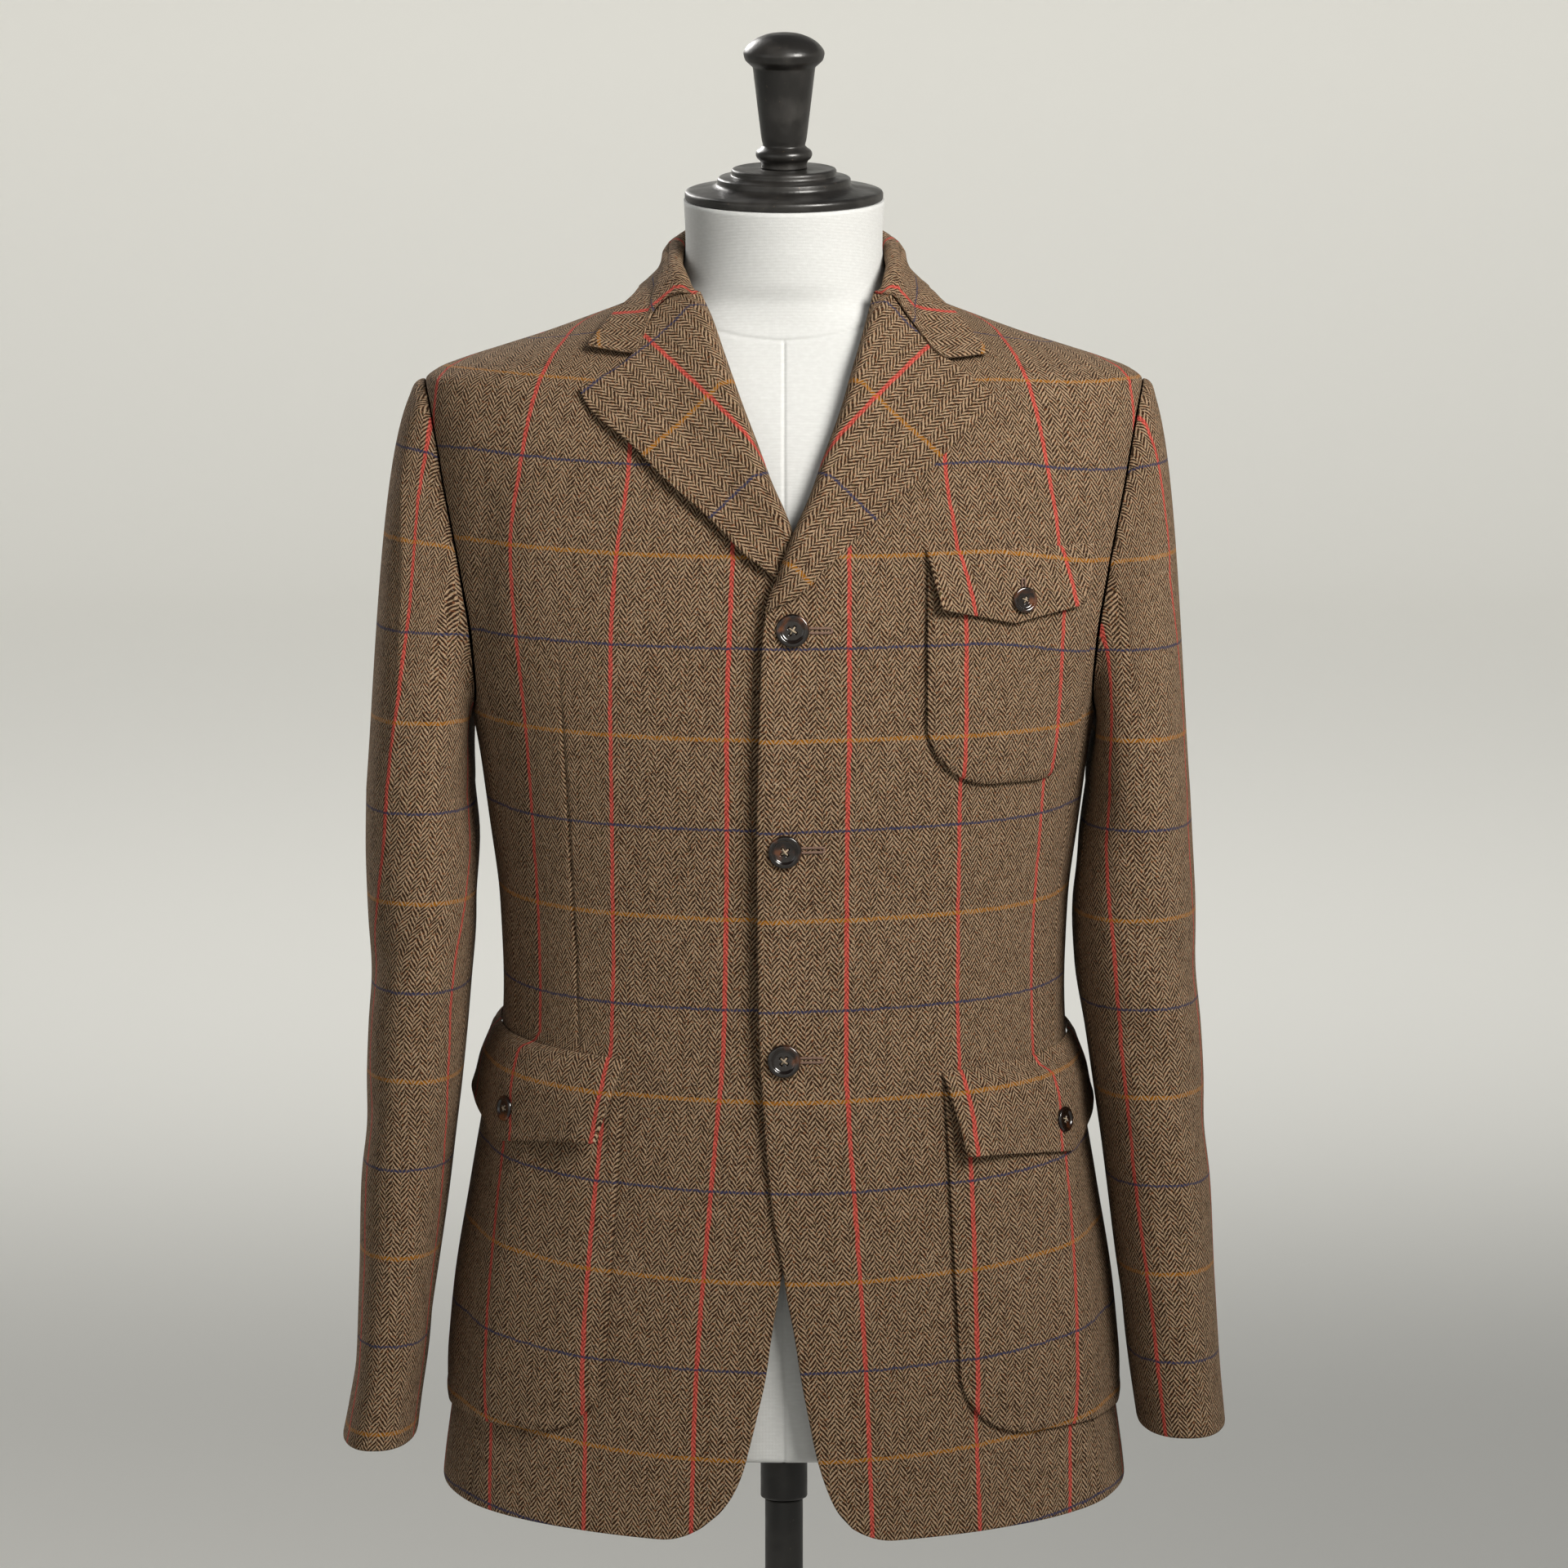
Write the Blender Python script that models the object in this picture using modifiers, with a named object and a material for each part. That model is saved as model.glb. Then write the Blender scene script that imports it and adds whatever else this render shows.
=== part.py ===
"""Tweed hacking jacket worn by a limbless dress form on a pole stand.

The wearer faces -Y, +X is the wearer's left, +Z is up, and the origin is the centre of the
base's underside. All lengths are metres. One body surface carries every panel: each height has
a rounded section with its own half width, front depth and back depth, and the panels, pockets,
flaps and lapels are patches of it, moved out by what lies beneath them.
"""

import math

import bmesh
import bpy
import numpy as np
from mathutils import Vector

# ---------------------------------------------------------------- driving sizes

COLLECTION = "tweed_jacket_on_dress_form"
CLOTH = 0.0022            # thickness of tweed with its canvas
SEAM = 0.0004             # distance between two pieces sewn edge to edge
REST = 0.0005             # distance between cloth and what it lies on
NORMAL_STEP = 0.004       # parameter step for the direction a wall faces

# height, half width, front depth, back depth, roundness of the section
BODY = np.array([
    (0.740, 0.2135, 0.131, 0.129, 2.35),
    (0.775, 0.2106, 0.130, 0.127, 2.35),
    (0.840, 0.2010, 0.129, 0.124, 2.35),
    (0.896, 0.1950, 0.128, 0.121, 2.35),
    (0.957, 0.1850, 0.127, 0.117, 2.35),
    (1.020, 0.1755, 0.124, 0.111, 2.35),
    (1.080, 0.1720, 0.121, 0.107, 2.35),
    (1.130, 0.1740, 0.121, 0.108, 2.35),
    (1.180, 0.1800, 0.124, 0.113, 2.35),
    (1.243, 0.1895, 0.127, 0.120, 2.40),
    (1.300, 0.2040, 0.124, 0.125, 2.40),
    (1.350, 0.2105, 0.116, 0.124, 2.40),
    (1.400, 0.2160, 0.104, 0.118, 2.40),
    (1.430, 0.2188, 0.093, 0.108, 2.40),
    (1.4485, 0.2175, 0.084, 0.099, 2.35),
    (1.4550, 0.2100, 0.080, 0.095, 2.30),
    (1.4610, 0.1950, 0.077, 0.091, 2.25),
    (1.4690, 0.1700, 0.072, 0.086, 2.25),
    (1.4770, 0.1450, 0.068, 0.081, 2.20),
    (1.4860, 0.1200, 0.064, 0.077, 2.20),
    (1.4955, 0.0950, 0.061, 0.073, 2.20),
    (1.5050, 0.0775, 0.064, 0.070, 2.20),
    (1.5200, 0.0690, 0.062, 0.068, 2.20),
    (1.5400, 0.0670, 0.060, 0.067, 2.20),
])

HEM_SIDE = 0.7740         # hem height at the side and back
HEM_DROP = 0.0180         # how much lower the hem is at the front
CORNER_LIFT = 0.0092      # rise of the hem into the rounded front corner
CORNER_WIDTH = 0.026      # distance from the edge over which it rises

# height, x of the free edge and roll line of the front that lies on top
LEFT_EDGE = np.array([
    (0.765, 0.0410), (0.776, 0.0320), (0.790, 0.0256), (0.808, 0.0200), (0.832, 0.0150),
    (0.859, 0.0100), (0.885, 0.0060), (0.906, 0.0020), (0.926, -0.0010), (0.960, -0.0070),
    (1.010, -0.0115), (1.075, -0.0150), (1.190, -0.0160), (1.240, -0.0150), (1.303, -0.0125),
    (1.323, -0.0090), (1.336, -0.0024), (1.359, 0.0070), (1.3865, 0.0193), (1.4095, 0.0275),
    (1.4357, 0.0373), (1.4586, 0.0442), (1.4810, 0.0510), (1.5030, 0.0570),
])

# the same for the front that lies beneath, with x measured towards its own side
RIGHT_EDGE = np.array([
    (0.762, 0.0490), (0.772, 0.0380), (0.783, 0.0305), (0.796, 0.0250), (0.811, 0.0210),
    (0.832, 0.0160), (0.855, 0.0110), (0.877, 0.0080), (0.902, 0.0040), (0.919, 0.0010),
    (0.960, -0.0070), (1.075, -0.0150), (1.190, -0.0160), (1.240, -0.0150), (1.303, -0.0125),
    (1.330, -0.0100), (1.345, -0.0070), (1.359, -0.0034), (1.375, 0.0024), (1.393, 0.0106),
    (1.416, 0.0193), (1.437, 0.0276), (1.4687, 0.0393), (1.488, 0.0462), (1.5030, 0.0530),
])

LAP_LIFT = CLOTH + 2 * REST   # how far the top front stands over the one beneath
LAP_FULL = 0.024          # x up to which it is fully lifted
LAP_END = 0.072           # x where it is back on the body surface
LAP_TOP = (1.335, 1.420)  # heights between which the lift fades above the top button

TUCK = (0.0047, 1.3460, 0.0240)   # extra lift over the tucked lapel, its height and half spread
TUCK_ACROSS = (0.008, 0.050)      # x over which that lift fades
TUCKED_CREST = (1.352, 1.385)     # heights between which the tucked lapel's fold gains its height

NECK_FRONT = 1.5030       # height of the neck seam at the roll line
NECK_SIDE = 1.5050        # and at the shoulder seam
NECK_BACK = 1.5130        # and at the centre back

# angle round the armhole from the shoulder seam over the front, y, height
ARMHOLE = np.array([
    (0, 0.000, 1.4485), (30, -0.028, 1.432), (60, -0.042, 1.385), (90, -0.054, 1.335),
    (120, -0.058, 1.292), (150, -0.042, 1.256), (180, 0.000, 1.243), (210, 0.044, 1.256),
    (240, 0.062, 1.295), (270, 0.062, 1.345), (300, 0.052, 1.395), (330, 0.034, 1.434),
    (360, 0.000, 1.4485),
])
FRONT_SIDE_TURN = 148     # where the front's side seam meets the armhole
SIDE_BACK_TURN = 216      # where the back's side seam meets it
SEAM_ANGLE_FRONT = (0.33, 0.29)   # angle of the front's side seam at the hem and at the waist
SEAM_ANGLE_BACK = (-0.42, -0.36)

# height, outer x, inner x, half depth front to back, y of the middle
LEFT_SLEEVE = np.array([
    (0.8080, 0.2720, 0.2180, 0.060, -0.014),
    (0.8450, 0.2685, 0.2125, 0.062, -0.012),
    (0.9000, 0.2650, 0.2055, 0.065, -0.009),
    (0.9600, 0.2620, 0.1980, 0.068, -0.006),
    (1.0500, 0.2560, 0.1850, 0.073, -0.003),
    (1.0900, 0.2535, 0.1785, 0.075, -0.002),
    (1.1300, 0.2520, 0.1765, 0.077, -0.001),
    (1.1650, 0.2500, 0.1800, 0.078, 0.001),
    (1.2000, 0.2480, 0.1850, 0.079, 0.002),
])
RIGHT_SLEEVE = np.array([
    (0.8000, 0.2720, 0.2265, 0.060, -0.014),
    (0.8200, 0.2680, 0.2240, 0.061, -0.013),
    (0.8500, 0.2632, 0.2195, 0.062, -0.012),
    (0.9000, 0.2615, 0.2133, 0.065, -0.009),
    (0.9550, 0.2600, 0.2055, 0.068, -0.006),
    (1.0500, 0.2550, 0.1945, 0.073, -0.003),
    (1.0800, 0.2540, 0.1920, 0.075, -0.002),
    (1.1300, 0.2550, 0.1875, 0.077, -0.001),
    (1.1650, 0.2558, 0.1865, 0.078, 0.001),
    (1.2000, 0.2552, 0.1895, 0.079, 0.002),
])
SLEEVE_ROUNDNESS = 2.35
SLEEVE_LEAN = 0.08        # how far the upper arm still spreads for each metre it falls
CAP_SPRING = {1: 0.24, -1: 0.31}  # how strongly each sleeve head springs out of the armhole
FOREARM_SEAM = 160        # turns round the sleeve where its two pieces meet
HINDARM_SEAM = 250
CAP_ROWS = 9              # rows between the armhole and the biceps
ARM_ROWS = 12             # rows between the biceps and the cuff

# height, turn, half height, half turn, depth of the hollows where the sleeves break
SLEEVE_FOLDS = np.array([
    (1.105, 60, 0.020, 48, 0.0035),
    (1.050, 100, 0.018, 40, 0.0030),
    (1.000, 30, 0.022, 45, 0.0025),
    (0.930, 75, 0.024, 40, 0.0022),
    (1.080, 290, 0.024, 55, 0.0040),
    (1.010, 260, 0.022, 45, 0.0030),
])

# x, height of the end line shared by each lapel and the collar, from the roll line outwards
LEFT_GORGE = np.array([(0.0570, 1.5030), (0.0720, 1.4860), (0.0985, 1.4625), (0.1270, 1.4413)])
RIGHT_GORGE = np.array([(0.0530, 1.5030), (0.0740, 1.4910), (0.0907, 1.4654), (0.1215, 1.4460)])
# x, height of each lapel's outer edge, from its lower end up to the tip
LEFT_LAPEL_EDGE = np.array([
    (-0.0075, 1.3188), (-0.0002, 1.3215), (0.0130, 1.3290), (0.0242, 1.3410), (0.0576, 1.3740),
    (0.0785, 1.3937), (0.1036, 1.4180), (0.1164, 1.4305), (0.1270, 1.4413),
])
RIGHT_LAPEL_EDGE = np.array([
    (-0.0020, 1.3330), (0.0060, 1.3385), (0.0226, 1.3506), (0.0424, 1.3705), (0.0691, 1.3937),
    (0.0893, 1.4137), (0.1165, 1.4370), (0.1215, 1.4460),
])
LAPEL_ROLL_START = {1: 1.3170, -1: 1.3490}   # height where each lapel begins on the roll line
LAPEL_ROLL_HEIGHT = 0.0045                   # how far the fold stands over the lying lapel
ROLL_WRAP = 0.0050                           # width of the stretch that wraps round the edge
ROLL_OVERHANG = 0.0040                       # how far the fold passes the front's edge
LAPEL_LIE = CLOTH + REST                     # how far its face is from the front when it lies
FOLD_CROWDING = 1.4                          # draws the lapel's columns towards the fold

# turn from the centre back (0) to the gorge (1), x, y, height of the collar's fold
COLLAR_FOLD = np.array([
    (0.00, 0.0000, 0.0710, 1.5480), (0.20, 0.0290, 0.0645, 1.5455), (0.40, 0.0530, 0.0420, 1.5380),
    (0.60, 0.0653, 0.0080, 1.5290), (0.75, 0.0655, -0.0220, 1.5220), (0.88, 0.0610, -0.0430, 1.5150),
    (1.00, 0.0560, -0.0590, 1.5050),
])
# turn, angle and height of the outer edge on the body surface
COLLAR_EDGE = np.array([
    (0.00, -1.5708, 1.5020), (0.20, -1.0500, 1.5000), (0.40, -0.5200, 1.4970),
    (0.60, 0.0000, 1.4945), (0.80, 0.2900, 1.4860), (1.00, 0.4700, 1.4690),
])
COLLAR_TIP = {1: (0.1220, 1.4660), -1: (0.1180, 1.4690)}
# x and height between the collar's end and each lapel
GORGE_GAP = {1: (0.0019, 0.0023), -1: (0.0027, 0.0027)}
COLLAR_FOLD_RADIUS = 0.0028
COLLAR_BULGE = (0.0030, -0.0035)     # swell of the fall at the centre back and at the sides

# height, half width, front depth, back depth, y of the middle
FORM = np.array([
    (0.8020, 0.1850, 0.114, 0.110, 0.000),
    (0.9000, 0.1810, 0.114, 0.107, 0.000),
    (0.9600, 0.1710, 0.113, 0.103, 0.000),
    (1.0200, 0.1620, 0.111, 0.098, 0.000),
    (1.0800, 0.1585, 0.108, 0.094, 0.000),
    (1.1300, 0.1600, 0.108, 0.095, 0.000),
    (1.1800, 0.1665, 0.111, 0.100, 0.000),
    (1.2430, 0.1755, 0.114, 0.107, 0.000),
    (1.3000, 0.1830, 0.112, 0.112, 0.000),
    (1.3500, 0.1880, 0.105, 0.112, 0.000),
    (1.4000, 0.1910, 0.094, 0.106, 0.000),
    (1.4300, 0.1905, 0.083, 0.095, 0.000),
    (1.4460, 0.1850, 0.075, 0.086, 0.000),
    (1.4560, 0.1700, 0.069, 0.081, 0.000),
    (1.4660, 0.1440, 0.064, 0.076, 0.000),
    (1.4760, 0.1160, 0.060, 0.071, 0.000),
    (1.4860, 0.0900, 0.057, 0.067, 0.000),
    (1.4960, 0.0715, 0.056, 0.064, 0.000),
    (1.5100, 0.0620, 0.059, 0.062, 0.000),
    (1.5300, 0.0596, 0.060, 0.060, -0.001),
    (1.5570, 0.0606, 0.060, 0.060, -0.004),
])
FORM_ROUNDNESS = 2.2
NECK_LEAN = math.radians(6)
NECK_TOP = 1.5570

POLE_RADIUS = 0.01175
POLE_COLLAR = (0.0145, 0.7545, 0.8015)      # radius, lower and upper height
BASE_RADIUS = 0.200
BASE_RIM = 0.010
BASE_HUB = (0.030, 0.034)                   # radius and height of the hub round the pole


# ---------------------------------------------------------------- tables and the body surface

def smooth_column(table, column, at):
    """Monotone cubic through one column of a table whose first column rises."""
    knots, values = table[:, 0], table[:, column]
    gaps = np.diff(knots)
    slopes = np.diff(values) / gaps
    tangents = np.concatenate([slopes[:1], np.zeros(len(knots) - 2), slopes[-1:]])
    before, after = slopes[:-1], slopes[1:]
    same_way = before * after > 0
    tangents[1:-1][same_way] = 2 * before[same_way] * after[same_way] / (before + after)[same_way]
    at = np.clip(np.asarray(at, dtype=float), knots[0], knots[-1])
    cell = np.clip(np.searchsorted(knots, at, side="right") - 1, 0, len(gaps) - 1)
    width = gaps[cell]
    t = (at - knots[cell]) / width
    return ((2 * t**3 - 3 * t**2 + 1) * values[cell] + (t**3 - 2 * t**2 + t) * width * tangents[cell]
            + (3 * t**2 - 2 * t**3) * values[cell + 1] + (t**3 - t**2) * width * tangents[cell + 1])


def smooth_step(value, start, end):
    """Rise from 0 at start to 1 at end without a corner."""
    t = np.clip((value - start) / (end - start), 0.0, 1.0)
    return t * t * (3 - 2 * t)


def body_radius(angle, height):
    """Distance from the axis to the body surface; angle 0 is the side, +90 degrees the front."""
    width = smooth_column(BODY, 1, height)
    depth = np.where(np.sin(angle) > 0, smooth_column(BODY, 2, height), smooth_column(BODY, 3, height))
    power = smooth_column(BODY, 4, height)
    inverse = (np.abs(np.cos(angle)) / width) ** power + (np.abs(np.sin(angle)) / depth) ** power
    return inverse ** (-1 / power)


def body_point(angle, height):
    """Point of the body surface on the wearer's left."""
    angle, height = np.broadcast_arrays(angle, height)
    radius = body_radius(angle, height)
    return np.stack([radius * np.cos(angle), -radius * np.sin(angle), height], axis=-1)


def body_normal(angle, height):
    """Outward direction of the body surface."""
    step = 0.0015
    along = body_point(angle + step, height) - body_point(angle - step, height)
    up = body_point(angle, height + step) - body_point(angle, height - step)
    normal = np.cross(up, along)
    return normal / np.linalg.norm(normal, axis=-1, keepdims=True)


def body_point_out(angle, height, out):
    """Point of the body surface moved outwards."""
    return body_point(angle, height) + body_normal(angle, height) * np.asarray(out)[..., None]


def angle_from_x(x, height):
    """Angle of the front surface's point at a given x, also a little past the centre."""
    width = smooth_column(BODY, 1, height)
    depth = smooth_column(BODY, 2, height)
    power = smooth_column(BODY, 4, height)
    share = np.clip(1 - np.abs(x / width) ** power, 1e-9, None) ** (1 / power)
    return np.arctan2(depth * share, x)


def angle_from_y(y, height):
    """Angle of the side surface's point at a given y."""
    width = smooth_column(BODY, 1, height)
    depth = np.where(y < 0, smooth_column(BODY, 2, height), smooth_column(BODY, 3, height))
    power = smooth_column(BODY, 4, height)
    share = np.clip(1 - np.abs(y / depth) ** power, 1e-9, None) ** (1 / power)
    return np.arctan2(-y, width * share)


def angle_at_arc(x_start, arc, height):
    """Angle reached by walking a distance round the section from a given x on the front."""
    flat_height = np.ravel(height)
    flat_arc = np.ravel(np.broadcast_to(arc, np.shape(height)))
    flat_x = np.ravel(np.broadcast_to(x_start, np.shape(height)))
    found = np.empty(len(flat_height))
    for index, level in enumerate(flat_height):
        angles = angle_from_x(flat_x[index], level) - np.linspace(0.0, 1.75, 71)
        outline = body_point(angles, np.full(71, level))
        steps = np.linalg.norm(np.diff(outline, axis=0), axis=1)
        found[index] = np.interp(flat_arc[index], np.concatenate([[0.0], np.cumsum(steps)]), angles)
    return found.reshape(np.shape(height))


def hem_height(angle):
    """Hem height round the body, lower at the front."""
    return HEM_SIDE - HEM_DROP * np.clip(np.sin(angle), 0.0, 1.0) ** 0.8


def lap_lift(x, height):
    """How far the top front stands out where it covers the one beneath."""
    lap = LAP_LIFT * (1 - smooth_step(x, LAP_FULL, LAP_END)) * (1 - smooth_step(height, *LAP_TOP))
    extra, level, spread = TUCK
    return lap + extra * np.exp(-((height - level) / spread) ** 2) * (1 - smooth_step(x, *TUCK_ACROSS))


def armhole_at(turn):
    """Angle and height of the armhole at a turn in degrees."""
    turn = np.mod(turn, 360.0)
    wrapped = np.concatenate([ARMHOLE[-3:-1] - (360, 0, 0), ARMHOLE, ARMHOLE[1:3] + (360, 0, 0)])
    knots = wrapped[:, 0]
    cell = np.clip(np.searchsorted(knots, turn, side="right") - 1, 1, len(knots) - 3)
    t = (turn - knots[cell]) / (knots[cell + 1] - knots[cell])
    y, height = (
        0.5 * (2 * wrapped[cell, c] + (wrapped[cell + 1, c] - wrapped[cell - 1, c]) * t
               + (2 * wrapped[cell - 1, c] - 5 * wrapped[cell, c] + 4 * wrapped[cell + 1, c]
                  - wrapped[cell + 2, c]) * t**2
               + (3 * wrapped[cell, c] - wrapped[cell - 1, c] - 3 * wrapped[cell + 1, c]
                  + wrapped[cell + 2, c]) * t**3)
        for c in (1, 2))
    return angle_from_y(y, height), height


# ---------------------------------------------------------------- body panels

BODY_ROWS = 15            # rows between the hem and the underarm
CHEST_ROWS = 11           # rows between the underarm and the shoulder seam
PANEL_ROWS = BODY_ROWS + CHEST_ROWS
UNDERARM = BODY_ROWS / PANEL_ROWS
NECK_ROWS_FRONT = 2 / CHEST_ROWS   # share of the chest rows that end on the neck seam
NECK_ROWS_BACK = 4 / CHEST_ROWS


def panel_rise(v):
    """Share of the height below the armhole, with closer rows towards the rounded hem."""
    return np.clip(v, 0.0, 1.0) ** 1.35


def side_seam_angle(ends, top_angle, rise):
    """Angle of a side seam from the hem through the waist to the armhole."""
    hem, waist = ends
    knots = np.array([(0.0, hem), (0.6, waist), (1.0, top_angle)])
    return smooth_column(knots, 1, rise)


def front_surface(side):
    """Front panel from its free edge to the side seam, hem to shoulder seam."""
    edge = LEFT_EDGE if side > 0 else RIGHT_EDGE

    def surface(u, v):
        rise = panel_rise(v / UNDERARM)
        chest = np.clip((v - UNDERARM) / (1 - UNDERARM), 0.0, 1.0)
        seam_top, seam_top_height = armhole_at(FRONT_SIDE_TURN)
        side_angle, side_height = armhole_at(FRONT_SIDE_TURN * (1 - chest))
        seam_angle = side_seam_angle(SEAM_ANGLE_FRONT, seam_top, rise)
        outer_angle = np.where(v < UNDERARM, seam_angle, side_angle)
        outer_angle = outer_angle + SEAM / 2 / body_radius(outer_angle, side_height)

        below = edge[0, 0] + (seam_top_height - edge[0, 0]) * rise
        rolled = np.clip(chest / (1 - NECK_ROWS_FRONT), 0.0, 1.0)
        above = seam_top_height + (NECK_FRONT - seam_top_height) * rolled
        edge_height = np.where(v < UNDERARM, below, above)
        edge_angle = angle_from_x(smooth_column(edge, 1, edge_height), edge_height)
        neck = np.clip((chest - 1 + NECK_ROWS_FRONT) / NECK_ROWS_FRONT, 0.0, 1.0)
        edge_angle = edge_angle * (1 - neck)
        edge_height = edge_height + (NECK_SIDE - NECK_FRONT) * neck

        angle = edge_angle + (outer_angle - edge_angle) * u
        x = body_radius(angle, edge_height) * np.cos(angle)
        corner = np.clip(1 - (x - edge[0, 1]) / CORNER_WIDTH, 0.0, 1.0) ** 2
        hem = hem_height(angle) + CORNER_LIFT * corner
        low = hem + (seam_top_height - hem) * rise
        high = edge_height + (side_height - edge_height) * u
        height = np.where(v < UNDERARM, low, high)
        angle = np.where(v > 0.999, SEAM / 2 / body_radius(0.0 * u, height), angle)
        out = lap_lift(x, height) if side > 0 else 0.0 * u
        return body_point_out(angle, height, out)

    return surface


def side_surface(u, v):
    """Side body from the front's seam to the back's seam, hem to armhole."""
    v = panel_rise(v)
    turn = FRONT_SIDE_TURN + (SIDE_BACK_TURN - FRONT_SIDE_TURN) * u
    top_angle, top_height = armhole_at(turn)
    front = side_seam_angle(SEAM_ANGLE_FRONT, armhole_at(FRONT_SIDE_TURN)[0], v)
    back = side_seam_angle(SEAM_ANGLE_BACK, armhole_at(SIDE_BACK_TURN)[0], v)
    share = (top_angle - armhole_at(FRONT_SIDE_TURN)[0])
    share = share / (armhole_at(SIDE_BACK_TURN)[0] - armhole_at(FRONT_SIDE_TURN)[0])
    angle = front + (back - front) * share
    angle = angle + (0.5 - u) * 2 * -SEAM / 2 / body_radius(angle, top_height)
    hem = hem_height(angle)
    straight = armhole_at(FRONT_SIDE_TURN)[1] * (1 - u) + armhole_at(SIDE_BACK_TURN)[1] * u
    dip = (top_height - straight) * smooth_step(v, 0.5, 1.0)
    height = hem + (straight - hem) * v + dip
    return body_point(angle, height)


def back_surface(u, v):
    """Back half from the side seam to the centre back, hem to shoulder seam."""
    rise = panel_rise(v / UNDERARM)
    chest = np.clip((v - UNDERARM) / (1 - UNDERARM), 0.0, 1.0)
    seam_top, seam_top_height = armhole_at(SIDE_BACK_TURN)
    side_angle, side_height = armhole_at(SIDE_BACK_TURN + (360 - 1e-6 - SIDE_BACK_TURN) * chest)
    outer_angle = np.where(v < UNDERARM, side_seam_angle(SEAM_ANGLE_BACK, seam_top, rise), side_angle)
    outer_angle = outer_angle - SEAM / 2 / body_radius(outer_angle, side_height)

    spine = np.clip(chest / (1 - NECK_ROWS_BACK), 0.0, 1.0)
    neck = np.clip((chest - 1 + NECK_ROWS_BACK) / NECK_ROWS_BACK, 0.0, 1.0)
    centre_height = seam_top_height + (NECK_BACK - seam_top_height) * spine
    centre_height = centre_height + (NECK_SIDE - NECK_BACK) * neck
    half_gap = SEAM / 2 / body_radius(-math.pi / 2 + 0.0 * u, centre_height)
    centre_angle = (-math.pi / 2 + half_gap) * (1 - neck)

    angle = outer_angle + (centre_angle - outer_angle) * u
    hem = hem_height(angle)
    low = hem + (seam_top_height - hem) * rise
    high = side_height + (centre_height - side_height) * u
    height = np.where(v < UNDERARM, low, high)
    angle = np.where(v > 0.999, -SEAM / 2 / body_radius(0.0 * u, height), angle)
    return body_point(angle, height)


# ---------------------------------------------------------------- sleeves

def sleeve_ring(side, turn, height):
    """Point of a sleeve's rounded section at a height."""
    table = LEFT_SLEEVE if side > 0 else RIGHT_SLEEVE
    outer = smooth_column(table, 1, height)
    inner = smooth_column(table, 2, height)
    depth = smooth_column(table, 3, height)
    middle = smooth_column(table, 4, height)
    angle = np.radians(turn)
    half = (outer - inner) / 2
    inverse = (np.abs(np.cos(angle)) / half) ** SLEEVE_ROUNDNESS
    inverse = inverse + (np.abs(np.sin(angle)) / depth) ** SLEEVE_ROUNDNESS
    radius = inverse ** (-1 / SLEEVE_ROUNDNESS)
    x = (outer + inner) / 2 + radius * np.cos(angle)
    return np.stack([x, middle - radius * np.sin(angle), height + 0.0 * x], axis=-1)


def ring_turn(side, turn):
    """Turn on the flat biceps section that a turn round the armhole leads to."""
    table = LEFT_SLEEVE if side > 0 else RIGHT_SLEEVE
    half = (table[-1, 1] - table[-1, 2]) / 2
    depth = table[-1, 3]
    angle = np.radians(turn)
    return np.degrees(np.arctan2(np.sin(angle) * depth, np.cos(angle) * half))


def sleeve_fold_depth(turn, height):
    """Depth of the soft hollows where the cloth breaks."""
    depth = 0.0 * turn
    for level, at, half_height, half_turn, deep in SLEEVE_FOLDS:
        away = np.mod(turn - at + 180, 360) - 180
        tilt = height - level - 0.00035 * away
        depth = depth + deep * np.exp(-(tilt / half_height) ** 2 - (away / half_turn) ** 2)
    return depth


def sleeve_surface(side, first_turn, last_turn):
    """Sleeve piece between two turns, cuff to armhole."""
    table = LEFT_SLEEVE if side > 0 else RIGHT_SLEEVE
    cuff, biceps = table[0, 0], table[-1, 0]
    arm_share = ARM_ROWS / (ARM_ROWS + CAP_ROWS)

    def surface(u, v):
        turn = first_turn + (last_turn - first_turn) * u
        round_turn = ring_turn(side, turn)
        arm = np.clip(v / arm_share, 0.0, 1.0)
        height = cuff + (biceps - cuff) * arm
        ring = sleeve_ring(side, round_turn, height)

        angle, top_height = armhole_at(turn)
        start = body_point(angle, top_height)
        end = sleeve_ring(side, round_turn, biceps + 0.0 * u)
        reach = np.linalg.norm(start - end, axis=-1, keepdims=True)
        wave = np.radians(turn)
        under = ((1 - np.cos(wave)) / 2) ** 3
        spring = np.stack([1.0 + 0.0 * u, -0.25 * np.sin(wave), -0.25 - 0.6 * under], axis=-1)
        start = start + spring * SEAM * 1.2
        leave = spring * CAP_SPRING[side] * reach
        arrive = np.stack([SLEEVE_LEAN + 0.0 * u, 0.0 * u, -1.0 + 0.0 * u], axis=-1) * reach
        t = 1 - np.clip((v - arm_share) / (1 - arm_share), 0.0, 1.0)[..., None]
        cap = ((2 * t**3 - 3 * t**2 + 1) * start + (t**3 - 2 * t**2 + t) * leave
               + (3 * t**2 - 2 * t**3) * end + (t**3 - t**2) * arrive)
        points = np.where((v <= arm_share)[..., None], ring, cap)
        inward = np.stack([np.cos(wave), -np.sin(wave), 0.0 * u], axis=-1)
        return points - inward * sleeve_fold_depth(turn, points[..., 2])[..., None]

    return surface


# ---------------------------------------------------------------- lapels and collar

def along(points, share):
    """Point at a share of the length of a line through a few points."""
    steps = np.linalg.norm(np.diff(points, axis=0), axis=1)
    lengths = np.concatenate([[0.0], np.cumsum(steps)]) / steps.sum()
    table = np.column_stack([lengths, points])
    return np.stack([smooth_column(table, c + 1, share) for c in range(points.shape[1])], axis=-1)


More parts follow.
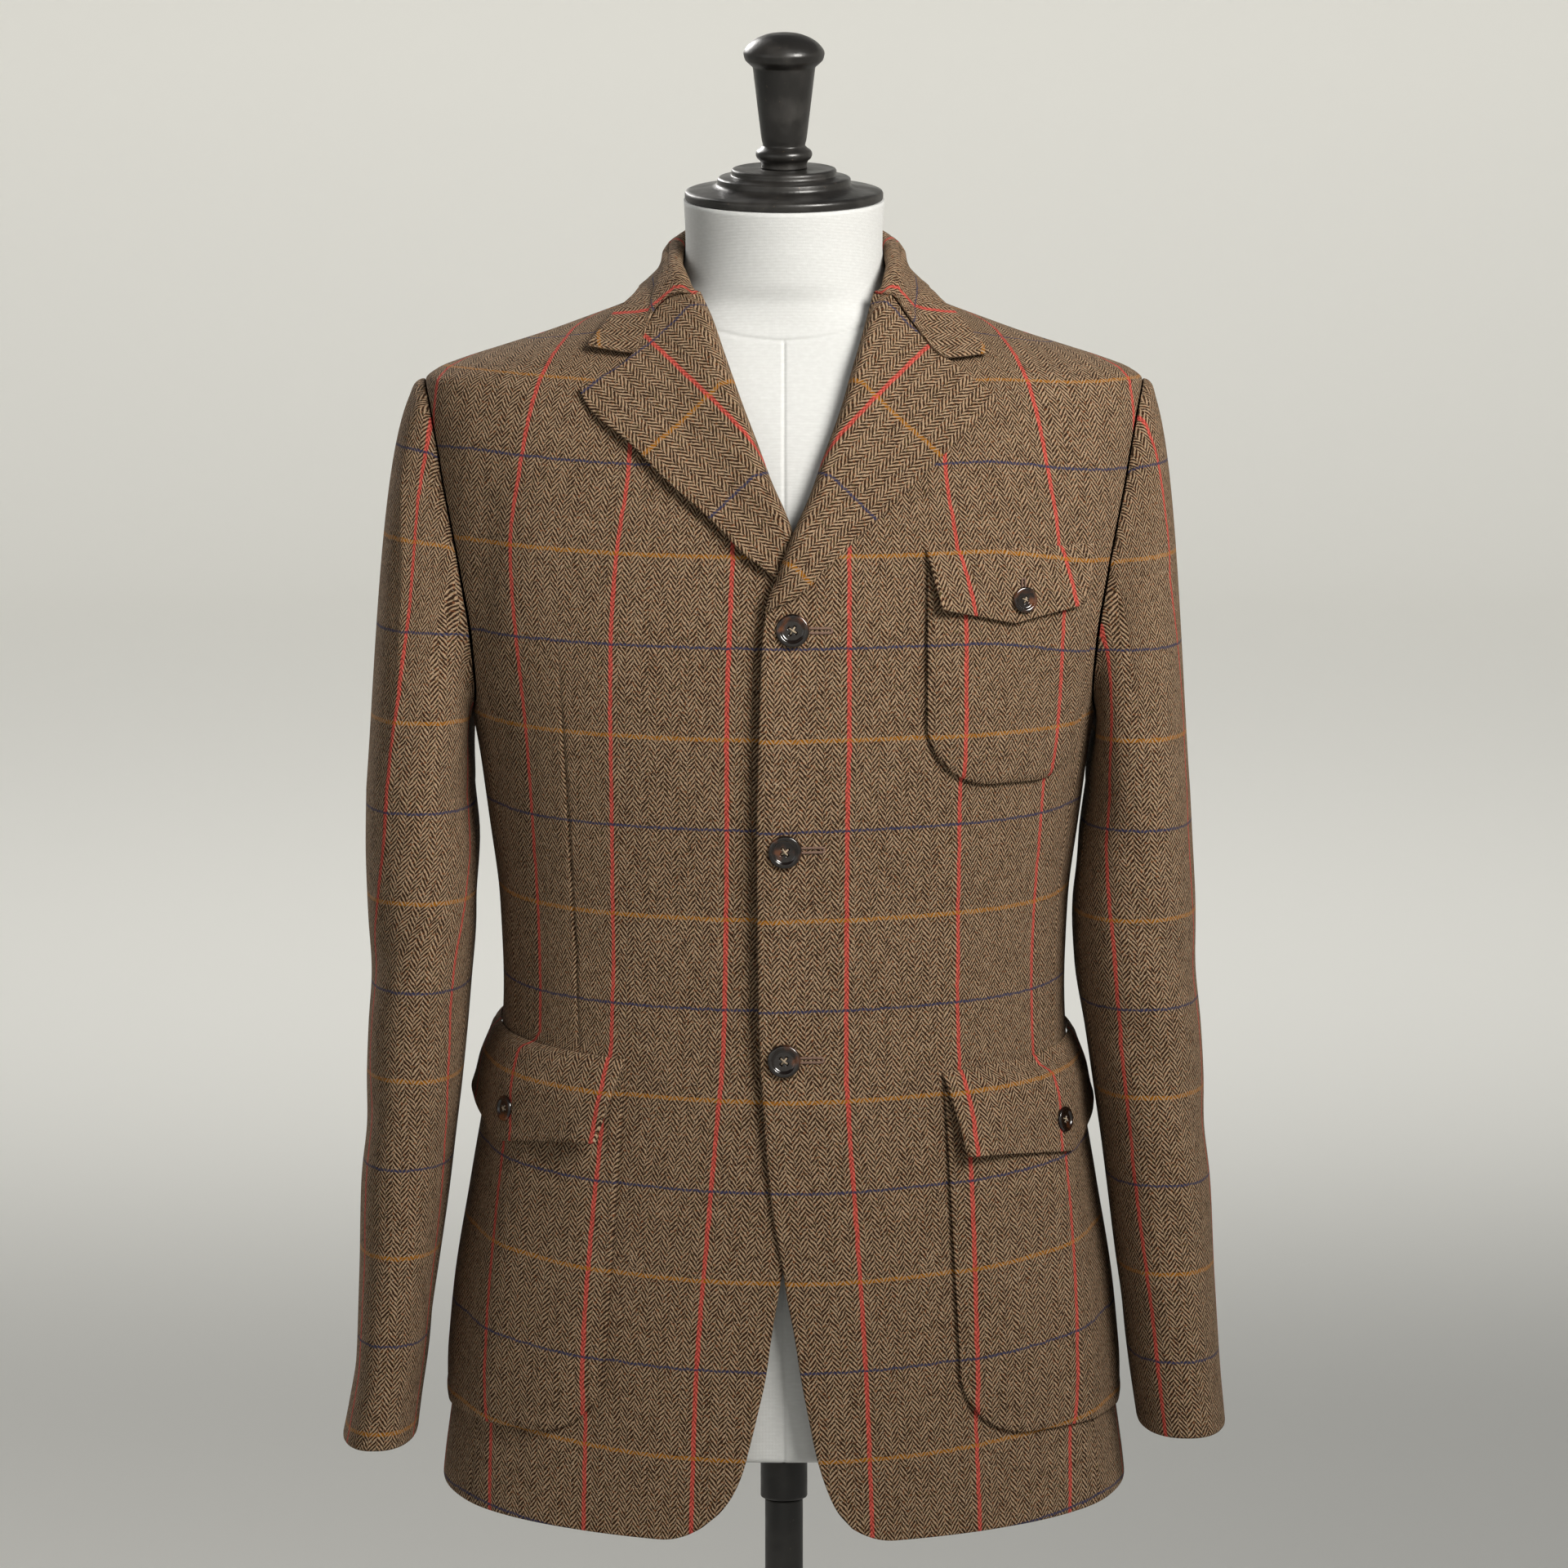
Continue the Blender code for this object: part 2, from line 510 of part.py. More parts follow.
def gorge_line(side, share):
    """x and height along the gorge seam and the notch edge of the lapel."""
    return along(LEFT_GORGE if side > 0 else RIGHT_GORGE, share)


def lapel_surface(side):
    """Lapel from the roll line to its outer edge, lower end to gorge."""
    edge = LEFT_EDGE if side > 0 else RIGHT_EDGE
    outline = LEFT_LAPEL_EDGE if side > 0 else RIGHT_LAPEL_EDGE

    def roll(v):
        height = LAPEL_ROLL_START[side] + (NECK_FRONT - LAPEL_ROLL_START[side]) * v
        return np.stack([smooth_column(edge, 1, height), height], axis=-1)

    def surface(u, v):
        u = u**FOLD_CROWDING
        flat_u, flat_v = u[..., None], v[..., None]
        low = roll(0.0 * v) + (along(outline, 0.0 * v) - roll(0.0 * v)) * flat_u
        high = gorge_line(side, u)
        sides = roll(v) * (1 - flat_u) + along(outline, v) * flat_u
        ends = low * (1 - flat_v) + high * flat_v
        corners = ((roll(0.0 * v) * (1 - flat_v) + roll(0.0 * v + 1) * flat_v) * (1 - flat_u)
                   + (along(outline, 0.0 * v) * (1 - flat_v) + along(outline, 0.0 * v + 1) * flat_v) * flat_u)
        place = sides + ends - corners
        width = np.linalg.norm(along(outline, v) - roll(v), axis=-1)
        place = place - np.stack([0.0 * v, SEAM * v], axis=-1)
        return rolled_place(side, place, width * u, width)

    return surface


def rolled_place(side, place, away, width):
    """Point of a lapel's section: it wraps round the front's edge, crests and then lies flat."""
    wrap = np.clip(1 - away / ROLL_WRAP, 0.0, 1.0)
    rounding = np.clip(width / 0.020, 0.0, 1.0)
    crest = LAPEL_ROLL_HEIGHT * rounding * np.exp(-((away - ROLL_WRAP) / 0.020) ** 2)
    if side < 0:
        crest = crest * smooth_step(place[..., 1], *TUCKED_CREST)
    lie = LAPEL_LIE + 0.0008
    out = (lie + crest) * (1 - 0.95 * wrap**2)
    x = place[..., 0] - ROLL_OVERHANG * np.sqrt(np.clip(1 - (1 - wrap) ** 2, 0.0, 1.0))
    height = place[..., 1]
    lift = lap_lift(x, height) if side > 0 else 0.0 * x
    return body_point_out(angle_from_x(x, height), height, out + lift)


def collar_end(side, u):
    """Collar's front end: round the fold, along the gorge to the notch, then to the collar tip."""
    gorge = LEFT_GORGE if side > 0 else RIGHT_GORGE
    line = np.vstack([gorge[:3] + GORGE_GAP[side], COLLAR_TIP[side]])
    width = np.linalg.norm(np.diff(line, axis=0), axis=1).sum()
    away = np.where(u < 0.5, ROLL_WRAP * u * 2, ROLL_WRAP + (width - ROLL_WRAP) * (u - 0.5) * 2)
    return rolled_place(side, along(line, away / width), away, width + 0.0 * u)


def clear_of_body(points, out):
    """Points moved outwards until they are a distance off the body surface."""
    for _ in range(4):
        angle = np.arctan2(-points[..., 1], points[..., 0])
        height = points[..., 2]
        normal = body_normal(angle, height)
        gap = ((points - body_point(angle, height)) * normal).sum(axis=-1)
        points = points + normal * np.clip(out - gap, 0.0, None)[..., None]
    return points


def collar_half(side, u, turn):
    """Half of the collar: stand, fold and fall over u, centre back to front over turn."""
    fold = np.stack([smooth_column(COLLAR_FOLD, c, turn) for c in (1, 2, 3)], axis=-1)
    edge = body_point_out(smooth_column(COLLAR_EDGE, 1, turn), smooth_column(COLLAR_EDGE, 2, turn),
                          LAPEL_LIE + 0.0006 + 0.0 * turn)
    outward = fold * (1, 1, 0)
    outward = outward / np.linalg.norm(outward, axis=-1, keepdims=True)
    upward = np.array([0.0, 0.0, 1.0])

    seam_angle = np.arctan2(-fold[..., 1], fold[..., 0])
    behind = np.clip(-seam_angle / (math.pi / 2), 0.0, 1.0)
    seam_height = NECK_SIDE + (NECK_BACK - NECK_SIDE) * behind + 0.0016
    seam = body_point_out(seam_angle, seam_height, -CLOTH * 0.9 + 0.0 * turn)
    stand_share = np.clip(u / 0.25, 0.0, 1.0)[..., None]
    stand_top = fold - outward * COLLAR_FOLD_RADIUS - upward * COLLAR_FOLD_RADIUS
    stand = seam + (stand_top - seam) * stand_share
    bend = np.clip((u - 0.25) / 0.25, 0.0, 1.0)[..., None] * math.pi
    folded = fold - upward * COLLAR_FOLD_RADIUS + COLLAR_FOLD_RADIUS * (
        upward * np.sin(bend) - outward * np.cos(bend))
    share = np.clip((u - 0.5) / 0.5, 0.0, 1.0)[..., None]
    fall_top = fold + outward * COLLAR_FOLD_RADIUS - upward * COLLAR_FOLD_RADIUS

    last = collar_end(side, u)
    last_top = collar_end(side, 0.0 * u + 0.5)
    last_edge = collar_end(side, 0.0 * u + 1)
    bowed = np.where((u < 0.5)[..., None], 0.0, last - last_top * (1 - share) - last_edge * share)
    front = smooth_step(turn, 0.50, 1.0)[..., None]
    edge = edge * (1 - front) + last_edge * front
    fall_top = fall_top * (1 - front) + last_top * front
    bulge = COLLAR_BULGE[0] + (COLLAR_BULGE[1] - COLLAR_BULGE[0]) * smooth_step(turn, 0.1, 0.5)
    fall = fall_top * (1 - share) + edge * share + bowed * front
    fall = fall + outward * np.sin(math.pi * share) * bulge[..., None] * (1 - front)
    fall = clear_of_body(fall, LAPEL_LIE + 0.0005)
    roll = np.where((u < 0.25)[..., None], stand, folded)
    closing = smooth_step(turn, 0.80, 1.0)[..., None]
    roll = roll * (1 - closing) + last * closing
    points = np.where((u < 0.5)[..., None], roll, fall)
    return points * (side, 1, 1)


def collar_surface(u, v):
    """Whole collar from the wearer's right gorge round the back neck to the left gorge."""
    turn = np.abs(2 * v - 1)
    return np.where((v > 0.5)[..., None], collar_half(1, u, turn), collar_half(-1, u, turn))


# ---------------------------------------------------------------- pockets and flaps

# name: x of the front edge at the mouth and at the bottom, width, mouth height at the front
# and far end, bottom height, corner size, puff
POCKETS = {
    "pocket_chest": dict(side=1, x_top=0.0845, x_bottom=0.0845, width=0.111, top=1.3405,
                         slope=-0.010, bottom=1.2135, corner=0.040, puff=0.0030),
    "pocket_left": dict(side=1, x_top=0.0950, x_bottom=0.1075, width=0.178, top=1.0300,
                        slope=0.010, bottom=0.8185, corner=0.042, puff=0.0040),
    "pocket_right": dict(side=-1, x_top=0.0950, x_bottom=0.1105, width=0.178, top=1.0350,
                         slope=0.010, bottom=0.8190, corner=0.042, puff=0.0040),
}
# name: x of the front end, width, top height, rise to the far end, depth at the ends and at the
# point, slant of the front end, lifts of the two free corners
FLAPS = {
    "flap_chest": dict(side=1, x=0.0840, width=0.110, top=1.3535, slope=-0.010, ends=0.034,
                       point=0.0405, slant=0.009, front_lift=0.0010, far_lift=0.0015),
    "flap_left": dict(side=1, x=0.0945, width=0.182, top=1.0400, slope=0.014, ends=0.051,
                      point=0.057, slant=0.010, front_lift=0.0045, far_lift=0.0020),
    "flap_right": dict(side=-1, x=0.0945, width=0.182, top=1.0480, slope=0.012, ends=0.051,
                       point=0.057, slant=0.012, front_lift=0.0070, far_lift=0.0040),
}
POCKET_WALL = CLOTH + REST          # face of a pocket at its sewn edges
FLAP_STEP = POCKET_WALL + 0.0008    # rise of a flap over the pocket's mouth


def close_ends(u):
    """Column places drawn together towards both ends, where the corners are."""
    return u - 0.6 * np.sin(2 * math.pi * u) / (2 * math.pi)


def rounded_end(share, corner):
    """How far a lower edge is drawn up at a rounded corner, 0 in the middle and 1 at the end."""
    near = np.clip(1 - np.minimum(share, 1 - share) / corner, 0.0, 1.0)
    return 1 - np.sqrt(np.clip(1 - near**2, 0.0, 1.0))


def pocket_puff(sizes, u, v):
    """How far a pocket stands off the panel between its sewn edges."""
    across = np.clip(np.minimum(u, 1 - u) / 0.14, 0.0, 1.0)
    upward = np.clip(v / 0.14, 0.0, 1.0)
    return sizes["puff"] * np.sqrt(np.sin(across * math.pi / 2) * np.sin(upward * math.pi / 2))


def pocket_surface(sizes):
    """Patch pocket from its front edge to its far edge, bottom to mouth."""

    def surface(u, v):
        u = close_ends(u)
        lift = rounded_end(u, sizes["corner"] / sizes["width"]) * sizes["corner"] * 0.95
        top = sizes["top"] + sizes["slope"] * u
        low = sizes["bottom"] + lift
        height = low + (top - low) * v
        x = sizes["x_bottom"] + (sizes["x_top"] - sizes["x_bottom"]) * (height - sizes["bottom"]) / (
            sizes["top"] - sizes["bottom"])
        angle = angle_at_arc(x, u * sizes["width"], height)
        return body_point_out(angle, height, POCKET_WALL + pocket_puff(sizes, u, v))

    return surface


def flap_surface(sizes, pocket):
    """Pocket flap from its front end to its far end, lower edge to sewn edge."""

    def surface(u, v):
        u = close_ends(u)
        top = sizes["top"] + sizes["slope"] * u
        pointed = sizes["ends"] + (sizes["point"] - sizes["ends"]) * np.clip(
            1 - np.abs(u - 0.5) / 0.5, 0.0, 1.0) ** 1.4
        drop = pointed * (1 - v)
        height = top - drop + rounded_end(u, 0.025) * 0.0015 * (1 - v)
        slant = sizes["slant"] * (1 - v)
        angle = angle_at_arc(sizes["x"] + slant * (1 - 2 * u), u * sizes["width"], height)
        over = smooth_step(drop, 0.0015, 0.0110) * (FLAP_STEP + pocket["puff"])
        free = 1 - v
        splay = free**1.5 * (sizes["front_lift"] * np.exp(-((u / 0.22) ** 2))
                             + sizes["far_lift"] * np.exp(-(((1 - u) / 0.22) ** 2)))
        return body_point_out(angle, height, CLOTH + 2 * REST + over + splay)

    return surface


# ---------------------------------------------------------------- meshes and materials

def material(name, colour, roughness, metallic=0.0):
    """Principled material with one colour."""
    made = bpy.data.materials.new(name)
    made.use_nodes = True
    shader = made.node_tree.nodes["Principled BSDF"]
    shader.inputs["Base Color"].default_value = (*colour, 1.0)
    shader.inputs["Roughness"].default_value = roughness
    shader.inputs["Metallic"].default_value = metallic
    return made


def link_object(name, mesh, collection, finish):
    """Object with its own material in the part's collection."""
    mesh.materials.append(finish)
    mesh.shade_smooth()
    made = bpy.data.objects.new(name, mesh)
    collection.objects.link(made)
    return made


def face_outwards(solid):
    """Turn a closed solid's faces to agree with each other and point out of it."""
    bmesh.ops.recalc_face_normals(solid, faces=solid.faces)
    if solid.calc_volume(signed=True) < 0:
        bmesh.ops.reverse_faces(solid, faces=solid.faces)


def wall_faces(surface, u, v, wall):
    """Outer and inner points of a cloth wall; the inner ones lie behind the surface."""
    outer = surface(u, v)
    across = surface(np.minimum(u + NORMAL_STEP, 1), v) - surface(np.maximum(u - NORMAL_STEP, 0), v)
    upward = surface(u, np.minimum(v + NORMAL_STEP, 1)) - surface(u, np.maximum(v - NORMAL_STEP, 0))
    normal = np.cross(across, upward)
    normal = normal / np.linalg.norm(normal, axis=-1, keepdims=True)
    return outer, outer - normal * wall


def cloth_wall(name, surface, columns, rows, collection, finish, side=1, wall=CLOTH, facing=1):
    """Wall of cloth: a flat slab one cell thick, bent onto the surface's two faces."""
    slab = bmesh.new()
    bmesh.ops.create_grid(slab, x_segments=columns, y_segments=rows, size=0.5)
    bmesh.ops.translate(slab, verts=slab.verts, vec=(0.5, 0.5, 0.0))
    raised = bmesh.ops.extrude_face_region(slab, geom=slab.faces[:], use_keep_orig=True)
    raised_points = [item for item in raised["geom"] if isinstance(item, bmesh.types.BMVert)]
    bmesh.ops.translate(slab, verts=raised_points, vec=(0.0, 0.0, 1.0))
    flat = np.array([vertex.co[:] for vertex in slab.verts])
    outer, inner = wall_faces(surface, flat[:, 0], flat[:, 1], wall * facing)
    bent = np.where(flat[:, 2:] > 0.5, inner, outer) * (side, 1, 1)
    for vertex, place in zip(slab.verts, bent):
        vertex.co = place
    face_outwards(slab)
    mesh = bpy.data.meshes.new(name)
    slab.to_mesh(mesh)
    slab.free()
    made = link_object(name, mesh, collection, finish)
    mesh.set_sharp_from_angle(angle=math.radians(50))
    return made


def turned(name, profile, collection, finish, steps=24):
    """Turned piece: a profile from the top of the axis down to its foot, screwed round Z."""
    mesh = bpy.data.meshes.new(name)
    points = [(radius, 0.0, height) for radius, height in profile]
    mesh.from_pydata(points, [(i, i + 1) for i in range(len(points) - 1)], [])
    made = link_object(name, mesh, collection, finish)
    screw = made.modifiers.new("turn", "SCREW")
    screw.steps = steps
    screw.render_steps = steps
    screw.use_merge_vertices = True
    screw.merge_threshold = 0.00005
    screw.use_smooth_shade = True
    return made


def lofted(name, rings, collection, finish):
    """Closed solid through rings of equal point counts, with flat ends."""
    solid = bmesh.new()
    loops = [[solid.verts.new(point) for point in ring] for ring in rings]
    for lower, upper in zip(loops, loops[1:]):
        for index, vertex in enumerate(lower):
            after = (index + 1) % len(lower)
            solid.faces.new((vertex, lower[after], upper[after], upper[index]))
    solid.faces.new(list(reversed(loops[0])))
    solid.faces.new(loops[-1])
    face_outwards(solid)
    mesh = bpy.data.meshes.new(name)
    solid.to_mesh(mesh)
    solid.free()
    made = link_object(name, mesh, collection, finish)
    mesh.set_sharp_from_angle(angle=math.radians(40))
    return made


# ---------------------------------------------------------------- buttons

FRONT_BUTTON_RADIUS = 0.0105
FLAP_BUTTON_RADIUS = 0.0078
BUTTON_SHANK = 0.0009     # thread between a button and the cloth
# name: side, x, height, radius
BUTTONS = {
    "button_front_1": (1, 0.0050, 1.3070, FRONT_BUTTON_RADIUS),
    "button_front_2": (1, 0.0005, 1.1770, FRONT_BUTTON_RADIUS),
    "button_front_3": (1, 0.0000, 1.0500, FRONT_BUTTON_RADIUS),
    "button_chest": (1, 0.1385, 1.3230, FLAP_BUTTON_RADIUS),
    "button_pocket_left": (1, 0.1600, 1.0035, FLAP_BUTTON_RADIUS),
    "button_pocket_right": (-1, 0.1590, 1.0105, FLAP_BUTTON_RADIUS),
}
FLAP_OF_BUTTON = {
    "button_chest": ("flap_chest", "pocket_chest"),
    "button_pocket_left": ("flap_left", "pocket_left"),
    "button_pocket_right": ("flap_right", "pocket_right"),
}


def button_profile(radius):
    """Dished button: sunk middle, rounded rim and a domed back."""
    thick = radius * 0.34
    return [(0.0, thick * 0.62), (radius * 0.55, thick * 0.62), (radius * 0.72, thick * 0.95),
            (radius * 0.86, thick), (radius * 0.97, thick * 0.78), (radius, thick * 0.50),
            (radius * 0.90, thick * 0.18), (radius * 0.60, 0.0), (0.0, 0.0)]


def button_ground(name, x, height):
    """How far the cloth under a button stands off the body surface."""
    if name not in FLAP_OF_BUTTON:
        return float(lap_lift(np.array(x), np.array(height)))
    pocket = POCKETS[FLAP_OF_BUTTON[name][1]]
    return CLOTH + REST + FLAP_STEP + pocket["puff"]


def add_button(name, collection, finish):
    """Button on its own cloth, facing out along the body surface."""
    side, x, height, radius = BUTTONS[name]
    angle = angle_from_x(np.array([x]), np.array([height]))
    level = np.array([height])
    ground = np.array([button_ground(name, x, height) + BUTTON_SHANK])
    place = body_point_out(angle, level, ground)[0] * (side, 1, 1)
    facing = body_normal(angle, level)[0] * (side, 1, 1)
    made = turned(name, button_profile(radius), collection, finish, steps=16)
    made.location = place
    made.rotation_mode = "QUATERNION"
    made.rotation_quaternion = Vector(facing).to_track_quat("Z", "Y")
    return made


# ---------------------------------------------------------------- dress form and stand

def form_ring(height, sides=32):
    """Section of the dress form; its neck leans forward and ends square to its lean."""
    width, front, back, middle = (smooth_column(FORM, c, height) for c in (1, 2, 3, 4))
    angle = np.linspace(0.0, 2 * math.pi, sides, endpoint=False)
    depth = np.where(np.sin(angle) > 0, back, front)
    power = FORM_ROUNDNESS + (2.0 - FORM_ROUNDNESS) * smooth_step(height, 1.46, 1.51)
    inverse = (np.abs(np.cos(angle)) / width) ** power + (np.abs(np.sin(angle)) / depth) ** power
    radius = inverse ** (-1 / power)
    y = middle + radius * np.sin(angle)
    lean = math.tan(NECK_LEAN) * smooth_step(height, 1.515, NECK_TOP)
    level = height + (y - middle) * lean
    return np.column_stack([radius * np.cos(angle), y, level])


def add_form(collection, finish):
    """Linen-covered torso from its flat underside to the top of the neck."""
    heights = np.concatenate([np.linspace(FORM[0, 0], 1.40, 14), np.linspace(1.42, NECK_TOP, 13)])
    rings = [form_ring(height) for height in heights]
    return lofted("form_torso", rings, collection, finish)


NECK_CAP_PROFILE = [
    (0.0, 0.0190), (0.0300, 0.0190), (0.0318, 0.0178), (0.0318, 0.0150), (0.0400, 0.0132),
    (0.0405, 0.0098), (0.0440, 0.0078), (0.0570, 0.0060), (0.0600, 0.0040), (0.0600, 0.0012),
    (0.0592, 0.0003), (0.0, 0.0003),
]
FINIAL_PROFILE = [
    (0.0, 0.1010), (0.0080, 0.1002), (0.0160, 0.0975), (0.0220, 0.0930), (0.0245, 0.0885),
    (0.0235, 0.0845), (0.0205, 0.0815), (0.0190, 0.0800), (0.0182, 0.0740), (0.0165, 0.0600),
    (0.0148, 0.0460), (0.0135, 0.0360), (0.0128, 0.0330), (0.0140, 0.0315), (0.0168, 0.0290),
    (0.0170, 0.0262), (0.0145, 0.0235), (0.0138, 0.0215), (0.0140, 0.0194), (0.0, 0.0194),
]


def add_neck_hardware(collection, finish):
    """Turned cap and finial, leaning with the neck."""
    middle = float(smooth_column(FORM, 4, NECK_TOP))
    for name, profile in (("neck_cap", NECK_CAP_PROFILE), ("finial", FINIAL_PROFILE)):
        made = turned(name, profile, collection, finish)
        made.location = (0.0, middle, NECK_TOP)
        made.rotation_euler = (NECK_LEAN, 0.0, 0.0)


def add_stand(collection, finish):
    """Collar under the form, pole and weighted round base."""
    radius, low, high = POLE_COLLAR
    collar = [(0.0, high), (radius, high), (radius, low + 0.001), (radius - 0.001, low), (0.0, low)]
    turned("pole_collar", collar, collection, finish)
    hub_radius, hub_height = BASE_HUB
    pole = [(0.0, low - REST), (POLE_RADIUS, low - REST), (POLE_RADIUS, hub_height + REST),
            (0.0, hub_height + REST)]
    turned("pole", pole, collection, finish)
    base = [(0.0, hub_height), (hub_radius - 0.002, hub_height), (hub_radius, hub_height - 0.002),
            (hub_radius + 0.004, hub_height - 0.014), (0.090, 0.0165), (BASE_RADIUS - 0.010, BASE_RIM),
            (BASE_RADIUS - 0.002, BASE_RIM - 0.002), (BASE_RADIUS, 0.006), (BASE_RADIUS, 0.002),
            (BASE_RADIUS - 0.002, 0.0), (0.0, 0.0)]
    turned("stand_base", base, collection, finish, steps=40)


# ---------------------------------------------------------------- assembly

def add_jacket(collection, tweed, horn):
    """All cloth pieces and buttons of the jacket."""
    for side, word in ((1, "left"), (-1, "right")):
        cloth_wall(f"front_{word}", front_surface(side), 12, PANEL_ROWS, collection, tweed, side)
        cloth_wall(f"side_{word}", side_surface, 5, BODY_ROWS, collection, tweed, side)
        cloth_wall(f"back_{word}", back_surface, 10, PANEL_ROWS, collection, tweed, side)
        rows = ARM_ROWS + CAP_ROWS
        top = sleeve_surface(side, HINDARM_SEAM - 360 + 0.3, FOREARM_SEAM - 0.3)
        under = sleeve_surface(side, FOREARM_SEAM + 0.3, HINDARM_SEAM - 0.3)
        cloth_wall(f"sleeve_{word}_top", top, 15, rows, collection, tweed, side, facing=-1)
        cloth_wall(f"sleeve_{word}_under", under, 7, rows, collection, tweed, side, facing=-1)
        cloth_wall(f"lapel_{word}", lapel_surface(side), 8, 14, collection, tweed, side)
    cloth_wall("collar", collar_surface, 12, 28, collection, tweed)
    for name, sizes in POCKETS.items():
        cloth_wall(name, pocket_surface(sizes), 12, 9, collection, tweed, sizes["side"])
    for name, sizes in FLAPS.items():
        pocket = POCKETS[name.replace("flap", "pocket")]
        cloth_wall(name, flap_surface(sizes, pocket), 12, 4, collection, tweed, sizes["side"])
    for name in BUTTONS:
        add_button(name, collection, horn)


def main():
    """Build the jacket, the dress form and its stand."""
    for old in list(bpy.data.objects):
        bpy.data.objects.remove(old, do_unlink=True)
    collection = bpy.data.collections.new(COLLECTION)
    bpy.context.scene.collection.children.link(collection)
    tweed = material("brown_tweed", (0.13, 0.095, 0.065), 0.92)
    horn = material("dark_horn", (0.035, 0.018, 0.010), 0.30)
    linen = material("cream_linen", (0.72, 0.68, 0.60), 0.85)
    lacquer = material("black_lacquer", (0.012, 0.011, 0.010), 0.35)
    enamel = material("black_enamel", (0.014, 0.013, 0.012), 0.40)
    add_jacket(collection, tweed, horn)
    add_form(collection, linen)
    add_neck_hardware(collection, lacquer)
    add_stand(collection, enamel)


main()
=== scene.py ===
"""Tweed hacking jacket on a limbless dress form: cloth, buttons, linen, lacquer and the studio.

The wearer faces -Y, +X is the wearer's left and +Z is up. All lengths are metres. Every piece of
cloth is a closed shell worked out from two parameters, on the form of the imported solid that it
stands for, and carries a UV map in metres on which the weave and its check are drawn.
"""

import logging
import math
from dataclasses import dataclass
from enum import Enum
from typing import Callable, Optional

import bpy
import numpy as np
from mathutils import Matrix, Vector
from numpy.typing import NDArray


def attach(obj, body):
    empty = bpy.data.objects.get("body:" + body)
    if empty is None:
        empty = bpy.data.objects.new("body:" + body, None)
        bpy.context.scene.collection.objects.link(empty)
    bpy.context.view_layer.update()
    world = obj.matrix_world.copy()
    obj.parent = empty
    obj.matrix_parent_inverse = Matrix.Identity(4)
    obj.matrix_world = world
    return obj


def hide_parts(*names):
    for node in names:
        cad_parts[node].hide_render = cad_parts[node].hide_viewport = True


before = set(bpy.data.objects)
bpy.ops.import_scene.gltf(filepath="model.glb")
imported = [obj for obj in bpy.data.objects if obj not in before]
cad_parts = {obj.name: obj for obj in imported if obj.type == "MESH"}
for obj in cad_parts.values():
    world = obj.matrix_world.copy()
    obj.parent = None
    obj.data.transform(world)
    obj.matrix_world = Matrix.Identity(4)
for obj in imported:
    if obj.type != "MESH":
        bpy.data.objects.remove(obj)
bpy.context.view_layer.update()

Array = NDArray[np.float64]
Surface = Callable[[Array, Array], Array]
Place = tuple[float, float, float]
LOG = logging.getLogger("jacket")
BODY = "root"


class Side(Enum):
    """Side of the wearer; its value is the sign of x."""

    LEFT = 1
    RIGHT = -1

    @property
    def word(self) -> str:
        """Name of the side as the nodes have it."""
        return "left" if self is Side.LEFT else "right"


# ---------------------------------------------------------------- tables and steps

@dataclass(frozen=True)
class Table:
    """Rows of sizes with named columns, the first of which rises.

    Between rows each column runs along a monotone cubic.
    """

    columns: tuple[str, ...]
    rows: tuple[tuple[float, ...], ...]

    def column(self, name: str) -> Array:
        """All values of one column."""
        return np.array([row[self.columns.index(name)] for row in self.rows])

    def read(self, name: str, at: Array | float) -> Array:
        """Value of a column where the first column has a given value.

        Args:
            name: the column.
            at: places along the first column; past either end they are held at it.

        Returns:
            The values, in the shape of at.
        """
        return monotone(self.column(self.columns[0]), self.column(name), at)


def monotone(knots: Array, values: Array, at: Array | float) -> Array:
    """Monotone cubic Hermite line through values at rising knots.

    The slope at a knot is the harmonic mean of the slopes beside it where both have one sign.

    Args:
        knots: rising places.
        values: one value for each knot.
        at: where the line is read.

    Returns:
        The line's values.
    """
    gaps = np.diff(knots)
    slopes = np.diff(values) / gaps
    tangents = np.concatenate([slopes[:1], np.zeros(len(knots) - 2), slopes[-1:]])
    before, after = slopes[:-1], slopes[1:]
    same = before * after > 0
    tangents[1:-1][same] = 2 * before[same] * after[same] / (before + after)[same]
    at = np.clip(np.asarray(at, dtype=float), knots[0], knots[-1])
    cell = np.clip(np.searchsorted(knots, at, side="right") - 1, 0, len(gaps) - 1)
    width = gaps[cell]
    t = (at - knots[cell]) / width
    return ((2 * t**3 - 3 * t**2 + 1) * values[cell] + (t**3 - 2 * t**2 + t) * width * tangents[cell]
            + (3 * t**2 - 2 * t**3) * values[cell + 1] + (t**3 - t**2) * width * tangents[cell + 1])


def smooth_step(value: Array | float, start: float, end: float) -> Array:
    """Rise from 0 at start to 1 at end with level ends: 3t^2 - 2t^3."""
    t = np.clip((np.asarray(value, dtype=float) - start) / (end - start), 0.0, 1.0)
    return t * t * (3 - 2 * t)


def unit(vectors: Array) -> Array:
    """Vectors brought to length one."""
    return vectors / np.maximum(np.linalg.norm(vectors, axis=-1, keepdims=True), 1e-12)


def crowded(count: int, share: float) -> Array:
    """Places from 0 to 1: even in between, closer together within a share of both ends.

    Args:
        count: even places between the two crowded stretches.
        share: length of each crowded stretch, as a share of the whole.

    Returns:
        Rising places, the first 0 and the last 1.
    """
    ends = share * np.array([0.0, 0.10, 0.24, 0.42, 0.66])
    return np.concatenate([ends, np.linspace(share, 1 - share, count), 1 - ends[::-1]])


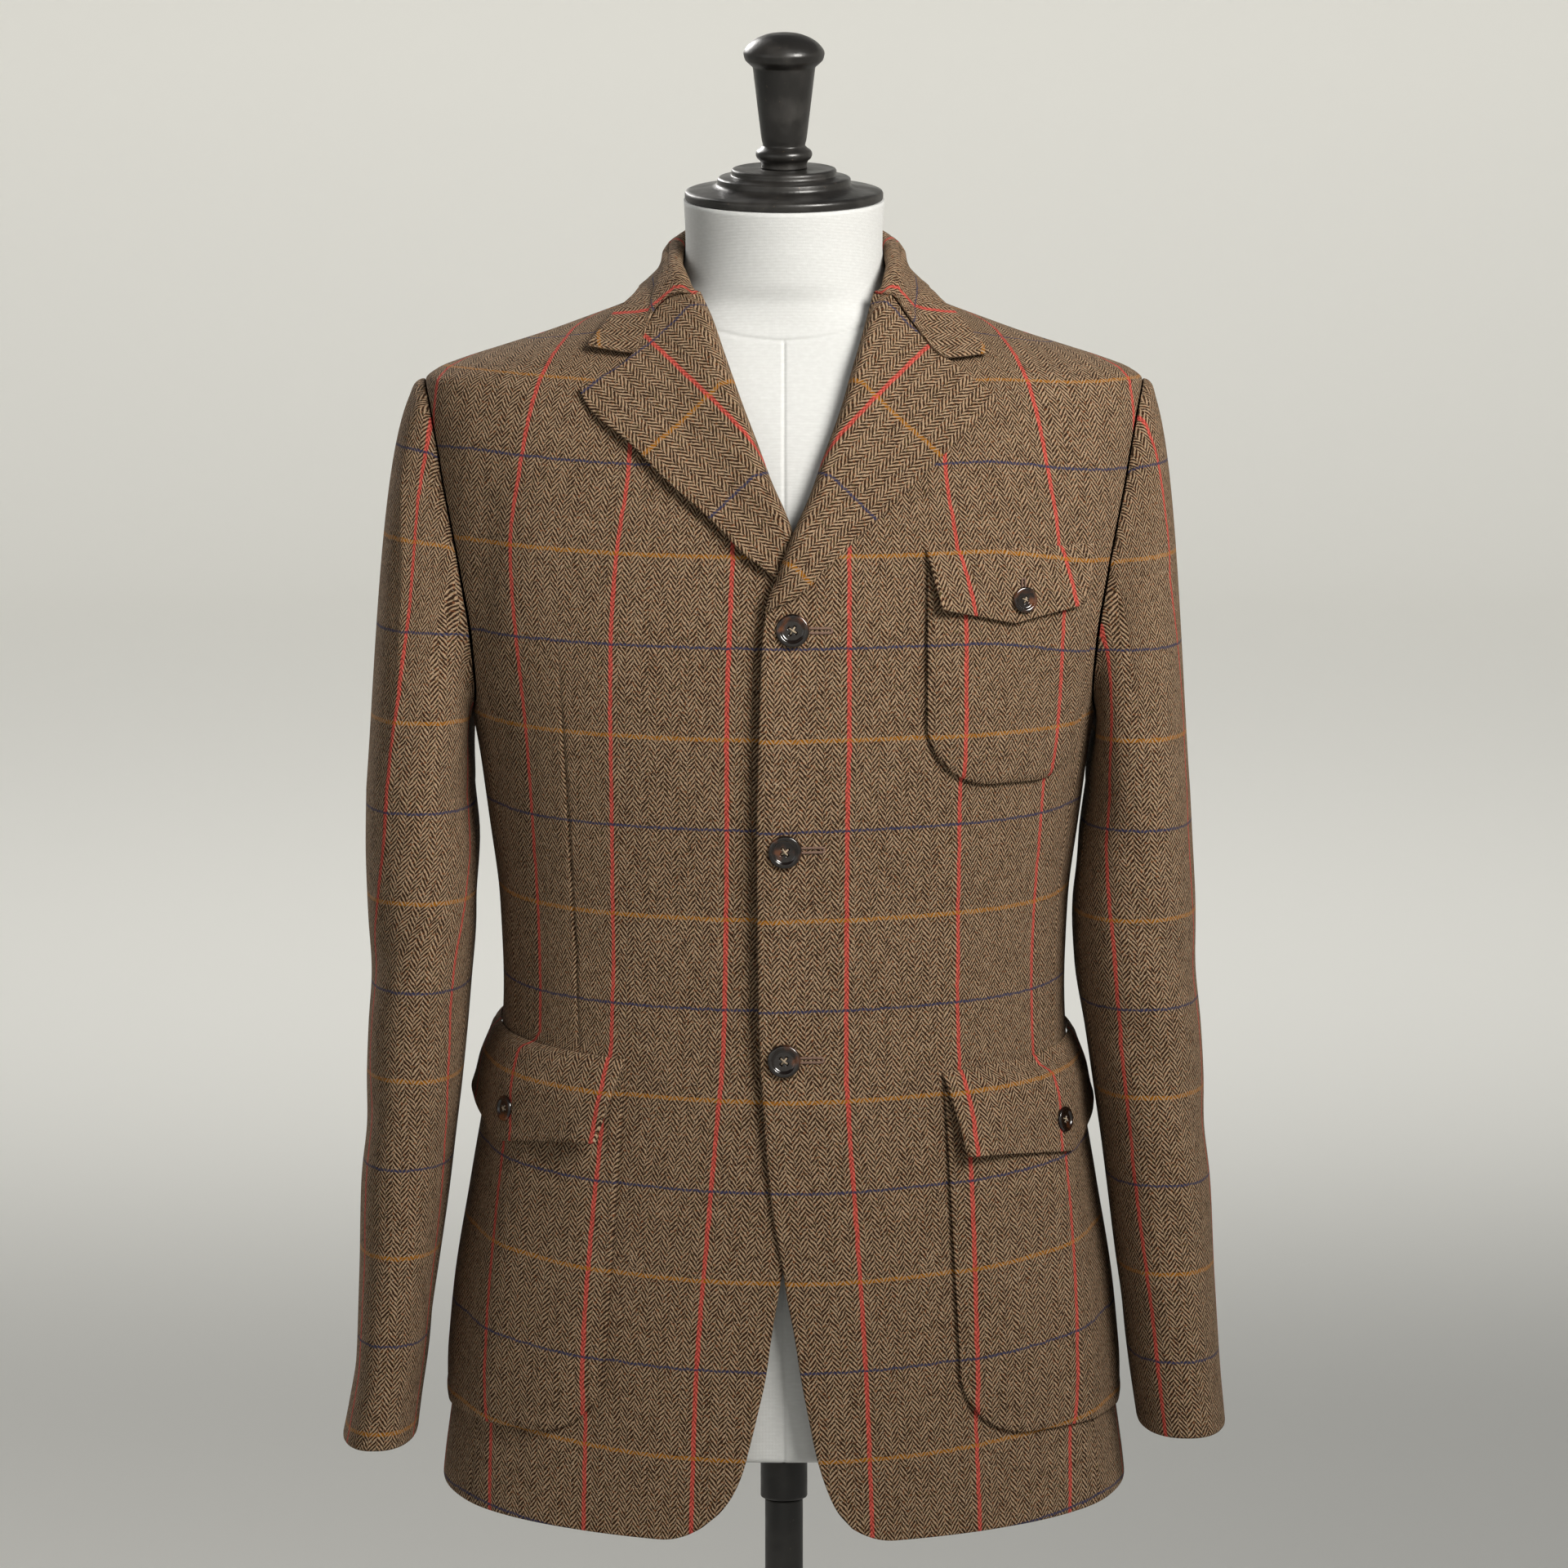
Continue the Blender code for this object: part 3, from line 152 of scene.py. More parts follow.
def along(points: Array, share: Array) -> Array:
    """Point at a share of the length of a smooth line through a few points.

    Args:
        points: one row for each point.
        share: 0 at the first and 1 at the last.

    Returns:
        Points, one more axis than share.
    """
    steps = np.linalg.norm(np.diff(points, axis=0), axis=1)
    lengths = np.concatenate([[0.0], np.cumsum(steps)]) / steps.sum()
    return np.stack([monotone(lengths, points[:, c], share) for c in range(points.shape[1])], axis=-1)


def run_lengths(points: Array, axis: int) -> Array:
    """Length walked over a grid of points along one of its axes, from 0."""
    steps = np.linalg.norm(np.diff(points, axis=axis), axis=-1)
    start = np.zeros_like(np.take(steps, [0], axis=axis))
    return np.concatenate([start, np.cumsum(steps, axis=axis)], axis=axis)


def bilinear(grid: Array, row: Array, col: Array) -> Array:
    """Value of a grid at a fractional row and column, held at its rim.

    Args:
        grid: values by row and column.
        row: where it is read along the first axis.
        col: where it is read along the second axis.

    Returns:
        The values, in the shape of row.
    """
    row = np.clip(row, 0, grid.shape[0] - 1.001)
    col = np.clip(col, 0, grid.shape[1] - 1.001)
    r, c = row.astype(int), col.astype(int)
    fr, fc = row - r, col - c
    return (grid[r, c] * (1 - fr) * (1 - fc) + grid[r + 1, c] * fr * (1 - fc)
            + grid[r, c + 1] * (1 - fr) * fc + grid[r + 1, c + 1] * fr * fc)


def oval_radius(angle: Array, width: Array, depth: Array, power: Array | float) -> Array:
    """Distance from the middle of a rounded section to its outline.

    The section is a superellipse: (x / width)^power + (y / depth)^power = 1.

    Args:
        angle: angle from the x axis.
        width: half its width.
        depth: its depth on that side.
        power: roundness; 2 is an ellipse.

    Returns:
        The distances.
    """
    inverse = (np.abs(np.cos(angle)) / width) ** power + (np.abs(np.sin(angle)) / depth) ** power
    return inverse ** (-1 / power)


def oval_reach(share: Array, power: Array | float) -> Array:
    """Place along one axis of a superellipse, as a share of its half axis, from that along the other."""
    return np.clip(1 - np.abs(share) ** power, 1e-9, None) ** (1 / power)


# ---------------------------------------------------------------- the body that carries the cloth

CLOTH = 0.0022
SEAM = 0.0004
REST = 0.0005
LIE = CLOTH + REST
FLAP_CLEAR = 0.0008
CHORDS = 70
CHORD_TURN = 1.75
TOP_ROW = 0.999


@dataclass(frozen=True)
class Crease:
    """Soft trough or ridge on the body, straight from one place to another.

    The places are the arc length from the centre front and the height. Depth is negative for a trough. Its
    section is a bell across the line and fades towards both ends.
    """

    arc_from: float
    z_from: float
    arc_to: float
    z_to: float
    width: float
    depth: float

    def relief(self, across: Array, height: Array) -> Array:
        """How far the cloth moves out because of this crease.

        Args:
            across: arc length from the centre line.
            height: height of each point.

        Returns:
            The distances.
        """
        run = np.array([self.arc_to - self.arc_from, self.z_to - self.z_from])
        length = float(np.linalg.norm(run))
        run = run / length
        dx, dz = across - self.arc_from, height - self.z_from
        share = (dx * run[0] + dz * run[1]) / length
        off = (dx * -run[1] + dz * run[0]) / self.width
        ends = smooth_step(share, -0.18, 0.30) * (1 - smooth_step(share, 0.70, 1.18))
        return self.depth * np.exp(-off**2) * ends


@dataclass(frozen=True)
class WornBody:
    """Surface that all panels share: one rounded section for each height.

    A section has its own half width, front depth, back depth and roundness. Angle 0 is the side, +90
    degrees the centre front and -90 degrees the centre back. tuck and roll_off are how far the top front is
    lifted over the tucked lapel and along its rolled edge, where, and over what spread.
    """

    sections: Table = Table(("height", "half_width", "front", "back", "roundness"), (
        (0.740, 0.2135, 0.131, 0.129, 2.35), (0.775, 0.2106, 0.130, 0.127, 2.35),
        (0.840, 0.2010, 0.129, 0.124, 2.35), (0.896, 0.1950, 0.128, 0.121, 2.35),
        (0.957, 0.1850, 0.127, 0.117, 2.35), (1.020, 0.1755, 0.124, 0.111, 2.35),
        (1.080, 0.1720, 0.121, 0.107, 2.35), (1.130, 0.1740, 0.121, 0.108, 2.35),
        (1.180, 0.1800, 0.124, 0.113, 2.35), (1.243, 0.1895, 0.127, 0.120, 2.40),
        (1.300, 0.2040, 0.124, 0.125, 2.40), (1.350, 0.2105, 0.116, 0.124, 2.40),
        (1.400, 0.2160, 0.104, 0.118, 2.40), (1.430, 0.2188, 0.093, 0.108, 2.40),
        (1.4485, 0.2175, 0.084, 0.099, 2.35), (1.4550, 0.2100, 0.080, 0.095, 2.30),
        (1.4610, 0.1950, 0.077, 0.091, 2.25), (1.4690, 0.1700, 0.072, 0.086, 2.25),
        (1.4770, 0.1450, 0.068, 0.081, 2.20), (1.4860, 0.1200, 0.064, 0.077, 2.20),
        (1.4955, 0.0950, 0.061, 0.073, 2.20), (1.5050, 0.0775, 0.064, 0.070, 2.20),
        (1.5200, 0.0690, 0.062, 0.068, 2.20), (1.5400, 0.0670, 0.060, 0.067, 2.20)))
    armhole: tuple[Place, ...] = (
        (0, 0.000, 1.4485), (30, -0.028, 1.432), (60, -0.042, 1.385), (90, -0.054, 1.335),
        (120, -0.058, 1.292), (150, -0.042, 1.256), (180, 0.000, 1.243), (210, 0.044, 1.256),
        (240, 0.062, 1.295), (270, 0.062, 1.345), (300, 0.052, 1.395), (330, 0.034, 1.434),
        (360, 0.000, 1.4485))
    hem_side: float = 0.7740
    hem_drop: float = 0.0180
    neck_front: float = 1.5030
    neck_side: float = 1.5050
    neck_back: float = 1.5130
    lap_lift: float = CLOTH + 2 * REST
    lap_full: float = 0.024
    lap_end: float = 0.072
    lap_top: tuple[float, float] = (1.335, 1.420)
    tuck: Place = (0.0047, 1.3460, 0.0240)
    tuck_across: tuple[float, float] = (0.008, 0.050)
    roll_off: Place = (0.0060, -0.0120, 0.0200)
    roll_off_rise: tuple[float, float] = (0.93, 1.08)
    roll_off_fall: tuple[float, float] = (1.30, 1.36)

    def size(self, name: str, height: Array) -> Array:
        """One size of the section at a height."""
        return self.sections.read(name, height)

    def radius(self, angle: Array, height: Array) -> Array:
        """Distance from the axis to the surface."""
        depth = np.where(np.sin(angle) > 0, self.size("front", height), self.size("back", height))
        return oval_radius(angle, self.size("half_width", height), depth, self.size("roundness", height))

    def point(self, angle: Array, height: Array) -> Array:
        """Point of the surface on the wearer's left."""
        angle, height = np.broadcast_arrays(angle, height)
        radius = self.radius(angle, height)
        return np.stack([radius * np.cos(angle), -radius * np.sin(angle), height], axis=-1)

    def normal(self, angle: Array, height: Array) -> Array:
        """Direction that the surface faces: cross product of its upward and sideways steps."""
        step = 0.0015
        sideways = self.point(angle + step, height) - self.point(angle - step, height)
        upward = self.point(angle, height + step) - self.point(angle, height - step)
        return unit(np.cross(upward, sideways))

    def out(self, angle: Array, height: Array, away: Array | float) -> Array:
        """Point of the surface moved out along its normal."""
        angle, height = np.broadcast_arrays(angle, height)
        away = np.broadcast_to(np.asarray(away, dtype=float), angle.shape)
        return self.point(angle, height) + self.normal(angle, height) * away[..., None]

    def angle_from_x(self, x: Array, height: Array) -> Array:
        """Angle of the front surface's point at an x, also a little past the centre."""
        power = self.size("roundness", height)
        return np.arctan2(self.size("front", height)
                          * oval_reach(x / self.size("half_width", height), power), x)

    def angle_from_y(self, y: Array, height: Array) -> Array:
        """Angle of the side surface's point at a y."""
        depth = np.where(y < 0, self.size("front", height), self.size("back", height))
        power = self.size("roundness", height)
        return np.arctan2(-y, self.size("half_width", height) * oval_reach(y / depth, power))

    def half_seam(self, angle: Array, height: Array) -> Array:
        """Angle that half the gap of a seam takes up."""
        return SEAM / 2 / self.radius(angle, height)

    def angle_at_arc(self, x: Array, distance: Array, height: Array) -> Array:
        """Angle reached by walking a distance round the section from an x on the front.

        Each point's section is cut into chords, summed, and the angle found between two sums.
        """
        x, distance, height = np.broadcast_arrays(x, distance, height)
        start = self.angle_from_x(x, height)
        angles = start[..., None] - np.linspace(0.0, CHORD_TURN, CHORDS + 1)
        outline = self.point(angles, np.broadcast_to(height[..., None], angles.shape))
        walked = run_lengths(outline, outline.ndim - 2)
        cell = np.clip((walked <= distance[..., None]).sum(axis=-1) - 1, 0, CHORDS - 1)[..., None]
        low = np.take_along_axis(walked, cell, -1)[..., 0]
        high = np.take_along_axis(walked, cell + 1, -1)[..., 0]
        share = (distance - low) / np.maximum(high - low, 1e-9)
        first = np.take_along_axis(angles, cell, -1)[..., 0]
        return first - share * CHORD_TURN / CHORDS

    def hem(self, angle: Array) -> Array:
        """Hem height round the body, lower at the front."""
        return self.hem_side - self.hem_drop * np.clip(np.sin(angle), 0.0, 1.0) ** 0.8

    def lap(self, x: Array, height: Array) -> Array:
        """How far the top front stands out where it covers the one beneath and its tucked lapel."""
        lap = self.lap_lift * (1 - smooth_step(x, self.lap_full, self.lap_end))
        lap = lap * (1 - smooth_step(height, *self.lap_top))
        edge_lift, edge_x, edge_spread = self.roll_off
        lap = lap + (edge_lift * np.exp(-((x - edge_x) / edge_spread) ** 2)
                     * smooth_step(height, *self.roll_off_rise)
                     * (1 - smooth_step(height, *self.roll_off_fall)))
        extra, level, spread = self.tuck
        return lap + (extra * np.exp(-((height - level) / spread) ** 2)
                      * (1 - smooth_step(x, *self.tuck_across)))

    def armhole_at(self, turn: Array) -> tuple[Array, Array]:
        """Angle and height of the armhole at a turn in degrees.

        The turn runs from the shoulder seam over the front; between the rows the curve is a
        Catmull-Rom line.
        """
        turn = np.mod(turn, 360.0)
        rows = np.array(self.armhole)
        rows = np.concatenate([rows[-3:-1] - (360, 0, 0), rows, rows[1:3] + (360, 0, 0)])
        cell = np.clip(np.searchsorted(rows[:, 0], turn, side="right") - 1, 1, len(rows) - 3)
        t = (turn - rows[cell, 0]) / (rows[cell + 1, 0] - rows[cell, 0])
        before, here, after, next_one = (rows[cell + k] for k in (-1, 0, 1, 2))
        t = t[..., None]
        place = 0.5 * (2 * here + (after - before) * t
                       + (2 * before - 5 * here + 4 * after - next_one) * t**2
                       + (3 * here - before - 3 * after + next_one) * t**3)
        return self.angle_from_y(place[..., 1], place[..., 2]), place[..., 2]


WORN = WornBody()


class BodyMap:
    """Distances walked over the worn body: round each section, and up along each angle.

    Both are summed once over a grid of levels and turns, and read from it by bilinear weights.
    """

    def __init__(self, worn: WornBody) -> None:
        """Sum both walks.

        Args:
            worn: the body.
        """
        self.levels = np.linspace(0.73, 1.54, 163)
        self.turns = np.linspace(math.pi / 2 + 0.5, -math.pi / 2, 208)
        grid = worn.point(self.turns[None, :], self.levels[:, None])
        round_it = run_lengths(grid, 1)
        centre = np.array([np.interp(-math.pi / 2, -self.turns, row) for row in round_it])
        self.round_it = round_it - centre[:, None]
        self.upward = run_lengths(grid, 0)

    def read(self, grid: Array, angle: Array, height: Array) -> Array:
        """Value of one of the two walks."""
        angle, height = np.broadcast_arrays(angle, height)
        return bilinear(grid, (height - self.levels[0]) / (self.levels[1] - self.levels[0]),
                        (self.turns[0] - angle) / (self.turns[0] - self.turns[1]))

    def arc(self, angle: Array, height: Array) -> Array:
        """Distance round the section from the centre front."""
        return self.read(self.round_it, angle, height)

    def rise(self, angle: Array, height: Array, start: float) -> Array:
        """Distance up the surface from a level."""
        return self.read(self.upward, angle, height) - self.read(self.upward, angle, 0.0 * height + start)


MAP = BodyMap(WORN)

# ---------------------------------------------------------------- where the check runs

RED_REPEAT = 0.0735
ORANGE_REPEAT = 0.1085
ORANGE_LEVEL = 1.3510


@dataclass(frozen=True)
class StripeRun:
    """Arc lengths from the centre front at which a front's three red stripes run, by height."""

    table: Table

    def across(self, arc: Array, height: Array) -> Array:
        """Place across the cloth: one repeat from stripe to stripe, plain arc beyond them.

        Args:
            arc: arc length from the centre front.
            height: height of each point.

        Returns:
            Metres of cloth, 0 on the first stripe.
        """
        first, second, third = (self.table.read(name, height) for name in ("first", "second", "third"))
        inner = (arc - first) / (second - first) * RED_REPEAT
        outer = RED_REPEAT + (arc - second) / (third - second) * RED_REPEAT
        value = np.where(arc < second, inner, outer)
        value = np.where(arc < first, arc - first, value)
        return np.where(arc > third, 2 * RED_REPEAT + arc - third, value)


STRIPE_COLUMNS = ("height", "first", "second", "third")
STRIPES = {
    Side.LEFT: StripeRun(Table(STRIPE_COLUMNS, (
        (0.765, 0.0531, 0.1197, 0.1828), (0.850, 0.0496, 0.1167, 0.1845), (0.950, 0.0432, 0.1134, 0.1838),
        (1.000, 0.0394, 0.1112, 0.1820), (1.031, 0.0375, 0.1088, 0.1775), (1.041, 0.0370, 0.1076, 0.1640),
        (1.100, 0.0371, 0.1064, 0.1626), (1.200, 0.0376, 0.1066, 0.1668), (1.250, 0.0386, 0.1078, 0.1703),
        (1.300, 0.0386, 0.1076, 0.1698), (1.350, 0.0386, 0.1040, 0.1690), (1.400, 0.0386, 0.0962, 0.1599),
        (1.440, 0.0386, 0.0940, 0.1500), (1.475, 0.0386, 0.0900, 0.1370)))),
    Side.RIGHT: StripeRun(Table(STRIPE_COLUMNS, (
        (0.765, 0.0560, 0.1227, 0.1897), (0.850, 0.0532, 0.1218, 0.1895), (0.950, 0.0455, 0.1150, 0.1857),
        (1.000, 0.0411, 0.1100, 0.1818), (1.047, 0.0368, 0.1064, 0.1760), (1.057, 0.0362, 0.1058, 0.1592),
        (1.100, 0.0351, 0.1046, 0.1590), (1.200, 0.0339, 0.1043, 0.1617), (1.250, 0.0339, 0.1045, 0.1634),
        (1.300, 0.0325, 0.1036, 0.1658), (1.350, 0.0305, 0.1000, 0.1681), (1.400, 0.0299, 0.0925, 0.1604),
        (1.440, 0.0299, 0.0900, 0.1510), (1.475, 0.0299, 0.0870, 0.1370)))),
}


def body_grain(side: Side, angle: Array, height: Array) -> Array:
    """Place on the cloth of the fronts and of what is matched to them.

    Across is the run of the red stripes. Upward is the distance up the surface from an orange line, less a
    bow: the lines rise away from the centre by the square of x, more so towards the hem. On the left chest,
    which the pocket weighs down, they sink towards the arm instead.

    Args:
        side: the wearer's side.
        angle: angle on the body.
        height: height on the body.

    Returns:
        Metres across and up, on the last axis.
    """
    across = STRIPES[side].across(MAP.arc(angle, height), height)
    x = np.clip(WORN.radius(angle, height) * np.cos(angle), -0.02, 0.190)
    bow = (0.010 - 0.006 * smooth_step(height, 0.90, 1.13)) * ((x / 0.148) ** 2 - 0.30)
    if side is Side.LEFT:
        bow = bow - 0.0140 * smooth_step(x, 0.11, 0.205) * smooth_step(height, 1.245, 1.295)
    return np.stack([across, MAP.rise(angle, height, ORANGE_LEVEL) - bow], axis=-1)


# ---------------------------------------------------------------- soft relief of the body

CREASE_ROWS = {
    Side.LEFT: (
        (0.165, 1.020, 0.205, 0.770, 0.017, 0.0022), (0.212, 1.040, 0.232, 0.775, 0.016, -0.0020),
        (0.128, 0.860, 0.140, 0.762, 0.014, -0.0016), (0.060, 0.930, 0.078, 0.760, 0.020, 0.0012),
        (0.030, 1.165, 0.150, 1.120, 0.011, -0.0008), (0.045, 1.060, 0.165, 1.105, 0.012, -0.0009),
        (0.040, 1.185, 0.185, 1.215, 0.013, -0.0007), (0.176, 1.410, 0.196, 1.290, 0.014, -0.0016),
        (0.150, 1.395, 0.172, 1.300, 0.016, 0.0010), (0.190, 1.235, 0.215, 1.120, 0.016, -0.0014),
        (0.270, 1.080, 0.285, 0.800, 0.020, 0.0020), (0.315, 1.020, 0.330, 0.790, 0.018, -0.0022),
        (0.245, 1.230, 0.330, 1.130, 0.014, -0.0018), (0.340, 1.120, 0.410, 1.060, 0.016, -0.0016),
        (0.355, 1.300, 0.385, 1.150, 0.018, 0.0016), (0.375, 0.960, 0.392, 0.780, 0.022, 0.0018),
        (0.300, 1.360, 0.345, 1.270, 0.016, -0.0016)),
    Side.RIGHT: (
        (0.162, 1.030, 0.198, 0.770, 0.018, 0.0020), (0.208, 1.050, 0.226, 0.775, 0.017, -0.0022),
        (0.120, 0.880, 0.131, 0.762, 0.015, -0.0013), (0.070, 0.900, 0.082, 0.762, 0.019, 0.0010),
        (0.030, 1.150, 0.140, 1.105, 0.012, -0.0008), (0.042, 1.080, 0.150, 1.120, 0.011, -0.0008),
        (0.180, 1.405, 0.199, 1.285, 0.014, -0.0018), (0.150, 1.390, 0.170, 1.290, 0.017, 0.0011),
        (0.188, 1.240, 0.214, 1.125, 0.015, -0.0014), (0.262, 1.090, 0.280, 0.800, 0.019, 0.0022),
        (0.308, 1.030, 0.326, 0.790, 0.019, -0.0019), (0.250, 1.225, 0.338, 1.135, 0.015, -0.0016),
        (0.335, 1.125, 0.405, 1.070, 0.015, -0.0018), (0.352, 1.290, 0.380, 1.140, 0.019, 0.0015),
        (0.370, 0.970, 0.386, 0.780, 0.021, 0.0020), (0.305, 1.355, 0.350, 1.260, 0.017, -0.0014)),
}
CREASES = {side: tuple(Crease(*row) for row in rows) for side, rows in CREASE_ROWS.items()}


def body_relief(side: Side, angle: Array, height: Array) -> Array:
    """Sum of the creases of one side at places on the body."""
    arc = MAP.arc(angle, height)
    return sum(crease.relief(arc, height) for crease in CREASES[side])


# ---------------------------------------------------------------- cloth shells

class Hold(Enum):
    """How a sheet of cloth is held."""

    HUNG = "hung"
    LAID = "laid"
    FOLDED = "folded"


@dataclass(frozen=True)
class Edge:
    """Finish of one edge of a piece.

    The cloth rounds down by drop within reach of the edge. Cloth turned in beneath it lifts a band up to
    band_width, and a row of stitches presses a groove at groove_at.
    """

    reach: float = 0.0014
    drop: float = 0.0006
    band_width: float = 0.0
    band: float = 0.0
    groove_at: float = 0.0
    groove: float = 0.0

    def relief(self, away: Array) -> Array:
        """How far the cloth moves out at a distance from the edge."""
        near = np.clip(1 - away / self.reach, 0.0, 1.0)
        value = -self.drop * (1 - np.sqrt(np.clip(1 - near**2, 0.0, 1.0)))
        if self.band:
            value = value + self.band * (1 - smooth_step(away, self.band_width, self.band_width + BAND_FADE))
        if self.groove:
            value = value - self.groove * np.exp(-((away - self.groove_at) / GROOVE_SPREAD) ** 2)
        return value


SEWN_SEAM = Edge(reach=0.0028, drop=0.0007)
PLAIN_FOLD = Edge(reach=0.0018, drop=0.0008, groove_at=0.0068, groove=0.00022)
HEMMED = Edge(reach=0.0018, drop=0.0008)
PATCH_EDGE = Edge(reach=0.0026, drop=0.0015, band_width=0.0070, band=0.00065, groove_at=0.0024, groove=0.0002)
CRISP_EDGE = Edge(reach=0.0010, drop=0.0004, band_width=0.0070, band=0.0009, groove_at=0.0024, groove=0.0003)
SOFT_EDGE = Edge(reach=0.0036, drop=0.0019, band_width=0.0070, band=0.0005, groove_at=0.0030, groove=0.0002)
FLAP_EDGE = Edge(reach=0.0016, drop=0.0008, band_width=0.0055, band=0.00025, groove_at=0.0062, groove=0.0002)
FLAP_SEAM = Edge(reach=0.0030, drop=0.0014, groove_at=0.0070, groove=0.0003)
GORGE_SEAM = Edge(reach=0.0016, drop=0.0005)
LAPEL_FOOT = Edge(reach=0.0050, drop=0.0016)
Edges = tuple[Edge, Edge, Edge, Edge]
SLEEVE_EDGES = (SEWN_SEAM, SEWN_SEAM, Edge(reach=0.0020, drop=0.0010), SEWN_SEAM)
FLAP_EDGES = (FLAP_EDGE, FLAP_EDGE, FLAP_EDGE, FLAP_SEAM)
BAND_FADE = 0.0016
GROOVE_SPREAD = 0.0010
RIM_REACH = 0.10
RIM_LOOPS = ((0.3, 0.0), (0.7, 1.0))
RIM_CLOTH = (0.4, 0.8)
THIN_MOST = 0.25
THIN_SHARE = 0.6


def grid_normals(points: Array, facing: float) -> Array:
    """Direction each point of a grid faces: cross product of the steps to its neighbours."""
    across = np.gradient(points, axis=0)
    upward = np.gradient(points, axis=1)
    return unit(np.cross(across, upward)) * facing


def past_rim(grid: Array, order: NDArray[np.int64]) -> Array:
    """Direction in which the steps of a grid leave it at each boundary point, once round."""
    step = np.zeros_like(grid)
    step[0], step[-1] = grid[0] - grid[1], grid[-1] - grid[-2]
    step[:, 0] += grid[:, 0] - grid[:, 1]
    step[:, -1] += grid[:, -1] - grid[:, -2]
    return unit(step.reshape(-1, grid.shape[-1])[order])


def rim_order(columns: int, rows: int) -> NDArray[np.int64]:
    """Numbers of a grid's boundary points, once round."""
    number = np.arange(columns * rows).reshape(columns, rows)
    return np.concatenate([number[:, 0], number[-1, 1:], number[-2::-1, -1], number[0, -2:0:-1]])


def quads(columns: int, rows: int) -> NDArray[np.int64]:
    """Corner numbers of a grid's cells."""
    number = np.arange(columns * rows).reshape(columns, rows)
    return np.stack([number[:-1, :-1], number[1:, :-1], number[1:, 1:], number[:-1, 1:]], -1).reshape(-1, 4)


def linked(name: str, data: bpy.types.ID) -> bpy.types.Object:
    """New object of some data, linked to the scene."""
    made = bpy.data.objects.new(name, data)
    bpy.context.scene.collection.objects.link(made)
    return made


def faces_inwards(points: Array, faces: NDArray[np.int64]) -> bool:
    """Whether the volume that the quads enclose comes out negative."""
    a, b, c, d = (points[faces[:, k]] for k in range(4))
    return bool((a * np.cross(b, c)).sum() + (a * np.cross(c, d)).sum() < 0)


def mesh_object(name: str, points: Array, faces: NDArray[np.int64], plane: Array) -> bpy.types.Object:
    """Mesh object of quads at the origin, smooth, with its faces pointing out.

    Args:
        name: the object's name.
        points: one row for each vertex.
        faces: four vertex numbers for each face.
        plane: UV place of each vertex in metres.

    Returns:
        The object, linked to the scene.
    """
    if faces_inwards(points, faces):
        faces = faces[:, ::-1]
    mesh = bpy.data.meshes.new(name)
    mesh.vertices.add(len(points))
    mesh.vertices.foreach_set("co", points.astype(np.float32).ravel())
    mesh.loops.add(faces.size)
    mesh.loops.foreach_set("vertex_index", faces.astype(np.int32).ravel())
    mesh.polygons.add(len(faces))
    mesh.polygons.foreach_set("loop_start", np.arange(0, faces.size, 4, dtype=np.int32))
    mesh.update(calc_edges=True)
    mesh.validate()
    mesh.shade_smooth()
    layer = mesh.uv_layers.new(name="cloth")
    layer.data.foreach_set("uv", plane[faces.ravel()].astype(np.float32).ravel())
    return linked(name, mesh)


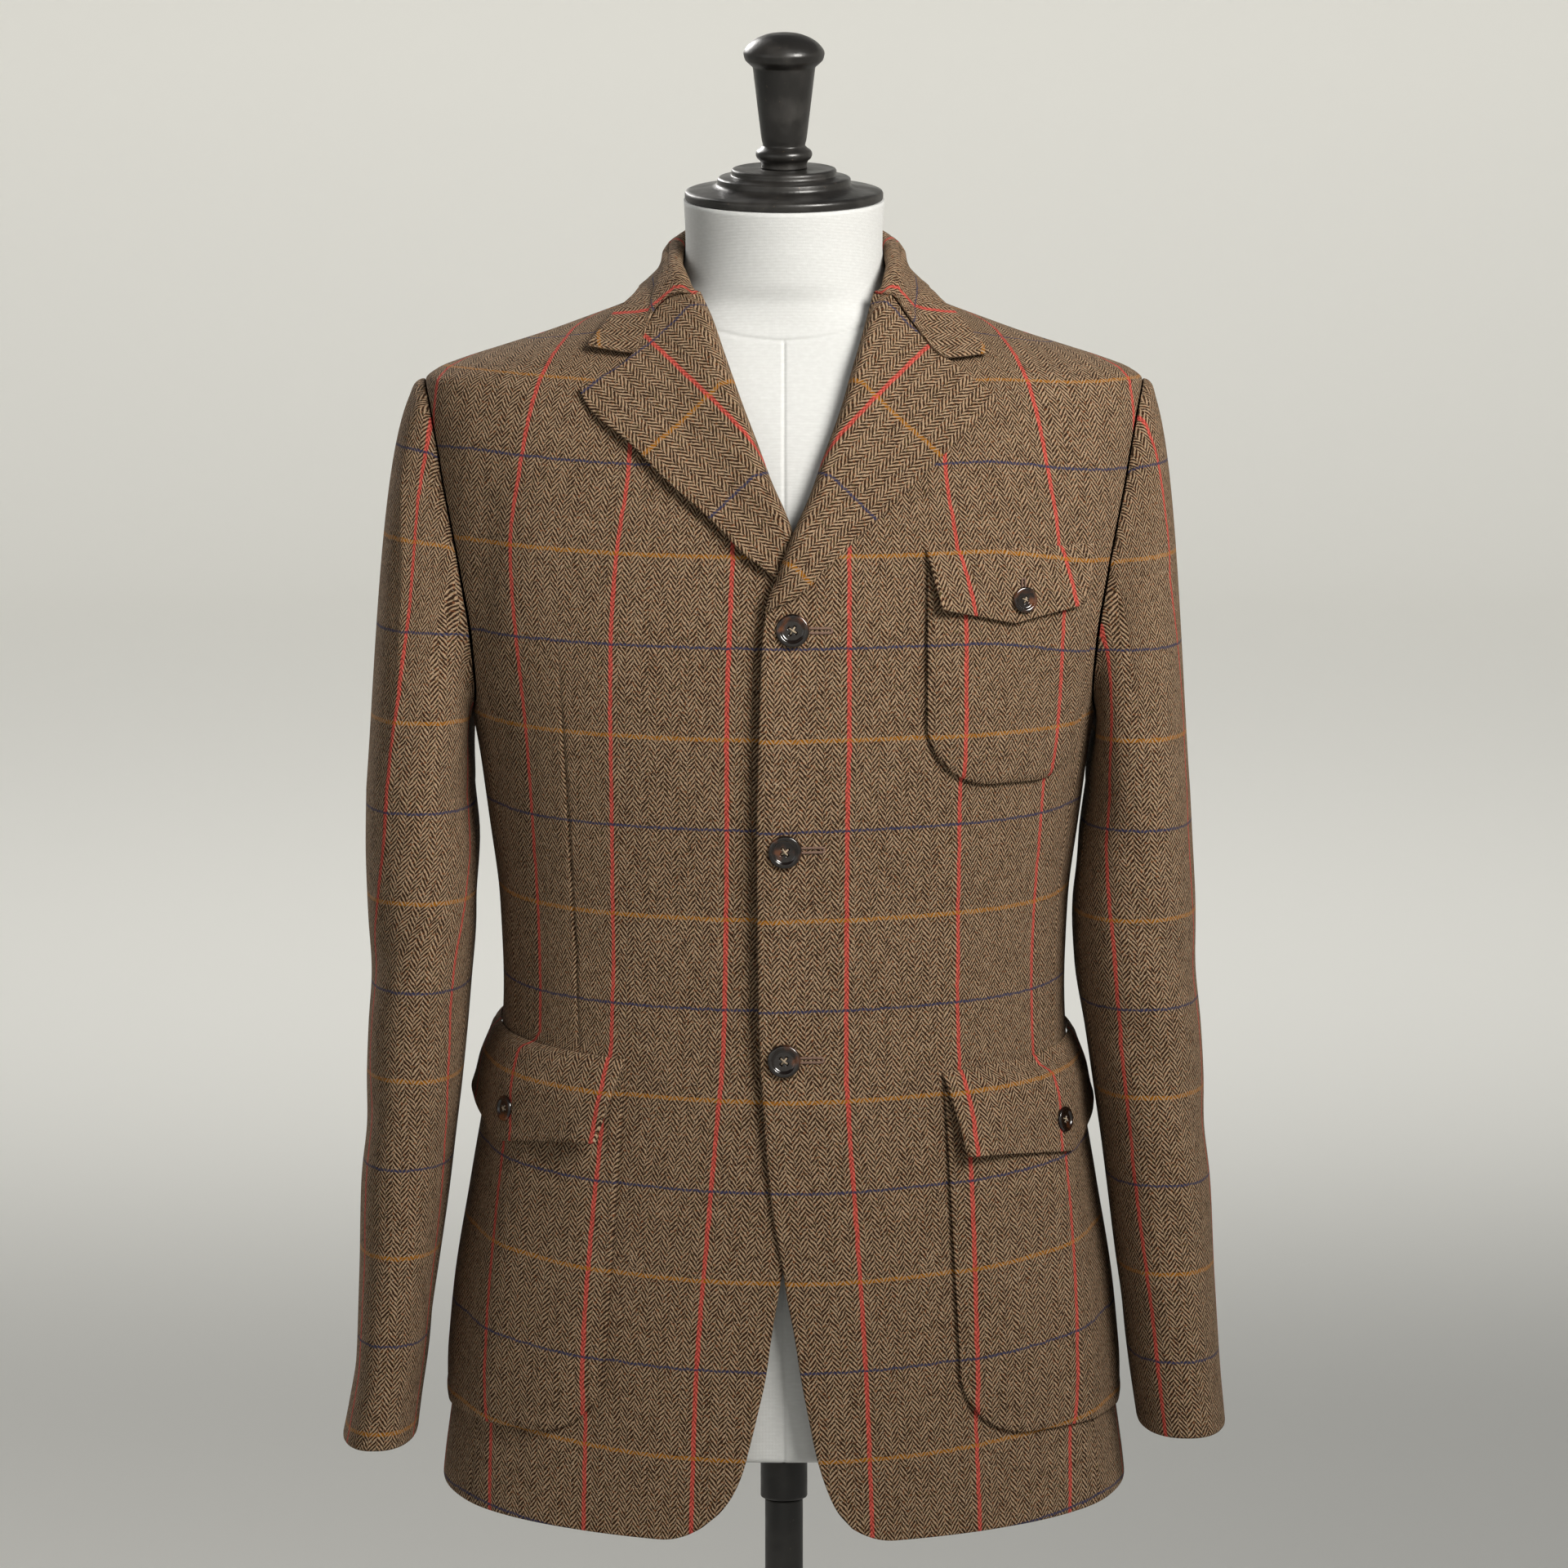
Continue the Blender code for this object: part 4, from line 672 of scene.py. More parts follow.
@dataclass
class ClothPiece:
    """One cut piece of cloth as a closed wall with a rounded rim.

    A kind of piece gives its outer face as points over (u, v), its place on the cloth, and how its four
    edges are finished; the wall and the rim are the same for all.
    """

    node: str
    side: Side
    columns: int
    rows: int
    flat: tuple[float, float]
    area: Optional[float] = None
    held: Hold = Hold.HUNG
    rests_on: tuple[str, ...] = ("form_torso",)
    edges: Edges = (SEWN_SEAM, SEWN_SEAM, HEMMED, SEWN_SEAM)
    facing: float = 1.0
    edge_share: tuple[float, float] = (0.030, 0.012)

    def surface(self, u: Array, v: Array) -> Array:
        """Outer face on the wearer's left, before mirroring."""
        raise NotImplementedError

    def grain(self, u: Array, v: Array) -> Array:
        """Metres across and up the cloth."""
        raise NotImplementedError

    def extra_columns(self) -> Array:
        """Further places across where the piece has fine form."""
        return np.zeros(0)

    def extra_relief(self, points: Array, u: Array, v: Array) -> Array:
        """Fine form of the piece itself, outwards."""
        return np.zeros(u.shape)

    def grid(self) -> tuple[Array, Array]:
        """The two parameters on the piece's grid of points."""
        across = np.unique(np.concatenate([crowded(self.columns, self.edge_share[0]), self.extra_columns()]))
        upward = crowded(self.rows, self.edge_share[1])
        return np.meshgrid(across, upward, indexing="ij")

    def sewn_share(self, u: Array) -> Array:
        """How far the first and last rows are sewn to a neighbour instead of free, 0 to 1."""
        return np.zeros(u.shape)

    def lip(self, u: Array) -> Array:
        """How far the lower half of the last row's rim reaches on beneath its neighbour."""
        return np.zeros(u.shape)

    def edge_relief(self, points: Array, u: Array) -> Array:
        """Relief of the four edge finishes, each by the distance walked from its edge.

        Where two edges meet at a corner the deeper drop holds, and the bands and grooves of both count.
        """
        across, upward = run_lengths(points, 0), run_lengths(points, 1)
        away = (across, across[-1:] - across, upward, upward[:, -1:] - upward)
        reliefs = np.stack([edge.relief(distance) for edge, distance in zip(self.edges, away)])
        sewn = self.sewn_share(u)
        for row in (2, 3):
            reliefs[row] = reliefs[row] * (1 - sewn) + GORGE_SEAM.relief(away[row]) * sewn
        lowered = np.minimum(reliefs, 0.0)
        return lowered.min(axis=0) + np.maximum(reliefs, 0.0).max(axis=0)

    def build(self, finish: bpy.types.Material) -> bpy.types.Object:
        """The inner face lies one thickness behind the outer one, less where an edge drops. Two loops between
        them, pushed away from the piece, round the rim.

        Args:
            finish: the cloth's material.

        Returns:
            The finished object.
        """
        u, v = self.grid()
        face = self.surface(u, v)
        normal = grid_normals(face, self.facing)
        relief = self.extra_relief(face, u, v) + self.edge_relief(face, u)
        outer = face + normal * relief[..., None]
        thin = np.minimum(CLOTH * THIN_MOST, np.maximum(-relief, 0.0) * THIN_SHARE)
        inner = face - normal * (CLOTH - thin)[..., None]
        columns, rows = u.shape
        count = columns * rows
        order = rim_order(columns, rows)
        flat_outer, flat_inner = outer.reshape(-1, 3), inner.reshape(-1, 3)
        away = past_rim(outer, order)
        lip = np.zeros(u.shape)
        lip[:, -1] = self.lip(u[:, -1])
        lip = lip.reshape(-1)[order][:, None]
        first, last = flat_outer[order], flat_inner[order]
        loops = [first * (1 - t) + last * t + away * (CLOTH * RIM_REACH + lip * share)
                 for t, share in RIM_LOOPS]
        points = np.concatenate([flat_outer, flat_inner, *loops]) * (self.side.value, 1, 1)
        cloth = self.grain(u, v)
        onward = past_rim(cloth, order) * CLOTH
        cloth = cloth.reshape(-1, 2)
        plane = np.concatenate([cloth, cloth, *(cloth[order] + share * onward for share in RIM_CLOTH)])
        chains = [order, 2 * count + np.arange(len(order)), 2 * count + len(order) + np.arange(len(order)),
                  count + order]
        bands = [np.stack([a, np.roll(a, -1), np.roll(b, -1), b], -1)[:, ::-1]
                 for a, b in zip(chains, chains[1:])]
        cells = quads(columns, rows)
        faces = np.concatenate([cells, cells[:, ::-1] + count, *bands])
        made = mesh_object(f"{self.node}_cloth", points, faces, plane)
        made.data.materials.append(finish)
        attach(made, BODY)
        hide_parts(self.node)
        LOG.info("%s: %d points, %d faces", made.name, len(points), len(faces))
        return made


# ---------------------------------------------------------------- body panels

BODY_ROWS = 15
CHEST_ROWS = 11
UNDERARM = BODY_ROWS / (BODY_ROWS + CHEST_ROWS)
FRONT_SIDE_TURN = 148.0
SIDE_BACK_TURN = 216.0
SEAM_FRONT = (0.33, 0.29)
SEAM_BACK = (-0.42, -0.36)


def panel_rise(v: Array) -> Array:
    """Share of the height below the armhole: a power of 1.35."""
    return np.clip(v, 0.0, 1.0) ** 1.35


def seam_angle(ends: tuple[float, float], top: Array, rise: Array) -> Array:
    """Angle of a side seam from the hem through the waist at six tenths to the armhole."""
    return monotone(np.array([0.0, 0.6, 1.0]), np.array([ends[0], ends[1], float(top)]), rise)


@dataclass
class FrontPanel(ClothPiece):
    """Front from its free edge to the side seam, hem to shoulder seam, with its dart."""

    corner_lift: float = 0.0092
    corner_width: float = 0.026
    neck_rows: float = 2 / CHEST_ROWS
    dart: tuple[Crease, ...] = ()

    @property
    def free_edge(self) -> Table:
        """x of the free edge and of the roll line by height."""
        return FREE_EDGES[self.side]

    def place(self, u: Array, v: Array) -> tuple[Array, Array, Array]:
        """Angle, height and x of each point.

        The angle runs evenly from the edge to the side seam or armhole. Below the armhole the height runs
        from the rounded hem upward; above it, evenly between the edge and the armhole.
        """
        rise = panel_rise(v / UNDERARM)
        chest = np.clip((v - UNDERARM) / (1 - UNDERARM), 0.0, 1.0)
        seam_top, seam_height = WORN.armhole_at(np.float64(FRONT_SIDE_TURN))
        side_angle, side_height = WORN.armhole_at(FRONT_SIDE_TURN * (1 - chest))
        outer = np.where(v < UNDERARM, seam_angle(SEAM_FRONT, seam_top, rise), side_angle)
        outer = outer + WORN.half_seam(outer, side_height)
        start = self.free_edge.column("height")[0]
        below = start + (seam_height - start) * rise
        rolled = np.clip(chest / (1 - self.neck_rows), 0.0, 1.0)
        above = seam_height + (WORN.neck_front - seam_height) * rolled
        edge_height = np.where(v < UNDERARM, below, above)
        edge_angle = WORN.angle_from_x(self.free_edge.read("x", edge_height), edge_height)
        neck = np.clip((chest - 1 + self.neck_rows) / self.neck_rows, 0.0, 1.0)
        edge_angle = edge_angle * (1 - neck)
        edge_height = edge_height + (WORN.neck_side - WORN.neck_front) * neck
        angle = edge_angle + (outer - edge_angle) * u
        x = WORN.radius(angle, edge_height) * np.cos(angle)
        first_x = self.free_edge.column("x")[0]
        corner = np.clip(1 - (x - first_x) / self.corner_width, 0.0, 1.0) ** 2
        hem = WORN.hem(angle) + self.corner_lift * corner
        low = hem + (seam_height - hem) * rise
        high = edge_height + (side_height - edge_height) * u
        height = np.where(v < UNDERARM, low, high)
        angle = np.where(v > TOP_ROW, WORN.half_seam(0.0 * u, height), angle)
        return angle, height, x

    def surface(self, u: Array, v: Array) -> Array:
        """Body surface, lifted over the lap and by the creases."""
        angle, height, x = self.place(u, v)
        out = body_relief(self.side, angle, height)
        arc = MAP.arc(angle, height)
        out = out + sum((seam.relief(arc, height) for seam in self.dart), np.zeros(u.shape))
        if self.side is Side.LEFT:
            out = out + WORN.lap(x, height)
        return WORN.out(angle, height, out)

    def grain(self, u: Array, v: Array) -> Array:
        """Matched to the other body pieces."""
        angle, height, _ = self.place(u, v)
        return body_grain(self.side, angle, height)

    def extra_columns(self) -> Array:
        """Close columns along the dart."""
        return np.linspace(0.695, 0.765, 30) if self.dart else np.zeros(0)


FREE_EDGES = {
    Side.LEFT: Table(("height", "x"), (
        (0.765, 0.0410), (0.776, 0.0320), (0.790, 0.0256), (0.808, 0.0200), (0.832, 0.0150),
        (0.859, 0.0100), (0.885, 0.0060), (0.906, 0.0020), (0.926, -0.0010), (0.960, -0.0070),
        (1.010, -0.0115), (1.075, -0.0150), (1.190, -0.0160), (1.240, -0.0150), (1.303, -0.0125),
        (1.323, -0.0090), (1.336, -0.0024), (1.359, 0.0070), (1.3865, 0.0193), (1.4095, 0.0275),
        (1.4357, 0.0373), (1.4586, 0.0442), (1.4810, 0.0510), (1.5030, 0.0570))),
    Side.RIGHT: Table(("height", "x"), (
        (0.762, 0.0490), (0.772, 0.0380), (0.783, 0.0305), (0.796, 0.0250), (0.811, 0.0210),
        (0.832, 0.0160), (0.855, 0.0110), (0.877, 0.0080), (0.902, 0.0040), (0.919, 0.0010),
        (0.960, -0.0070), (1.075, -0.0150), (1.190, -0.0160), (1.240, -0.0150), (1.303, -0.0125),
        (1.330, -0.0100), (1.345, -0.0070), (1.359, -0.0034), (1.375, 0.0024), (1.393, 0.0106),
        (1.416, 0.0193), (1.437, 0.0276), (1.4687, 0.0393), (1.488, 0.0462), (1.5030, 0.0530))),
}


@dataclass
class PlainPanel(ClothPiece):
    """Panel of the body that has its creases and nothing more."""

    def place(self, u: Array, v: Array) -> tuple[Array, Array]:
        """Angle and height of each point."""
        raise NotImplementedError

    def surface(self, u: Array, v: Array) -> Array:
        """Body surface with its creases."""
        angle, height = self.place(u, v)
        return WORN.out(angle, height, body_relief(self.side, angle, height))


@dataclass
class SidePanel(PlainPanel):
    """Side body from the front's seam to the back's seam, hem to armhole."""

    def place(self, u: Array, v: Array) -> tuple[Array, Array]:
        """Angle and height: both seams keep their own lines and the top follows the armhole."""
        v = panel_rise(v)
        turn = FRONT_SIDE_TURN + (SIDE_BACK_TURN - FRONT_SIDE_TURN) * u
        top_angle, top_height = WORN.armhole_at(turn)
        first, first_height = WORN.armhole_at(np.float64(FRONT_SIDE_TURN))
        last, last_height = WORN.armhole_at(np.float64(SIDE_BACK_TURN))
        front, back = seam_angle(SEAM_FRONT, first, v), seam_angle(SEAM_BACK, last, v)
        angle = front + (back - front) * (top_angle - first) / (last - first)
        angle = angle + (0.5 - u) * 2 * -SEAM / 2 / WORN.radius(angle, top_height)
        hem = WORN.hem(angle)
        straight = first_height * (1 - u) + last_height * u
        dip = (top_height - straight) * smooth_step(v, 0.5, 1.0)
        return angle, hem + (straight - hem) * v + dip

    def grain(self, u: Array, v: Array) -> Array:
        """Matched to the front."""
        return body_grain(self.side, *self.place(u, v))


@dataclass
class BackPanel(PlainPanel):
    """Back half from the side seam to the centre back, hem to shoulder seam."""

    neck_rows: float = 4 / CHEST_ROWS

    def place(self, u: Array, v: Array) -> tuple[Array, Array]:
        """Angle and height, built as the front's are."""
        rise = panel_rise(v / UNDERARM)
        chest = np.clip((v - UNDERARM) / (1 - UNDERARM), 0.0, 1.0)
        seam_top, seam_height = WORN.armhole_at(np.float64(SIDE_BACK_TURN))
        side_angle, side_height = WORN.armhole_at(SIDE_BACK_TURN + (360 - 1e-6 - SIDE_BACK_TURN) * chest)
        outer = np.where(v < UNDERARM, seam_angle(SEAM_BACK, seam_top, rise), side_angle)
        outer = outer - WORN.half_seam(outer, side_height)
        spine = np.clip(chest / (1 - self.neck_rows), 0.0, 1.0)
        neck = np.clip((chest - 1 + self.neck_rows) / self.neck_rows, 0.0, 1.0)
        centre_height = seam_height + (WORN.neck_back - seam_height) * spine
        centre_height = centre_height + (WORN.neck_side - WORN.neck_back) * neck
        half_gap = WORN.half_seam(-math.pi / 2 + 0.0 * u, centre_height)
        angle = outer + ((-math.pi / 2 + half_gap) * (1 - neck) - outer) * u
        hem = WORN.hem(angle)
        low = hem + (seam_height - hem) * rise
        high = side_height + (centre_height - side_height) * u
        height = np.where(v < UNDERARM, low, high)
        angle = np.where(v > TOP_ROW, -WORN.half_seam(0.0 * u, height), angle)
        return angle, height

    def grain(self, u: Array, v: Array) -> Array:
        angle, height = self.place(u, v)
        centre = MAP.arc(0.0 * angle - math.pi / 2, height)
        return np.stack([centre - MAP.arc(angle, height) - RED_REPEAT / 2,
                         MAP.rise(angle, height, ORANGE_LEVEL)], axis=-1)


# ---------------------------------------------------------------- sleeves

def outward(turn: Array) -> Array:
    """Level direction out of a sleeve at a turn in degrees."""
    wave = np.radians(turn)
    return np.stack([np.cos(wave), -np.sin(wave), 0.0 * turn], axis=-1)


@dataclass(frozen=True)
class SleeveForm:
    """One sleeve: rounded sections from cuff to biceps, and a cap that springs out of the armhole.

    red holds, by the run up from the cuff, how far round from the front its red stripe lies, and ridge the
    same for the pressed crease. orange_run is the first orange line's run up from the cuff.
    """

    sections: Table
    spring: float
    red: Table
    ridge: Optional[Table]
    orange_run: float
    folds: tuple[tuple[float, float, float, float, float], ...]
    fine_folds: tuple[tuple[float, float, float, float, float], ...]
    roundness: float = 2.35
    lean: float = 0.08
    arm_share: float = 12 / 21

    def size(self, name: str, height: Array | float) -> Array:
        """One size of the section at a height."""
        return self.sections.read(name, height)

    @property
    def cuff(self) -> float:
        """Height of the cuff."""
        return float(self.sections.column("height")[0])

    @property
    def biceps(self) -> float:
        """Height where the cap begins."""
        return float(self.sections.column("height")[-1])

    def ring(self, turn: Array, height: Array) -> Array:
        """Point of the rounded section at a height."""
        outer, inner = self.size("outer", height), self.size("inner", height)
        angle = np.radians(turn)
        radius = oval_radius(angle, (outer - inner) / 2, self.size("depth", height), self.roundness)
        x = (outer + inner) / 2 + radius * np.cos(angle)
        return np.stack([x, self.size("middle", height) - radius * np.sin(angle), height + 0.0 * x], -1)

    def ring_turn(self, turn: Array) -> Array:
        """Turn on the flat biceps section that a turn round the armhole leads to."""
        half = (self.size("outer", self.biceps) - self.size("inner", self.biceps)) / 2
        depth = self.size("depth", self.biceps)
        angle = np.radians(turn)
        return np.degrees(np.arctan2(np.sin(angle) * depth, np.cos(angle) * half))

    def hollow(self, turn: Array, height: Array) -> Array:
        """Depth of the soft hollows where the cloth breaks, each a bell tilted round the sleeve."""
        depth = np.zeros(turn.shape)
        for level, at, half_height, half_turn, deep in self.folds + self.fine_folds:
            away = np.mod(turn - at + 180, 360) - 180
            tilt = height - level - 0.00035 * away
            depth = depth + deep * np.exp(-(tilt / half_height) ** 2 - (away / half_turn) ** 2)
        return depth

    def surface(self, turn: Array, v: Array) -> Array:
        """Outer face over the turn in degrees and v from cuff to armhole.

        Up to the biceps it is the ring. The cap is a cubic Hermite line from the armhole, which it leaves
        springing outwards, to the biceps, where it arrives going down and a little out.
        """
        round_turn = self.ring_turn(turn)
        arm = np.clip(v / self.arm_share, 0.0, 1.0)
        height = self.cuff + (self.biceps - self.cuff) * arm
        ring = self.ring(round_turn, height)
        angle, top_height = WORN.armhole_at(turn)
        start = WORN.point(angle, top_height)
        end = self.ring(round_turn, self.biceps + 0.0 * turn)
        reach = np.linalg.norm(start - end, axis=-1, keepdims=True)
        wave = np.radians(turn)
        under = ((1 - np.cos(wave)) / 2) ** 3
        spring = np.stack([1.0 + 0.0 * turn, -0.25 * np.sin(wave), -0.25 - 0.6 * under], axis=-1)
        start = start + spring * SEAM * 1.2
        leave = spring * self.spring * reach
        arrive = np.stack([self.lean + 0.0 * turn, 0.0 * turn, -1.0 + 0.0 * turn], axis=-1) * reach
        t = 1 - np.clip((v - self.arm_share) / (1 - self.arm_share), 0.0, 1.0)[..., None]
        cap = ((2 * t**3 - 3 * t**2 + 1) * start + (t**3 - 2 * t**2 + t) * leave
               + (3 * t**2 - 2 * t**3) * end + (t**3 - t**2) * arrive)
        points = np.where((v <= self.arm_share)[..., None], ring, cap)
        return points - outward(turn) * self.hollow(turn, points[..., 2])[..., None]


class SleeveMap:
    """Distances walked over a sleeve: round from its front, and up from the cuff."""

    def __init__(self, form: SleeveForm) -> None:
        """Sum both walks.

        Args:
            form: the sleeve.
        """
        self.turns = np.linspace(-112.0, 252.0, 365)
        self.levels = np.linspace(0.0, 1.0, 201)
        turn, v = np.meshgrid(self.turns, self.levels, indexing="ij")
        grid = form.surface(turn, v)
        round_it = run_lengths(grid, 0)
        front = int(np.argmin(np.abs(self.turns - 90)))
        self.round_it = round_it - round_it[front:front + 1]
        self.upward = run_lengths(grid, 1)

    def read(self, grid: Array, turn: Array, v: Array) -> Array:
        """Value of one of the two walks."""
        return bilinear(grid, turn - self.turns[0], v * (len(self.levels) - 1))


SLEEVE_COLUMNS = ("height", "outer", "inner", "depth", "middle")
SLEEVE_BREAKS = (
    (1.105, 60, 0.020, 48, 0.0035), (1.050, 100, 0.018, 40, 0.0030), (1.000, 30, 0.022, 45, 0.0025),
    (0.930, 75, 0.024, 40, 0.0022), (1.080, 290, 0.024, 55, 0.0040), (1.010, 260, 0.022, 45, 0.0030))
SLEEVE_FORMS = {
    Side.LEFT: SleeveForm(
        sections=Table(SLEEVE_COLUMNS, (
            (0.8080, 0.2720, 0.2180, 0.060, -0.014), (0.8450, 0.2685, 0.2125, 0.062, -0.012),
            (0.9000, 0.2650, 0.2055, 0.065, -0.009), (0.9600, 0.2620, 0.1980, 0.068, -0.006),
            (1.0500, 0.2560, 0.1850, 0.073, -0.003), (1.0900, 0.2535, 0.1785, 0.075, -0.002),
            (1.1300, 0.2520, 0.1765, 0.077, -0.001), (1.1650, 0.2500, 0.1800, 0.078, 0.001),
            (1.2000, 0.2480, 0.1850, 0.079, 0.002))),
        spring=0.24,
        red=Table(("run", "arc"), (
            (0.0, 0.0135), (0.043, 0.0133), (0.103, 0.0153), (0.170, 0.0185), (0.240, 0.0178),
            (0.294, 0.0165), (0.387, 0.0260), (0.450, 0.0180), (0.523, 0.0105), (0.540, 0.0020),
            (0.565, -0.0060), (0.602, -0.0185), (0.640, -0.0260))),
        ridge=None,
        orange_run=0.1020,
        folds=SLEEVE_BREAKS,
        fine_folds=((1.170, 95, 0.012, 34, 0.0012), (0.870, 110, 0.016, 30, 0.0010),
                    (1.240, 70, 0.014, 30, 0.0009), (0.990, 120, 0.011, 26, 0.0010),
                    (1.150, 200, 0.020, 40, 0.0018), (0.900, 230, 0.020, 50, 0.0015))),
    Side.RIGHT: SleeveForm(
        sections=Table(SLEEVE_COLUMNS, (
            (0.8000, 0.2720, 0.2265, 0.060, -0.014), (0.8200, 0.2680, 0.2240, 0.061, -0.013),
            (0.8500, 0.2632, 0.2195, 0.062, -0.012), (0.9000, 0.2615, 0.2133, 0.065, -0.009),
            (0.9550, 0.2600, 0.2055, 0.068, -0.006), (1.0500, 0.2550, 0.1945, 0.073, -0.003),
            (1.0800, 0.2540, 0.1920, 0.075, -0.002), (1.1300, 0.2550, 0.1875, 0.077, -0.001),
            (1.1650, 0.2558, 0.1865, 0.078, 0.001), (1.2000, 0.2552, 0.1895, 0.079, 0.002))),
        spring=0.31,
        red=Table(("run", "arc"), (
            (0.0, -0.0290), (0.100, -0.0310), (0.190, -0.0360), (0.250, -0.0440), (0.298, -0.0430),
            (0.342, -0.0297), (0.375, -0.0219), (0.410, -0.0182), (0.453, -0.0196), (0.482, -0.0236),
            (0.517, -0.0313), (0.551, -0.0444), (0.586, -0.0629), (0.609, -0.0761), (0.635, -0.0955))),
        ridge=Table(("run", "arc"), (
            (0.300, -0.0480), (0.347, -0.0294), (0.379, -0.0215), (0.431, -0.0181), (0.468, -0.0228),
            (0.534, -0.0457), (0.574, -0.0708), (0.618, -0.1022))),
        orange_run=0.0106,
        folds=SLEEVE_BREAKS,
        fine_folds=((1.160, 100, 0.013, 32, 0.0012), (0.860, 95, 0.015, 34, 0.0010),
                    (1.225, 80, 0.014, 28, 0.0009), (0.975, 115, 0.012, 28, 0.0011),
                    (1.140, 205, 0.021, 38, 0.0018), (0.890, 225, 0.019, 52, 0.0015))),
}
SLEEVE_MAPS = {side: SleeveMap(form) for side, form in SLEEVE_FORMS.items()}
SLEEVE_ORANGE_SCALE = ORANGE_REPEAT / 0.1094
SLEEVE_FRONT = 90.0
SLEEVE_HANG = 80.0
RIDGE_LIFT = 0.0016
RIDGE_SPREAD = 0.0040
RIDGE_START = (0.30, 0.38)
RIDGE_END = (0.58, 0.62)
LIP = 0.0023
LIP_ENDS = (-0.75, -0.15)
LOW_BACK_LIP = 0.0007
LOW_BACK_TURN = 256
LOW_BACK_SPREAD = 14
GATHER_REACH = 0.016
GATHER_DEPTH = 0.00035
HEAD_TURN = 10
HEAD_ENDS = (70, 110)
HEAD_ROLL = 0.0010
HEAD_ROLL_BELOW = 0.006
HEAD_ROLL_SPREAD = 0.005


@dataclass
class SleevePiece(ClothPiece):
    """Top or under sleeve between two turns, cuff to armhole."""

    edges: Edges = SLEEVE_EDGES
    facing: float = -1.0
    first_turn: float = 0.0
    last_turn: float = 90.0

    def turn(self, u: Array) -> Array:
        """Turn in degrees of each column."""
        return self.first_turn + (self.last_turn - self.first_turn) * u

    def surface(self, u: Array, v: Array) -> Array:
        """The sleeve's outer face, with its pressed crease standing a little out."""
        form, turn = SLEEVE_FORMS[self.side], self.turn(u)
        points = form.surface(turn, v)
        if form.ridge is None:
            return points
        walks = SLEEVE_MAPS[self.side]
        arc, run = walks.read(walks.round_it, turn, v), walks.read(walks.upward, turn, v)
        away = (arc - form.ridge.read("arc", run)) / RIDGE_SPREAD
        fade = smooth_step(run, *RIDGE_START) * (1 - smooth_step(run, *RIDGE_END))
        lift = RIDGE_LIFT * np.exp(-np.abs(away) ** 1.5) * fade
        return points + outward(turn) * lift[..., None]

    def grain(self, u: Array, v: Array) -> Array:
        """Across from the red stripe, up from an orange line.

        Past the front of the sleeve the way round is walked no higher than the biceps. The stripes of the
        back hang straight, and the under sleeve has one along its middle.
        """
        form, walks, turn = SLEEVE_FORMS[self.side], SLEEVE_MAPS[self.side], self.turn(u)
        low = np.where(turn > SLEEVE_FRONT, np.minimum(v, form.arm_share), v)
        arc, run = walks.read(walks.round_it, turn, low), walks.read(walks.upward, turn, v)
        hang = smooth_step(-turn, 0.0, SLEEVE_HANG)
        red = form.red.read("arc", run) * (1 - hang) + form.red.read("arc", RIDGE_START[0]) * hang
        if self.first_turn > SLEEVE_FRONT:
            middle = (self.first_turn + self.last_turn) / 2
            red = walks.read(walks.round_it, middle + 0.0 * turn, low)
        return np.stack([red - arc, (run - form.orange_run) * SLEEVE_ORANGE_SCALE], axis=-1)

    def lip(self, u: Array) -> Array:
        """The seam's allowance reaches in beneath the front and the back."""
        turn = self.turn(u)
        wave = np.radians(turn)
        low_back = np.exp(-((np.mod(turn, 360.0) - LOW_BACK_TURN) / LOW_BACK_SPREAD) ** 2)
        reach = LIP * np.abs(np.sin(wave)) ** 1.2 + LOW_BACK_LIP * low_back
        return reach * smooth_step(np.cos(wave), *LIP_ENDS)

    def extra_relief(self, points: Array, u: Array, v: Array) -> Array:
        """Slight gathers of the sleeve head where it is eased into the armhole."""
        turn = self.turn(u)
        walks = SLEEVE_MAPS[self.side]
        run = walks.read(walks.upward, turn, v)
        top = walks.read(walks.upward, turn, 0.0 * v + 1)
        near = np.exp(-((top - run) / GATHER_REACH) ** 2)
        over = 1 - smooth_step(np.abs(np.mod(turn - HEAD_TURN + 180, 360) - 180), *HEAD_ENDS)
        wave = np.sin(np.radians(turn) * 17 + 0.7) + 0.6 * np.sin(np.radians(turn) * 29 + 2.1)
        roll = HEAD_ROLL * np.exp(-((top - run - HEAD_ROLL_BELOW) / HEAD_ROLL_SPREAD) ** 2) * over
        return near * over * GATHER_DEPTH * wave + roll


# ---------------------------------------------------------------- lapels

ROLL_WRAP = 0.0050
ROLL_OVERHANG = 0.0040
ROLL_CREST = 0.0045
TUCKED_CREST = (1.352, 1.385)
LAPEL_LIFT = {Side.LEFT: 0.0012, Side.RIGHT: 0.0030}
LAPEL_CROWDING = 1.4


